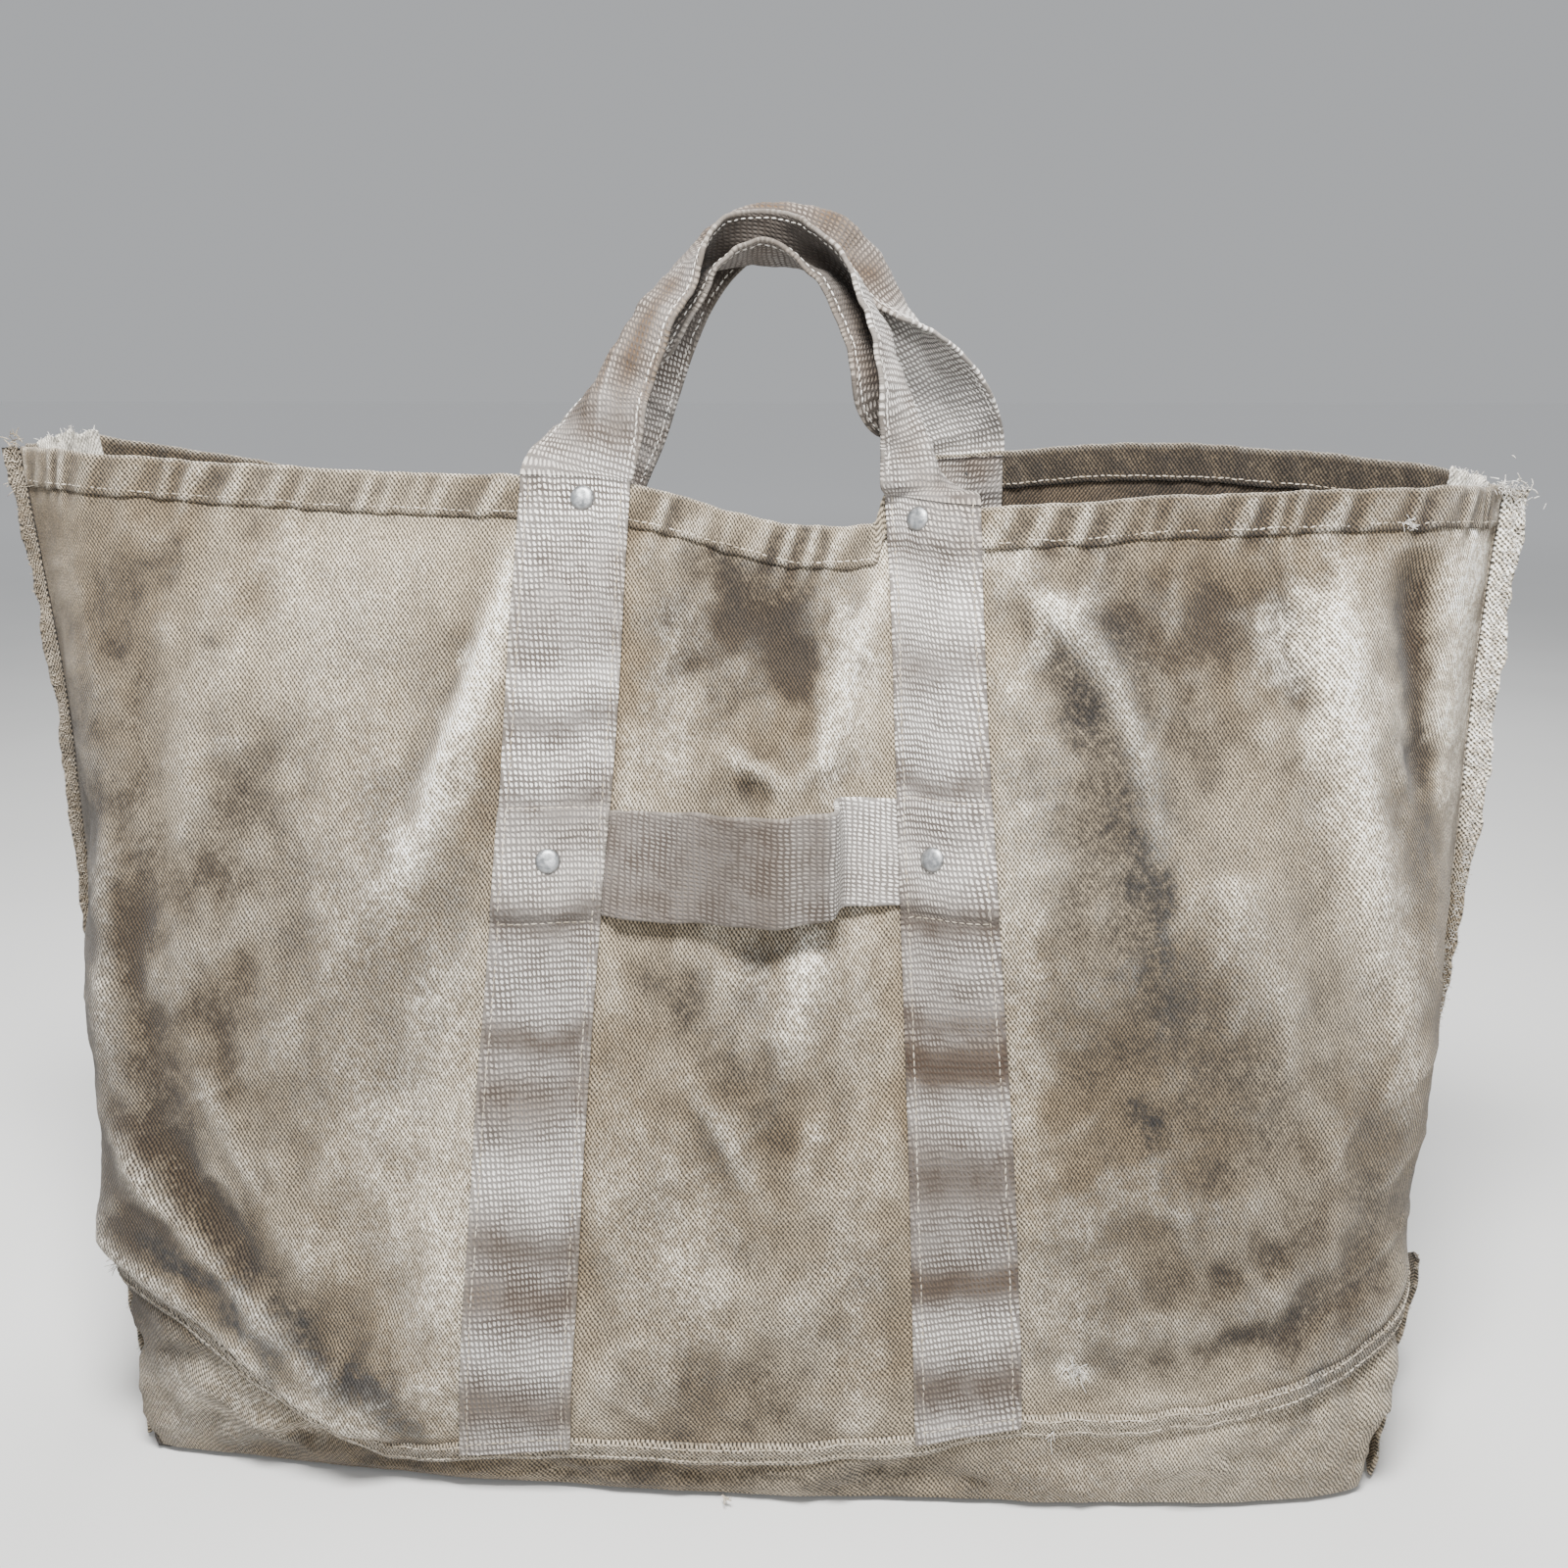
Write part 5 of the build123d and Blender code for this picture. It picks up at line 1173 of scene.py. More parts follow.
lap_f = lap("front_bottom_lap", 0.72, 10.28, False)
lap_b = lap("back_bottom_lap", 11.72, 20.28, True)
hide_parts("front_bottom_seam")
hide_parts("back_bottom_seam")
PIECES["lap_f"], PIECES["lap_b"] = lap_f, lap_b

# ---------------------------------------------------------------------- hem
HEM_SEC = [(0.15, -19.4), (1.0, -19.6), (1.55, -18.9), (1.7, -17.0), (1.62, -13.0), (1.66, -9.0), (1.75, -5.0), (1.7, -2.4), (1.2, -0.7),
           (-0.2, 0.15), (-1.7, -0.1), (-2.7, -1.0), (-3.05, -3.4), (-3.1, -8.0), (-3.1, -13.0), (-3.1, -17.5), (-2.9, -19.0), (-2.2, -19.3),
           (-1.55, -19.0), (-1.5, -10.0), (-1.45, -2.2), (0.05, -2.2), (0.08, -10.0)]


def hem(name, u0, u1, back):
    U = uspace(u0, u1, back, 1.8)
    s = arc(U, back)
    zr = rim(U, back) + 0.35 * N_LINE(s * 0.8 + 400)
    P = []
    for d, h in HEM_SEC:
        dd = d
        if d > 0.5:
            ph = (s - 0.42 * h) / 14.6
            dd = d + 0.22 * N_SMALL(s * 2.0, np.full(s.size, h * 2.0))
        edge = 0.18 * N_LINE(s * 1.6 + 100) if h < -18 else 0.0
        p, n = place(U, zr + h + edge, dd, back)
        P.append(p)
    P = np.stack(P, 1)
    m, k = P.shape[:2]
    f = []
    for i in range(m - 1):
        for j in range(k):
            j2 = (j + 1) % k
            f.append((i * k + j, (i + 1) * k + j, (i + 1) * k + j2, i * k + j2))
    f.append(tuple(range(k)))
    f.append(tuple((m - 1) * k + j for j in range(k - 1, -1, -1)))
    X, Z = P[..., 0], P[..., 2]
    hgt = np.array([h for _, h in HEM_SEC])[None, :]
    dcol = np.array([d for d, _ in HEM_SEC])[None, :]
    wave = hem_wave(np.repeat(U[:, None], k, 1), Z, back)
    so, sm, we = stains(X, Z, back)
    inn = (dcol < -0.9)
    # painted shade in the pucker hollows, on the inside ply and as a thin shadow line along the hem's lower edge;
    # painted highlight on the pucker crests; besides these, soil darker from x 90 mm rightwards and paler along the top
    # fold
    so = 0.34 + 0.22 * sstep(90, 150, X) + 0.5 * so + 0.26 * np.clip(-wave, 0, 1) + 0.35 * inn + 0.25 * np.exp(-((hgt + 19.2) / 1.2) ** 2)
    sm = 0.10 + 0.4 * sm + 0.14 * np.clip(-wave, 0, 1) + 0.2 * inn
    we = 0.2 * we + 0.42 * np.clip(wave, 0, 1) * (~inn) + 0.30 * np.exp(-(hgt / 1.2) ** 2)
    run = np.cumsum([0] + [math.dist(a, b) for a, b in zip(HEM_SEC, HEM_SEC[1:])])
    cv = np.stack([np.repeat(s[:, None], k, 1), np.repeat(run[None, :], m, 0), 0 * Z], -1)
    return make(name, P.reshape(-1, 3), f, [M_HEM], {"cv": cv.reshape(-1, 3), "soil_and_shade": so.ravel(), "smudge_and_shade": sm.ravel(), "wear_and_highlight": we.ravel()})


hem_f = hem("front_hem_cloth", 0.06, 10.9, False)
hem_b = hem("back_hem_cloth", 11.12, 20.93, True)
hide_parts("front_hem")
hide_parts("back_hem")
PIECES["hem_f"], PIECES["hem_b"] = hem_f, hem_b

# ------------------------------------------------------------------- straps
WEB_T = 2.4


def web_attrs(P, along0, across, soil_and_shade, smudge_and_shade, wear_and_highlight, extra=None):
    full = [np.broadcast_to(np.asarray(a, float), across.shape) for a in (soil_and_shade, smudge_and_shade, wear_and_highlight)]
    return {"wv": np.stack([across, along0, np.zeros_like(across)], -1), "soil_and_shade": full[0], "smudge_and_shade": full[1], "wear_and_highlight": full[2]}


# marks on each front strap: (z, half height, soil, smudge, wear)
BANDS = {
    "front_left": [(452, 8, 0.0, 0.0, 0.35), (400, 14, 0.10, 0.15, 0.1), (378, 7, 0.0, 0.05, 0.45), (362, 6, 0.1, 0.25, 0), (345, 7, 0, 0, 0.4), (325, 6, 0.1, 0.2, 0),
                   (296, 14, 0.0, 0.0, 0.35), (276, 6, 0.2, 0.35, 0), (250, 12, 0, 0.1, 0.2), (222, 7, 0.25, 0.25, 0), (196, 12, 0.2, 0.1, 0), (158, 16, 0.0, 0.0, 0.5), (128, 9, 0.25, 0.2, 0),
                   (104, 12, 0.3, 0.1, 0), (78, 9, 0.0, 0.1, 0.35), (52, 12, 0.3, 0.1, 0), (34, 6, 0.1, 0.1, 0.2)],
    "front_right": [(440, 8, 0.1, 0.1, 0), (415, 14, 0, 0, 0.5), (390, 9, 0.1, 0.2, 0), (360, 16, 0.0, 0.1, 0.3), (336, 5, 0.2, 0.3, 0), (300, 12, 0.0, 0.0, 0.4), (277, 6, 0.3, 0.3, 0),
                    (255, 10, 0.05, 0.1, 0.2), (232, 5, 0.25, 0.2, 0), (214, 9, 0.65, 0.3, 0), (192, 8, 0.1, 0.1, 0.25), (165, 14, 0.3, 0.25, 0), (138, 10, 0.15, 0.15, 0.1), (116, 9, 0.45, 0.2, 0),
                    (92, 9, 0.1, 0.05, 0.45), (68, 9, 0.3, 0.2, 0.0), (48, 5, 0.1, 0.1, 0.3)],
    "back_left": [(420, 16, 0.3, 0.1, 0), (340, 20, 0.0, 0.1, 0.3), (250, 16, 0.3, 0.2, 0), (160, 20, 0.1, 0.1, 0.3), (80, 14, 0.4, 0.2, 0)],
    "back_right": [(430, 14, 0.2, 0.1, 0.1), (360, 16, 0.0, 0.1, 0.35), (270, 20, 0.3, 0.2, 0), (190, 16, 0.1, 0.1, 0.3), (100, 14, 0.4, 0.2, 0)],
}


def strap(key):
    a, b, back = STRAPS[key]
    nj = 21
    um = (a + b) / 2
    top = float(rim(np.array([um]), back)[0])
    ni = 230
    v = np.linspace(0, 1, ni)
    uu = np.linspace(a, b, nj)
    if back:
        uu = uu  # left to right round the bag
    z0 = seam(uu) + 1.0
    z1 = rim(uu, back) - 0.2
    Z = z0[None, :] + (z1 - z0)[None, :] * v[:, None]
    U = np.repeat(uu[None, :], ni, 0)
    zr = rim(uu, back)[None, :]
    d = np.full(Z.shape, 0.25 + WEB_T / 2)
    if not back:
        lc = 299.5 if key == "front_left" else 303.0
        d = d + 2.7 * sstep(lc - 27, lc - 21, Z) * (1 - sstep(lc + 20, lc + 26, Z))
    d = d + 1.75 * sstep(zr - 24, zr - 18, Z)
    d = d + 1.2 * (1 - sstep(z0[None, :] + 2, z0[None, :] + 12, Z))
    # slack between stitch lines: it rises a little in the middle of its width
    f = np.linspace(-1, 1, nj)[None, :]
    zz = Z[:, nj // 2]
    wave = N_LINE(zz * 0.8 + a * 40) * 0.55
    d = d + (1 - f**2) * (0.35 + 0.55 * wave[:, None])
    P, _ = place(U, Z, d, back)
    if back:
        P = P  # same winding; outer normal handled by sign
    width = np.linalg.norm(P[:, -1] - P[:, 0], axis=-1)
    across = f * width[:, None] / 2
    mid = P[:, nj // 2]
    run = np.concatenate([[0], np.cumsum(np.linalg.norm(np.diff(mid, axis=0), axis=-1))])
    along = np.repeat(run[:, None], nj, 1)
    so = np.zeros(Z.shape)
    sm = np.zeros(Z.shape)
    we = np.zeros(Z.shape)
    zw = Z + 2.5 * N_LINE(P[..., 0] * 0.5 + a * 9)
    low = 1 - sstep(230, 410, zw)
    so, sm = so + 0.16 * low, sm + 0.16 * low
    for z, h, s1, s2, s3 in BANDS[key]:
        g = np.exp(-((zw - z) / h) ** 2)
        so, sm, we = so + g * s1 * 1.9, sm + g * s2 * 2.2, we + g * s3 * 1.8
    so = so + 0.10 + 0.12 * np.abs(f) ** 6
    tu = np.cross(np.gradient(P, axis=0), np.gradient(P, axis=1))
    out = P[ni // 2, nj // 2] - np.array([0, 0, P[ni // 2, nj // 2, 2]])
    sign = 1.0 if (tu[ni // 2, nj // 2] @ np.array([0, 1.0 if back else -1.0, 0])) > 0 else -1.0
    o = ribbon(key + "_strap_web", P, WEB_T, [M_WEB], web_attrs(P, along, across, so, sm, we), sign)
    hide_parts(key + "_strap")
    return o, P, run[-1], sign


STRAP = {k: strap(k) for k in STRAPS}
for k in STRAP:
    PIECES["strap_" + k] = STRAP[k][0]


def tab(key):
    """Webbing tab inside the rim, behind the hem."""
    a, b, back = STRAPS[key]
    nj, ni = 13, 34
    uu = np.linspace(a + 0.02, b - 0.02, nj)
    z1 = rim(uu, back) - 2.0
    z0 = z1 - 54.0 + 1.5 * N_LINE(uu * 30)
    v = np.linspace(0, 1, ni)
    Z = z0[None, :] + (z1 - z0)[None, :] * v[:, None]
    U = np.repeat(uu[None, :], ni, 0)
    zr = rim(uu, back)[None, :]
    d = np.full(Z.shape, -(CLOTH_T + 0.4 + WEB_T / 2)) - 2.0 * sstep(zr - 26, zr - 18, Z)
    P, _ = place(U, Z, d, back)
    f = np.linspace(-1, 1, nj)[None, :]
    width = np.linalg.norm(P[:, -1] - P[:, 0], axis=-1)
    across = f * width[:, None] / 2
    along = np.repeat((v * 54)[:, None], nj, 1)
    so = 0.35 + 0.15 * N_SMALL(P[..., 0], Z)
    sm = 0.15 + 0.1 * N_SMALL(P[..., 0] + 40, Z)
    we = np.zeros(Z.shape)
    tu = np.cross(np.gradient(P, axis=0), np.gradient(P, axis=1))
    sign = 1.0 if (tu[ni // 2, nj // 2] @ np.array([0, -1.0 if back else 1.0, 0])) > 0 else -1.0
    o = ribbon(key + "_tab_web", P, WEB_T, [M_WEB_IN_SHADED], web_attrs(P, along, across, so, sm, we), sign)
    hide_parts(key + "_tab")
    return o


for k in STRAPS:
    PIECES["tab_" + k] = tab(k)


# ---------------------------------------------------------------- tool loop
def u_of_x(x, z):
    us = np.linspace(2.5, 8.5, 700)
    xx, _ = base_xy(us, np.full(us.size, z))
    return float(np.interp(x, xx, us))


LOOP_W = 48.5
LOOP_PATH = [
    (-57.0, 4.0, 299.8, 22), (-44.0, 8.0, 300.3, 18), (-30.0, 13.0, 301.0, 11), (-12.0, 20.0, 302.0, 4),
    (8.0, 26.5, 303.0, 0), (24.0, 31.0, 304.4, -1), (34.0, 33.5, 305.2, 0), (38.6, 32.0, 305.5, 0),
    (40.2, 26.0, 305.5, 2), (40.8, 17.5, 305.5, 8), (43.0, 10.5, 305.3, 14), (48.5, 7.0, 304.8, 20), (58.0, 4.4, 303.6, 23),
]


def tool_loop():
    lo, hi = [], []

    def end(u, zc):
        half = LOOP_W / 2 * math.cos(math.radians(24))
        zz = np.array([zc - half, zc + half])
        p, _ = place(np.array([u, u]), zz, 0.3 + WEB_T / 2)
        lo.append(p[0])
        hi.append(p[1])
    for u in (3.45, 3.75, 3.97):
        end(u, 299.5)
    for x, off, z, lean in LOOP_PATH:
        u = u_of_x(x, z)
        q, _ = place(np.array([u]), np.array([float(z)]), 0.0)
        y = q[0, 1] - off
        dy, dz = LOOP_W / 2 * math.sin(math.radians(lean)), LOOP_W / 2 * math.cos(math.radians(lean))
        lo.append(np.array([x, y - dy, z - dz]))
        hi.append(np.array([x, y + dy, z + dz]))
    for u in (7.03, 7.25, 7.55):
        end(u, 303.0)
    lo, hi = np.array(lo), np.array(hi)
    m = (lo + hi) / 2
    s = np.concatenate([[0], np.cumsum(np.linalg.norm(np.diff(m, axis=0), axis=1))])
    ni, nj = ((170, 19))
    t = np.linspace(0, s[-1], ni)
    L = np.stack([herm(s, lo[:, k], t) for k in range(3)], -1)
    H = np.stack([herm(s, hi[:, k], t) for k in range(3)], -1)
    # round the edge's way a little, and never let the path bunch up
    f = np.linspace(-1, 1, nj)
    P = L[:, None, :] * ((1 - f) / 2)[None, :, None] + H[:, None, :] * ((1 + f) / 2)[None, :, None]
    free = sstep(35, 75, t) * (1 - sstep(s[-1] - 60, s[-1] - 34, t))
    n = normals_of(P)
    if n[ni // 3, nj // 2] @ np.array([0, -1, 0]) < 0:
        n = -n
    crease = t[np.argmin(np.abs(m[np.searchsorted(s, np.clip(t, 0, s[-1] - 1e-6), side="right") - 1][:, 0] - 38.0))]
    curl = (1.2 * np.clip(f, 0, 1) ** 2)[None, :] * free[:, None] * (1.0 + 0.8 * N_LINE(t * 0.35)[:, None])
    sag = 0.7 * free[:, None] * N_MID(t[:, None] * 1.6, f[None, :] * 30)
    P = P + n * (sag - curl)[..., None]
    P[..., 2] += (free * (0.8 * N_LINE(t * 0.5 + 70)))[:, None]
    across = np.repeat((f * LOOP_W / 2)[None, :], ni, 0)
    along = np.repeat(t[:, None], nj, 1)
    xx = P[..., 0]
    # painted shade and light: the left part, which hangs upright, drawn darker (soil, smudge) and the right part, which
    # lies back along the panel, drawn paler (wear)
    left = 1 - sstep(34, 42, xx)
    so = 0.48 * left + 0.12 + 0.2 * np.exp(-((xx - 10) / 9) ** 2) * left
    sm = 0.50 * left + 0.16 * np.exp(-((xx + 8) / 14) ** 2)
    we = 0.55 * (1 - left) + 0.14 * np.exp(-((xx - 22) / 6) ** 2)
    g = normals_of(P)
    sign = 1.0 if g[ni // 3, nj // 2] @ np.array([0, -1, 0]) > 0 else -1.0
    o = ribbon("tool_loop_web", P, WEB_T, [M_WEB], web_attrs(P, along, across, so, sm, we), sign)
    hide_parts("tool_loop")
    return o, P


LOOP, LOOP_P = tool_loop()
PIECES["loop"] = LOOP

# ------------------------------------------------------------------- handles
# Webbing that leaves the strap flat and folds along its middle into a grip.
# Stations: middle of the webbing (x, y, z), where its two halves point, in
# degrees from the hand hole towards the outside of the bag, and half its width.
FRONT_ST = [
    (-81.6, -0.6, 478.0, 190, 359, 24.3), (-79.6, 2.0, 485.5, 207, 360, 24.3), (-77.0, 6.0, 497.0, 227, 362, 24.3),
    (-74.9, 11.5, 511.5, 250, 364, 24.3), (-71.2, 16.0, 522.0, 282, 368, 24.3), (-65.0, 21.5, 534.5, 330, 378, 24.3), (-56.2, 29.0, 548.5, 372, 396, 24.3),
    (-45.0, 38.0, 560.5, 402, 412, 24.3), (-33.0, 45.5, 567.8, 430, 450, 24.3), (-18.0, 50.0, 570.0, 462, 498, 24.3),
    (-3.0, 52.0, 570.5, 477, 514, 24.3), (12.0, 51.0, 570.0, 474, 510, 24.3), (25.0, 48.5, 569.0, 456, 490, 24.3),
    (35.5, 44.5, 566.5, 438, 470, 24.3), (44.5, 40.5, 560.5, 424, 452, 24.2), (53.0, 36.5, 549.5, 412, 436, 24.1),
    (60.0, 32.0, 536.5, 404, 430, 24.0), (65.0, 27.0, 522.0, 394, 426, 23.8), (69.5, 23.0, 510.0, 366, 418, 23.5),
    (75.4, 19.5, 500.0, 322, 396, 23.4), (79.6, 17.0, 490.5, 296, 380, 23.3), (81.6, 14.5, 480.5, 272, 368, 23.3),
    (82.4, 11.4, 469.5, 240, 362, 23.4),
]
BACK_ST = [
    (-91.5, 102.0, 464.0, 182, 359, 24.5), (-86.0, 100.0, 476.0, 200, 360, 24.4), (-78.5, 97.0, 491.0, 230, 360, 24.3),
    (-69.5, 92.0, 515.0, 256, 361, 24.3), (-59.5, 88.0, 541.0, 266, 363, 24.3), (-46.5, 83.0, 566.0, 276, 368, 24.3),
    (-31.0, 79.5, 584.0, 310, 372, 24.3), (-13.0, 77.0, 596.2, 342, 370, 24.3),
    (6.0, 76.5, 599.2, 346, 370, 24.3), (26.0, 77.0, 596.5, 344, 368, 24.3), (44.0, 78.5, 588.5, 340, 366, 24.3),
    (57.5, 82.5, 574.5, 332, 364, 24.3), (67.0, 87.5, 557.0, 298, 360, 24.3), (76.0, 92.0, 538.5, 256, 358, 24.4),
    (85.0, 95.5, 520.5, 230, 357, 24.5), (92.5, 98.5, 504.0, 208, 358, 24.6), (97.0, 100.8, 489.0, 190, 359, 24.6),
]


def handle(name, stations, left, right, back, node, body):
    """left and right are (strap key, points of the strap's top row)."""
    flip = 1.0 if back else -1.0
    st = np.array(stations, float)

    # feet: follow the strap's own last row, so that the webbing runs on
    def foot(key):
        P = STRAP[key][1]
        nj = P.shape[1]
        top = P[-1]
        if (top[-1] - top[0])[0] < 0:
            top = top[::-1]
            pre = P[-6][::-1]
        else:
            pre = P[-6]
        return top, top - pre
    topL, dL = foot(left)
    topR, dR = foot(right)
    M = st[:, :3]
    s = np.concatenate([[0], np.cumsum(np.linalg.norm(np.diff(M, axis=0), axis=1))])
    ni = 300
    nj = 27
    t = np.linspace(0, s[-1], ni)
    C = np.stack([herm(s, M[:, k], t) for k in range(3)], -1)
    a1, a2, hw = (herm(s, st[:, k], t) for k in (3, 4, 5))
    a1 = np.radians(a1)
    a2 = np.radians(a2)
    T = np.gradient(C, axis=0)
    T /= np.linalg.norm(T, axis=1, keepdims=True)
    for _ in range(6):
        T[1:-1] = (T[:-2] + T[1:-1] + T[2:]) / 3
        T /= np.linalg.norm(T, axis=1, keepdims=True)
    Cd = np.tile(np.array([0, flip, 0.0]), (ni, 1))
    Cd -= T * (Cd * T).sum(1, keepdims=True)
    Cd /= np.linalg.norm(Cd, axis=1, keepdims=True)
    I = np.cross(T, Cd) if not back else np.cross(Cd, T)
    # cross-section: unit-length curve that turns in its middle
    K = 241
    q = np.linspace(-1, 1, K)
    ramp = sstep(-0.24, 0.24, q)
    ps = (a1 + math.pi)[:, None] + ramp[None, :] * ((a2 - a1) - math.pi)[:, None]
    # a slight roll of each half
    ps = ps + 0.10 * (q[None, :] ** 3) * np.sin((a2 - a1) / 2)[:, None]
    dx, dy = np.cos(ps), np.sin(ps)
    sx = np.concatenate([np.zeros((ni, 1)), np.cumsum((dx[:, 1:] + dx[:, :-1]) / 2, 1)], 1) * (2 / (K - 1))
    sy = np.concatenate([np.zeros((ni, 1)), np.cumsum((dy[:, 1:] + dy[:, :-1]) / 2, 1)], 1) * (2 / (K - 1))
    sx -= sx[:, K // 2][:, None]
    sy -= sy[:, K // 2][:, None]
    pick = np.linspace(0, K - 1, nj).round().astype(int)
    sx, sy, f = sx[:, pick] * hw[:, None], sy[:, pick] * hw[:, None], q[pick]
    P = C[:, None, :] + I[:, None, :] * sx[..., None] + Cd[:, None, :] * sy[..., None]
    # left half of the webbing is the outer one at both feet
    ft = (f + 1) / 2 * (topL.shape[0] - 1)
    k0 = np.clip(np.floor(ft).astype(int), 0, topL.shape[0] - 2)
    fr = (ft - k0)[:, None]
    TL = topL[k0] * (1 - fr) + topL[k0 + 1] * fr
    TR = topR[k0] * (1 - fr) + topR[k0 + 1] * fr
    DL = dL[k0] * (1 - fr) + dL[k0 + 1] * fr
    DR = dR[k0] * (1 - fr) + dR[k0 + 1] * fr
    DL /= np.linalg.norm(DL, axis=1, keepdims=True)
    DR /= np.linalg.norm(DR, axis=1, keepdims=True)
    # at the right foot the outer half is on the right
    TR, DR = TR[::-1], DR[::-1]
    # run-in rows from each strap's top to the first and last stations
    nf = 10
    rows_l, rows_r = [], []
    e0, e1 = P[0], P[-1]
    g0 = P[1] - P[0]
    g0 /= np.linalg.norm(g0, axis=1, keepdims=True)
    g1 = P[-2] - P[-1]
    g1 /= np.linalg.norm(g1, axis=1, keepdims=True)
    for k in range(nf):
        w = k / nf
        h00, h10, h01, h11 = 2 * w**3 - 3 * w**2 + 1, w**3 - 2 * w**2 + w, -2 * w**3 + 3 * w**2, w**3 - w**2
        ll = np.linalg.norm(e0 - TL, axis=1, keepdims=True)
        rows_l.append(TL * h00 + DL * ll * h10 + e0 * h01 + g0 * ll * h11)
        ll = np.linalg.norm(e1 - TR, axis=1, keepdims=True)
        rows_r.append(TR * h00 + DR * ll * h10 + e1 * h01 + g1 * ll * h11)
    P = np.concatenate([np.array(rows_l), P, np.array(rows_r)[::-1]])
    ni = len(P)
    # slack cloth: shallow waves down the legs
    n = normals_of(P)
    mid = P[:, nj // 2]
    run = np.concatenate([[0], np.cumsum(np.linalg.norm(np.diff(mid, axis=0), axis=-1))])
    lean = sstep(0, 30, run) * (1 - sstep(run[-1] - 30, run[-1], run))
    P = P + n * (lean[:, None] * (0.35 * N_SMALL(run[:, None] * 1.1, f[None, :] * 26 + 60) + 0.18 * N_FINE(run[:, None], f[None, :] * 24)))[..., None]
    along = np.repeat(run[:, None], nj, 1) + STRAP[left][2]
    across = np.repeat((f * 24.6)[None, :], ni, 0)
    return P, run, f, along, across, (TL, TR)


def handle_piece(name, key, stations, left, right, back, node, body):
    P, run, f, along, across, feet = handle(name, stations, left, right, back, node, body)
    ni, nj = P.shape[:2]
    X, Z = P[..., 0], P[..., 2]
    L = run[-1]
    s = run[:, None]
    ff = f[None, :]
    if not back:
        so = 0.26 + 0.85 * np.exp(-((s - 72) / 42) ** 2) * (0.62 + 0.38 * np.cos(ff * 11.0 + 0.8)) * sstep(-0.9, -0.4, ff)
        so = so + 0.50 * np.exp(-((s - 44) / 22) ** 2) * np.exp(-((ff + 0.3) / 0.5) ** 2)
        so = so + 0.55 * np.exp(-((s - (L - 95)) / 40) ** 2) * (ff < 0) + 0.35 * np.exp(-((s - L / 2) / 40) ** 2)
        sm = 0.16 + 0.45 * np.exp(-((s - L / 2) / 46) ** 2) + 0.35 * np.exp(-((s - 30) / 12) ** 2)
        we = 0.45 * np.exp(-((s - 50) / 22) ** 2) * (np.exp(-((ff - 0.16) / 0.05) ** 2) + 0.8 * np.exp(-((ff + 0.05) / 0.05) ** 2))
        we = we + 0.65 * np.exp(-((s - (L - 70)) / 32) ** 2) * np.exp(-((ff - 0.55) / 0.3) ** 2)
        we = we + 0.45 * np.exp(-((s - (L - 22)) / 16) ** 2) * np.exp(-((ff - 0.0) / 0.18) ** 2) + 0.25 * np.exp(-(s / 16) ** 2)
    else:
        # back handle: darker along its middle and in a band above the right foot; its last 70 to 90 mm by the right
        # foot drawn clean and pale, a painted highlight standing in for light on a leg that lies in shade
        so = (0.12 + 0.72 * np.exp(-((s - 0.5 * L) / 80) ** 2) + 0.42 * np.exp(-((s - (L - 112)) / 30) ** 2)) * (1 - 0.9 * sstep(L - 92, L - 66, s)) + 0 * ff
        sm = (0.12 + 0.26 * (1 - sstep(110, 180, s))) * (1 - 0.9 * sstep(L - 96, L - 70, s)) + 0 * ff
        we = 1.3 * sstep(L - 92, L - 66, s) * np.exp(-((ff + 0.1) / 1.1) ** 2) + 0.5 * np.exp(-((s - (L - 80)) / 30) ** 2) * np.exp(-(ff / 0.12) ** 2)
    so = so + 0.10 * N_SMALL(s * 1.0, ff * 24)
    g = normals_of(P)
    want = np.array([0, 1.0 if back else -1.0, 0])
    sign = 1.0 if g[3, nj // 2] @ want > 0 else -1.0
    at = web_attrs(P, along, across, so, sm, we)
    # the shaded hollow between the folded halves, along the grip
    mid = L * 0.5
    at["deep"] = np.repeat(np.exp(-((run - mid) / 78.0) ** 4)[:, None], nj, 1)
    o = ribbon(name, P, WEB_T, [M_WEB], at, sign)
    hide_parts(node)
    return o, P, g * sign, f, run


HF = handle_piece("front_handle_web", "front", FRONT_ST, "front_left", "front_right", False, "front_handle", "front_handle")
HB = handle_piece("back_handle_web", "back", BACK_ST, "back_left", "back_right", True, "back_handle", "back_handle")
PIECES["handle_f"], PIECES["handle_b"] = HF[0], HB[0]

# ------------------------------------------------------------------- stitches
STITCH = []


def along_line(P, pitch):
    P = np.asarray(P, float)
    s = np.concatenate([[0], np.cumsum(np.linalg.norm(np.diff(P, axis=0), axis=1))])
    t = np.arange(pitch / 2, s[-1], pitch)
    Q = np.stack([np.interp(t, s, P[:, k]) for k in range(3)], -1)
    T = np.stack([np.interp(t, s, np.gradient(P[:, k], s)) for k in range(3)], -1)
    return Q, T, t


def surface_stitches(name, U, Z, d, back, pitch, mat, width=0.9, length=0.78, seed=0, inside=False):
    p, n = place(U, Z, d, back)
    if inside:
        n = -n
    Q, T, t = along_line(p, pitch)
    s = np.concatenate([[0], np.cumsum(np.linalg.norm(np.diff(p, axis=0), axis=1))])
    Nn = np.stack([np.interp(t, s, n[:, k]) for k in range(3)], -1)
    o = capsules(name, Q, T, Nn, pitch * length, width, 0.75, mat, seed)
    STITCH.append((o, "bag"))
    return o


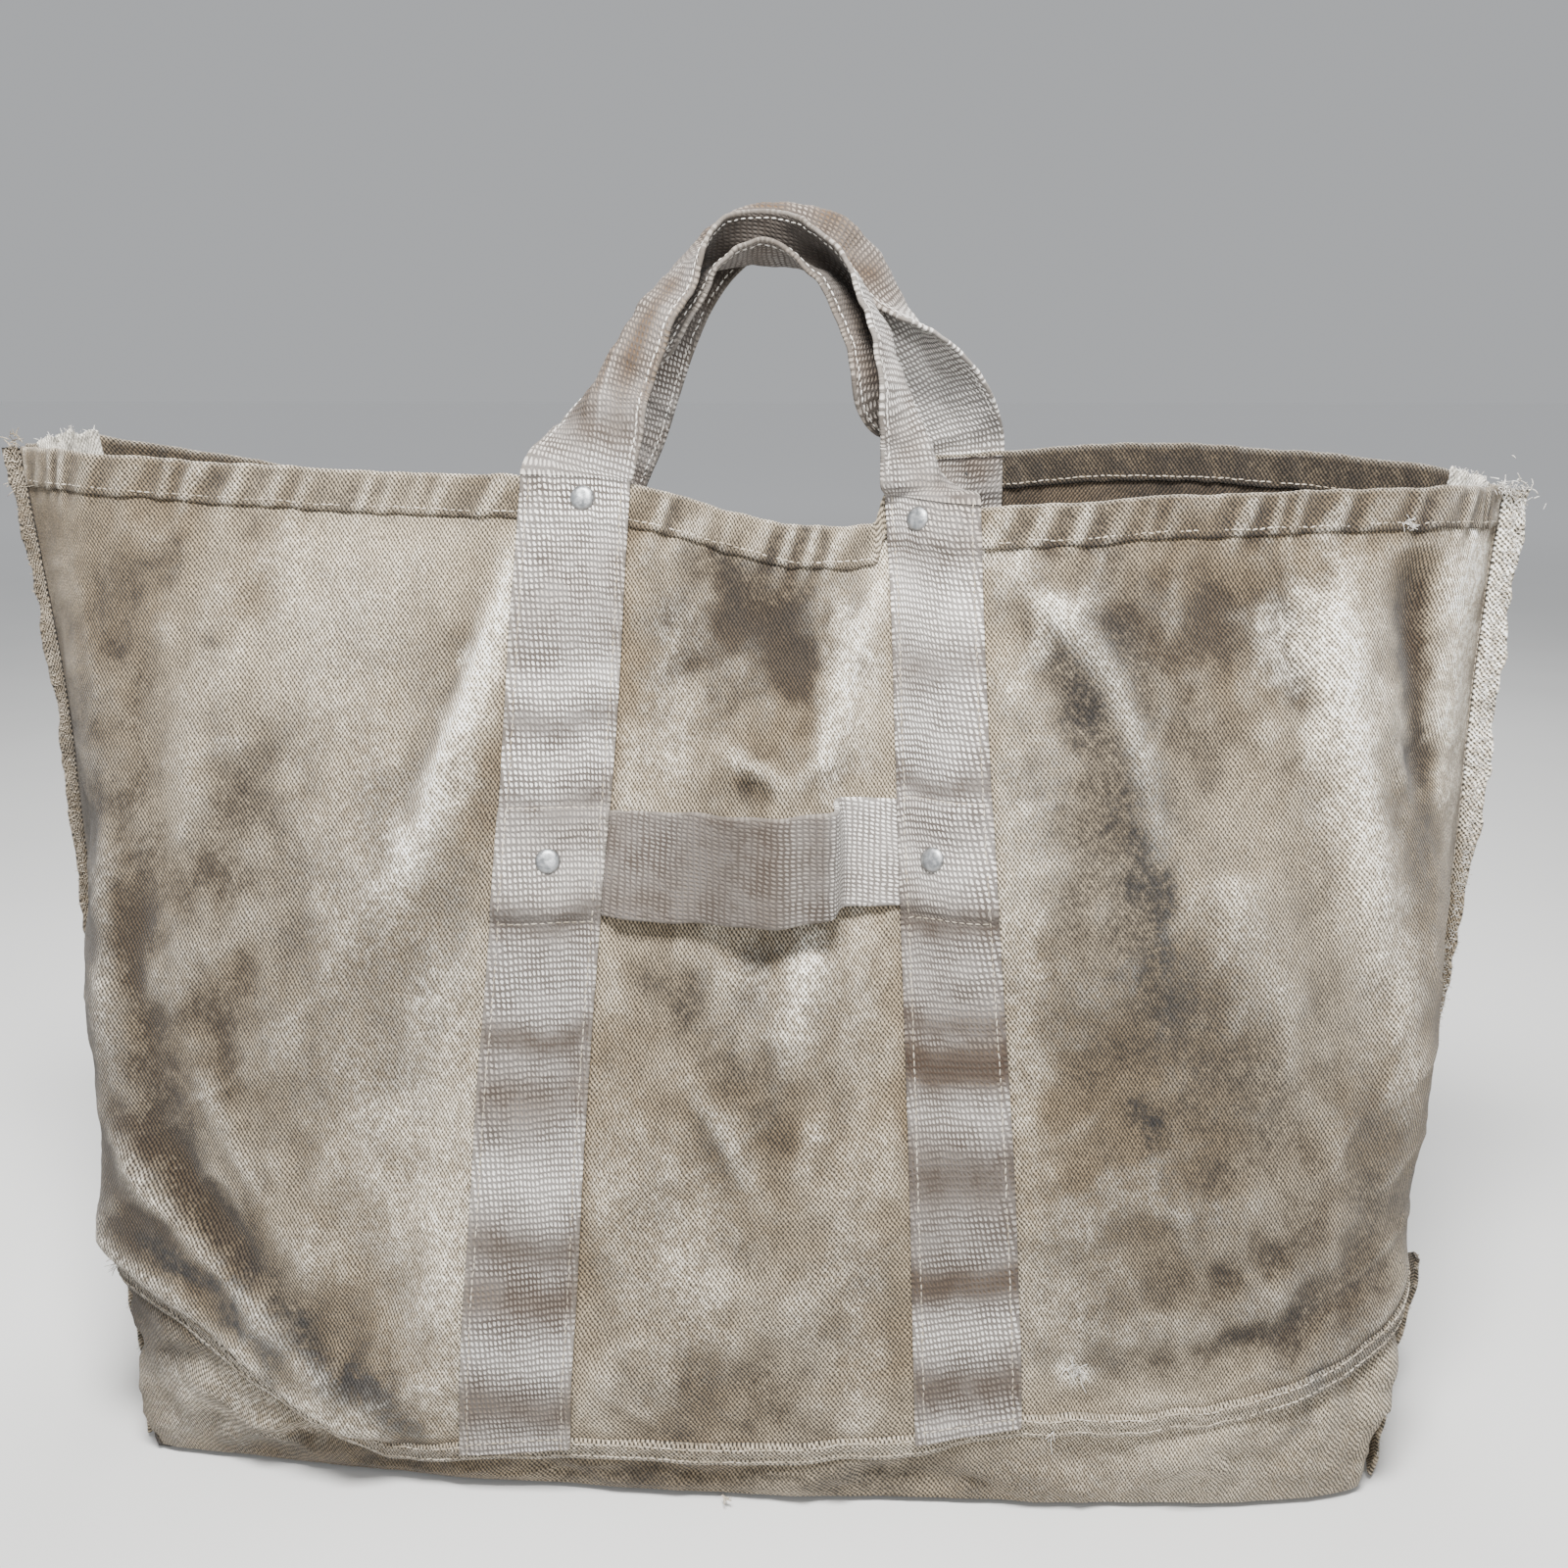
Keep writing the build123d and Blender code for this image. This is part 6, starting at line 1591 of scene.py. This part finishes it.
for back, tag in ((False, "front"), (True, "back")):
    lo, hi = (11.14, 20.9) if back else (0.1, 10.86)
    U = uspace(lo, hi, back, 2.0)
    s = arc(U, back)
    zr = rim(U, back)
    keep = strap_mask(U, back) < 0.98
    surface_stitches(tag + "_hem_stitches", U, zr - 16.6 + 0.25 * N_LINE(s * 0.5), 1.62, back, 3.6, M_STITCH, seed=11 + back)
    surface_stitches(tag + "_hem_stitches_inside", U, zr - 16.6 + 0.25 * N_LINE(s * 0.5), -3.15, back, 3.6, M_STITCH, seed=13 + back, inside=True)
    lo, hi = (11.8, 20.2) if back else (0.8, 10.2)
    U = uspace(lo, hi, back, 2.0)
    s = arc(U, back)
    w = 0.8 * N_LINE(s * 0.5 + 50)
    p, n = place(U, seam(U) + 3.7 + w, 2.35, back, calm=0.25)
    for k, (dz, d) in enumerate(((3.6, 2.3), (-3.4, 1.55))):
        p, n = place(U, seam(U) + dz + w, d, back, calm=0.25)
        Q, T, t = along_line(p, 3.4)
        ss = np.concatenate([[0], np.cumsum(np.linalg.norm(np.diff(p, axis=0), axis=1))])
        Nn = np.stack([np.interp(t, ss, n[:, q]) for q in range(3)], -1)
        STITCH.append((capsules("%s_lap_stitches_%d" % (tag, k), Q, T, Nn, 2.9, 0.85, 0.75, M_STITCH, 20 + k), "bag"))


def web_line(name, P, j, inset, pitch, mat, sign, i0=0, i1=None, seed=0, width=0.8, out=WEB_T / 2):
    """Stitches down the webbing, inset mm from its edge j (0 or -1)."""
    i1 = P.shape[0] if i1 is None else i1
    n = normals_of(P) * sign
    edge, nxt = (P[:, 0], P[:, 1]) if j == 0 else (P[:, -1], P[:, -2])
    k0, k1 = (0, 1) if j == 0 else (-1, -2)
    step = np.linalg.norm(nxt - edge, axis=1)
    pos = inset / step.mean()
    a = int(pos)
    fr = pos - a
    idx = lambda q: q if j == 0 else -1 - q
    L = P[:, idx(a)] * (1 - fr) + P[:, idx(a + 1)] * fr
    Nn = n[:, idx(a)]
    L = L + Nn * out
    L, Nn = L[i0:i1], Nn[i0:i1]
    Q, T, t = along_line(L, pitch)
    ss = np.concatenate([[0], np.cumsum(np.linalg.norm(np.diff(L, axis=0), axis=1))])
    N2 = np.stack([np.interp(t, ss, Nn[:, q]) for q in range(3)], -1)
    return capsules(name, Q, T, N2, pitch * 0.78, width, 0.7, mat, seed)


for k, (o, P, ln, sg) in STRAP.items():
    for e, j in (("left", 0), ("right", -1)):
        STITCH.append((web_line("%s_strap_stitches_%s" % (k, e), P, j, 3.0, 3.7, M_STITCH, sg, seed=31), "bag"))
    # stitched across at the foot, and above and below the loop
    n = normals_of(P) * sg
    zz = P[:, P.shape[1] // 2, 2]
    rows = [float(seam(np.array([(STRAPS[k][0] + STRAPS[k][1]) / 2]))[0]) + 6.5]
    if not STRAPS[k][2]:
        lc = 299.5 if k == "front_left" else 303.0
        rows += [lc + 25.0, lc - 25.5]
    for q, z in enumerate(rows):
        i = int(np.argmin(np.abs(zz - z)))
        L = P[i, 1:-1] + n[i, 1:-1] * (WEB_T / 2)
        Q, T, t = along_line(L, 3.7)
        N2 = np.tile(n[i, P.shape[1] // 2], (len(Q), 1))
        STITCH.append((capsules("%s_strap_cross_stitches_%d" % (k, q), Q, T, N2, 2.9, 0.8, 0.7, M_STITCH, 40 + q), "bag"))

HSTITCH = []
for nm, H, body in (("front", HF, "front_handle"), ("back", HB, "back_handle")):
    o, P, g, f, run = H
    sg = 1.0 if (g[3, 8] @ normals_of(P)[3, 8]) > 0 else -1.0
    for e, j in (("outer", 0), ("inner", -1)):
        s1 = web_line("%s_handle_stitches_%s" % (nm, e), P, j, 2.6, 3.7, M_WHITE, sg, 14, P.shape[0] - 14, 51, 0.85)
        s2 = web_line("%s_handle_stitches_%s_under" % (nm, e), P, j, 2.6, 3.7, M_WHITE, -sg, 14, P.shape[0] - 14, 52, 0.85)
        HSTITCH += [(s1, body), (s2, body)]

# ------------------------------------------------------- side seams and frays
FRAY = []


def side_seam(name, u, back_u, s, width, node, z_lo_u):
    """Raw seam allowance standing out from the side seam: two plies, frayed."""
    zr = float(rim(np.array([u]))[0])
    zs = z_lo_u
    ni = 220
    nj = 7
    Z = np.linspace(zs, zr - 1.0, ni)
    x, y = base_xy(np.full(ni, float(u)), Z)
    out = []
    f = np.linspace(0, 1, nj)
    for ply, dy in ((0, -0.9), (1, 0.9)):
        P = np.zeros((ni, nj, 3))
        wid = width(Z) * (1 + 0.08 * N_LINE(Z * 0.9 + 40 * ply)) + 0.22 * N_LINE(Z * 2.2 + 500 + 77 * ply)
        curl = 1.2 * N_LINE(Z * 0.5 + 90) + 0.5 * N_LINE(Z * 1.5 + 20 * ply)
        for j in range(nj):
            P[:, j, 0] = x + s * (0.2 + wid * f[j])
            P[:, j, 1] = y + dy * (1 + 0.6 * f[j]) + (curl - 2.6 * s * 0) * f[j] ** 1.5 - 2.2 * f[j]
            P[:, j, 2] = Z + 0.3 * N_LINE(Z * 2 + 30 * j)
        so, sm, we = (np.full((ni, nj), v) for v in (0.30, 0.12, 0.2))
        if s > 0:
            we = we + 1.0 * sstep(260, 340, Z)[:, None]
            so = so - 0.1
        else:
            so = so + 0.45
        cv = np.stack([np.repeat((f * 8)[None, :], ni, 0), np.repeat(Z[:, None], nj, 1), 0 * so], -1)
        o = ribbon(name + "_ply_%d" % ply, P, 1.7, [M_HEM], {"cv": cv, "soil_and_shade": so, "smudge_and_shade": sm, "wear_and_highlight": we})
        out.append(o)
        # yarn ends along the raw edge
        r = np.random.default_rng(60 + ply + (10 if s > 0 else 0))
        m = int((zr - zs) * (4.5))
        k = r.integers(0, ni - 1, m)
        fr = r.uniform(0.3, 1.0, m)
        st = P[k, (fr * (nj - 1)).astype(int)] + r.normal(0, 0.35, (m, 3)) + np.array([0, -0.7, 0])
        dr = np.tile(np.array([s * 1.0, -0.35, 0.05]), (m, 1))
        FRAY.append((threads(name + "_yarns_%d" % ply, st, dr, M_FRAY if s < 0 else M_WHITE, (0.8, 3.0) if s < 0 else (1.2, 4.2), 0.26, 70 + ply, 0.3, 0.45, 3), "bag"))
    return out, x, y, Z


sl, lx, ly, lz = side_seam("left_side_seam", 0.0, 21, -1, lambda z: 4.0 + 1.6 * sstep(440, 480, z), "left_side_seam", 104.0)
sr, rx, ry, rz = side_seam("right_side_seam", 11.0, 11, 1, lambda z: 4.6 + 5.4 * sstep(240, 330, z), "right_side_seam", 104.0)
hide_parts("left_side_seam")
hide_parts("right_side_seam")
PIECES["seam_l"], PIECES["seam_r"] = sl, sr
for nm, u, s in (("right", 11.0, 1),):
    Z = np.arange(108, float(rim(np.array([u]))[0]) - 4, 3.5)
    for side, back in (("front", False), ("back", True)):
        uu = (0.075 if s < 0 else 10.925) if not back else (20.925 if s < 0 else 11.075)
        surface_stitches("%s_seam_stitches_%s" % (nm, side), np.full(Z.size, uu), Z, 0.25, back, 3.6, M_STITCH, seed=80)


def corner_bits(name, centre, n, size, seed, mat):
    """Torn, knotted yarn at a corner of the mouth."""
    r = np.random.default_rng(seed)
    st = np.array(centre) + r.normal(0, 1, (n, 3)) * np.array(size)
    dr = r.normal(0, 1, (n, 3))
    o = threads(name, st, dr, mat, (2.5, 7), 0.34, seed, 0.5, 0.6, 6)
    FRAY.append((o, "bag"))


corner_bits("left_corner_yarns", (-372, 36, 473), 90, (2.2, 2.5, 8.0), 91, M_FRAY)
corner_bits("right_corner_yarns", (361, 50, 464), 110, (6.0, 4.0, 2.4), 92, M_WHITE)
corner_bits("right_edge_yarns", (368, 50, 452), 70, (2.0, 2.5, 9.0), 93, M_WHITE)


# ------------------------------------------------------------- corner tapes
def tape(name, u0, u1, node, crumple, lift):
    ni, nj = 60, 14
    U = np.linspace(u0, u1, ni)
    v = np.linspace(0, 1, nj)
    zr = rim(U, True)
    Z = (zr - 17)[:, None] + v[None, :] * (17 + lift)
    UU = np.repeat(U[:, None], nj, 1)
    s = arc(U, True)[:, None]
    d = -4.4 + crumple * (0.8 * N_SMALL(s * 2.4, v[None, :] * 22) + 0.7 * N_FINE(s * 1.1, v[None, :] * 18 + 5)) * (0.25 + 0.75 * v[None, :]) + 1.4 * v[None, :] ** 3
    P, _ = place(UU, Z, np.minimum(d, -3.6 + 3.0 * v[None, :] ** 4), True)
    P[..., 2] += crumple * 0.8 * N_SMALL(s * 2 + 90, v[None, :] * 12) * v[None, :]
    so = 0.10 + 0.25 * np.clip(N_SMALL(s * 2, v[None, :] * 20), 0, 1)
    cv = np.stack([s + 0 * v[None, :], 17 * v[None, :] + 0 * s, 0 * so], -1)
    o = ribbon(name, P, 0.9, [M_TAPE], {"cv": cv, "soil_and_shade": so, "smudge_and_shade": 0.3 * so, "wear_and_highlight": 0 * so + 0.4})
    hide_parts(node)
    r = np.random.default_rng(95)
    k = r.integers(0, ni, 40)
    FRAY.append((threads(name + "_yarns", P[k, -1], np.tile([0, 0, 1.0], (40, 1)), M_WHITE, (1.5, 4.0), 0.25, 96, 0.2, 0.8), "bag"))
    return o


PIECES["tape_l"] = tape("left_corner_tape_cloth", 20.12, 20.82, "left_corner_tape", 1.0, 1.6)
PIECES["tape_r"] = tape("right_corner_tape_cloth", 11.2, 11.75, "right_corner_tape", 1.2, 1.5)


# ---------------------------------------------------------------- corner ears
def ear(name, s, tip_y, node):
    ni, nj = 40, 46
    t = np.linspace(0, 0.97, ni)[:, None]
    k = np.linspace(0, 1, nj)[None, :]
    x = 301.5 + 41.0 * t**1.1
    z = 2.4 + 78.0 * t
    y0 = -78 + (tip_y + 78) * t
    y1 = 82 + (tip_y - 82) * t
    X = s * (x + 1.6 + 1.1 * N_SMALL(y0 + (y1 - y0) * k, z * 1.3 + 40 * s)) + 0 * k
    Y = y0 + (y1 - y0) * k
    Zz = z + 0 * k + 0.4 * N_SMALL(Y, z + 60)
    P = np.stack([X, Y, np.maximum(Zz, 1.6)], -1)
    so = 0.35 + 0.2 * np.clip(N_MID(Y, Zz), -1, 1)
    cv = np.stack([Y, Zz, 0 * Y], -1)
    tn = normals_of(P)
    sign = 1.0 if tn[ni // 2, nj // 2, 0] * s > 0 else -1.0
    o = ribbon(name, P, 2.6, [M_CANVAS], {"cv": cv, "soil_and_shade": so, "smudge_and_shade": 0.4 * so, "wear_and_highlight": 0.15 + 0 * so}, sign)
    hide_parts(node)
    r = np.random.default_rng(101)
    m = 260
    i = r.integers(2, ni - 1, m)
    e = r.integers(0, 2, m)
    st = np.where((e == 0)[:, None], P[i, 0], P[i, -1])
    dr = np.where((e == 0)[:, None], np.array([0.5 * s, -1.0, 0.3]), np.array([0.5 * s, 1.0, 0.3]))
    FRAY.append((threads(name + "_yarns", st, dr, M_WHITE, (1.0, 4.0), 0.26, 102, 0.3, 0.5, 3), "bag"))
    for q, inset in ((0, 4), (1, -5)):
        L = P[2:, inset] + tn[2:, inset] * sign * 1.35
        Q, T, tt = along_line(L, 3.6)
        N2 = np.tile(np.array([s * 1.0, 0, 0.2]), (len(Q), 1))
        STITCH.append((capsules("%s_stitches_%d" % (name, q), Q, T, N2, 2.8, 0.85, 0.75, M_STITCH, 103 + q), "bag"))
    return o


PIECES["ear_l"] = ear("left_ear_cloth", -1, -6, "left_corner_ear")
PIECES["ear_r"] = ear("right_ear_cloth", 1, -6, "right_corner_ear")


# ------------------------------------------------------------------- rivets
def rivet(name, p, n, deep, node):
    """Domed head outside, split shank, four prongs clinched over inside."""
    n = n / np.linalg.norm(n)
    a = np.cross(n, (0, 0, 1.0))
    a /= np.linalg.norm(a)
    b = np.cross(n, a)
    R, Hh = 5.8, 2.6
    seg = 40
    prof = [(0.0, Hh - 0.30), (1.0, Hh - 0.30), (2.0, Hh - 0.34), (3.0, Hh - 0.44), (3.9, Hh - 0.62), (4.7, Hh - 0.95), (5.3, Hh - 1.45), (5.7, 0.85), (5.85, 0.45), (5.8, 0.1), (5.4, -0.1), (2.0, -0.1), (2.0, -deep)]
    r = np.random.default_rng(int(abs(p[0])))
    dent = r.uniform(0, 2 * math.pi)
    V, F, deepv = [], [], []
    for q, (rad, h) in enumerate(prof):
        for k in range(seg):
            g = 2 * math.pi * k / seg
            dd = -0.30 * math.exp(-((rad * math.cos(g - dent) - 1.4) ** 2 + (rad * math.sin(g - dent)) ** 2) / 2.4) - 0.18 * math.exp(-((rad * math.cos(g - dent) + 2.0) ** 2 + (rad * math.sin(g - dent) - 1.0) ** 2) / 1.4)
            V.append(p + a * (rad * math.cos(g)) + b * (rad * math.sin(g)) + n * (h + dd * (h > 1)))
            deepv.append(0.0 if rad < 5.0 or h > 1.2 else 0.55 if h > 0.2 else 0.9)
    for q in range(len(prof) - 1):
        for k in range(seg):
            k2 = (k + 1) % seg
            F.append((q * seg + k, (q + 1) * seg + k, (q + 1) * seg + k2, q * seg + k2))
    F.append(tuple((len(prof) - 1) * seg + k for k in range(seg - 1, -1, -1)))
    # prongs
    for m in range(4):
        g = math.radians(45 + 90 * m)
        d = a * math.cos(g) + b * math.sin(g)
        w = -a * math.sin(g) + b * math.cos(g)
        L = 7.0 * (0.9 + 0.15 * math.cos(m * 2.1))
        st = [(0.2, -deep + 0.6, 1.5), (1.6, -deep - 0.7, 1.45), (3.4, -deep - 1.15, 1.25), (5.2, -deep - 0.85, 0.95), (L, -deep - 0.1, 0.35)]
        o = len(V)
        for rr, h, hw in st:
            for ww, hh in ((-hw, 0.35), (hw, 0.35), (hw, -0.35), (-hw, -0.35)):
                V.append(p + d * rr + w * ww + n * (h + hh))
                deepv.append(0.5)
        for k in range(len(st) - 1):
            for c in range(4):
                c2 = (c + 1) % 4
                F.append((o + k * 4 + c, o + (k + 1) * 4 + c, o + (k + 1) * 4 + c2, o + k * 4 + c2))
        F.append((o, o + 1, o + 2, o + 3))
        e = o + (len(st) - 1) * 4
        F.append((e + 3, e + 2, e + 1, e))
    ob = make(name, V, F, [M_ZINC], {"deep": np.array(deepv)}, sharp=50)
    import bmesh
    bm = bmesh.new()
    bm.from_mesh(ob.data)
    bmesh.ops.remove_doubles(bm, verts=bm.verts, dist=0.00001)
    bmesh.ops.recalc_face_normals(bm, faces=bm.faces)
    bm.to_mesh(ob.data)
    bm.free()
    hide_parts(node)
    return ob


def rivet_at(name, key, f, z, node, depth):
    """Sits on the strap's outer face at a share f of its width and height z."""
    P, sg = STRAP[key][1], STRAP[key][3]
    n = normals_of(P) * sg
    nj = P.shape[1]
    j = f * (nj - 1)
    j0 = int(j)
    fr = j - j0
    col = P[:, j0] * (1 - fr) + P[:, j0 + 1] * fr
    i = int(np.argmin(np.abs(col[:, 2] - z)))
    p = col[i] + n[i, j0] * (WEB_T / 2 - 0.25)
    RIV.append((rivet(name, p, n[i, j0], depth, node), "bag"))
    return p


RIV = []
rl = float(rim(np.array([3.5]))[0])
rr_ = float(rim(np.array([7.5]))[0])
rivet_at("front_left_rim_rivet_zinc", "front_left", 0.53, rl - 8.4, "front_left_rim_rivet", 9.4)
rivet_at("front_right_rim_rivet_zinc", "front_right", 0.43, rr_ - 8.4, "front_right_rim_rivet", 9.4)
rivet_at("front_left_loop_rivet_zinc", "front_left", 0.43, 302.5, "front_left_loop_rivet", 8.2)
rivet_at("front_right_loop_rivet_zinc", "front_right", 0.45, 303.6, "front_right_loop_rivet", 8.2)
zr14, zr15 = rim(np.array([14.0, 15.0]), True)
rivet_at("back_right_rim_rivet_zinc", "back_right", 0.36, zr14 + (zr15 - zr14) * 0.36 - 11.4, "back_right_rim_rivet", 9.4)
zr17, zr18 = rim(np.array([17.0, 18.0]), True)
rivet_at("back_left_rim_rivet_zinc", "back_left", 0.50, (zr17 + zr18) / 2 - 11.4, "back_left_rim_rivet", 9.4)


# ------------------------------------------------------------- small details
def tuft(name, u, z, n, seed, length=(3, 7), d=1.0, back=False):
    p, nn = place(np.array([u]), np.array([float(z)]), d, back)
    r = np.random.default_rng(seed)
    st = p[0] + r.normal(0, 1.3, (n, 3)) * np.array([1, 0.3, 1])
    dr = nn[0] + r.normal(0, 0.9, (n, 3))
    FRAY.append((threads(name, st, dr, M_WHITE, length, 0.3, seed, 0.7, 0.7, 6), "bag"))


tuft("thread_knot", 8.34, 76, 26, 201, (4, 9))
tuft("hem_tear_yarns", 9.72, float(rim(np.array([9.72]))[0]) - 17.0, 30, 202, (2, 5), 1.6)
tuft("seam_loose_end", 8.2, 44, 10, 203, (3, 8))
tuft("left_bottom_yarns", 0.98, 101, 24, 204, (3, 8))
p, nn = place(np.array([5.35]), np.array([4.6]), -2.0)
FRAY.append((threads("hanging_bit", np.repeat(p + np.array([[0, -2.0, -0.4]]), 5, 0), np.tile([0.6, -0.8, 0.02], (5, 1)), M_FRAY, (3, 6), 0.5, 205, 0.0, 0.15, 5), "bag"))

# ----------------------------------------------------------------- riding
for k, o in PIECES.items():
    if k in ("handle_f", "handle_b"):
        continue
    for q in (o if isinstance(o, list) else [o]):
        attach(q, "bag")
for o, b in STITCH + FRAY + RIV:
    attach(o, b)


def half_area(o):
    return sum(p.area for p in o.data.polygons) / 2


for key, cut, made, on, extra in (
        ("front", (0.80, 0.48), 0.35, ["bottom_cloth"], [PIECES["hem_f"]]),
        ("back", (0.80, 0.48), 0.35, ["bottom_cloth"], [PIECES["hem_b"]]),
        ("bottom", (0.79, 0.39), 0.21, ["studio_floor"], [])):
    print("flat", key, cut[0] * cut[1], "made", half_area(PIECES[key]))


def joint(name):
    return next(j for j in frame["joints"] if j["name"] == name)


def blend_all(objs, left, right):
    """Bakes each piece's transform into its mesh; the hinge line between the straps' top rows is worked out but not
    used.
    """
    for o in objs:
        l, r = STRAP[left][1][-1].mean(0), STRAP[right][1][-1].mean(0)
        t = (r - l) / np.linalg.norm(r - l)
        up = np.array([0.0, 0.0, 1.0]) - t * t[2]
        up /= np.linalg.norm(up)
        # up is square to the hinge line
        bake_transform(o)


blend_all([PIECES["handle_f"]] + [o for o, b in HSTITCH if b == "front_handle"], "front_left", "front_right")
blend_all([PIECES["handle_b"]] + [o for o, b in HSTITCH if b == "back_handle"], "back_left", "back_right")

SLOT = {"M_WEB": "webbing"}
for o in bpy.context.scene.objects:
    if o.type != "MESH" or "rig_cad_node" in o:
        continue
    m = o.data.materials[0].name if o.data.materials else ""
    s = {"webbing_outer": "webbing", "webbing_inner_shaded": "webbing", "zinc": "rivet", "white_tape": "tape"}.get(m, "canvas")

# --------------------------------------------------------- floor, light, camera
bpy.ops.mesh.primitive_plane_add(size=60, location=(0, 0, -0.0006))
floor = bpy.context.object
floor.name = "studio_floor"
g = G("studio_floor")
nf = g.noise(g.scale(g.obj(), (1.0, 1.0, 1.0)), 1.4, 3.0)
fp = g.sep(g.obj())
far = g.math("SQRT", g.math("ADD", g.math("MULTIPLY", fp[0], fp[0]), g.math("MULTIPLY", fp[1], fp[1])))
near = g.mix(g.ramp(nf, 0.3, 0.7), (0.64, 0.64, 0.63), (0.69, 0.69, 0.68))
floor.data.materials.append(g.done(g.mix(g.ramp(far, 1.6, 6.0), near, (0.97, 0.97, 0.97)), 0.85, None, spec=0.05))
floor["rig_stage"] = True

world = bpy.data.worlds.new("studio")
world.use_nodes = True
bg = world.node_tree.nodes["Background"]
bg.inputs[0].default_value = (0.90, 0.92, 0.95, 1)
bg.inputs[1].default_value = 0.52
bpy.context.scene.world = world


def area(name, loc, target, size, power, color=(1, 1, 1)):
    l = bpy.data.lights.new(name, "AREA")
    l.shape = "RECTANGLE"
    l.size, l.size_y = size
    l.energy = power
    l.color = color
    o = link(bpy.data.objects.new(name, l))
    o.location = loc
    d = np.array(target) - np.array(loc)
    from mathutils import Vector
    o.rotation_euler = Vector(d).to_track_quat("-Z", "Y").to_euler()
    return o


area("key", (0.0, -0.62, 1.50), (0.0, 0.0, 0.20), (0.50, 0.34), 62, (1.0, 0.99, 0.97))
area("fill", (-1.8, -1.4, 1.2), (0, 0, 0.25), (1.4, 1.2), 7, (0.95, 0.97, 1.0))
area("front", (0.55, -1.9, 1.05), (0.05, 0.0, 0.48), (0.8, 0.6), 11, (1.0, 0.99, 0.98))
area("back", (0.2, 1.3, 1.9), (0, 0.05, 0.3), (1.4, 1.0), 38)

# a soft lamp on the handles
sp = bpy.data.lights.new("handle_lamp", "SPOT")
sp.energy, sp.spot_size, sp.spot_blend, sp.shadow_soft_size = 26, math.radians(30), 1.0, 0.12
so_ = bpy.data.objects.new("handle_lamp", sp)
bpy.context.scene.collection.objects.link(so_)
so_.location = (0.42, -0.95, 0.72)
so_.rotation_euler = (mathutils.Vector((0.085, 0.05, 0.525)) - so_.location).to_track_quat("-Z", "Y").to_euler()

cam = bpy.data.cameras.new("camera")
cam.lens = 35.03
cam.sensor_width = 36.0
cam.sensor_fit = "HORIZONTAL"
cam.clip_start, cam.clip_end = 0.02, 60
co = link(bpy.data.objects.new("camera", cam))
co.location = (0.050, -0.721, 0.518)
co.rotation_euler = (math.radians(75.0), 0.0, math.radians(2.9))
bpy.context.scene.camera = co

lo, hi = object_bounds()
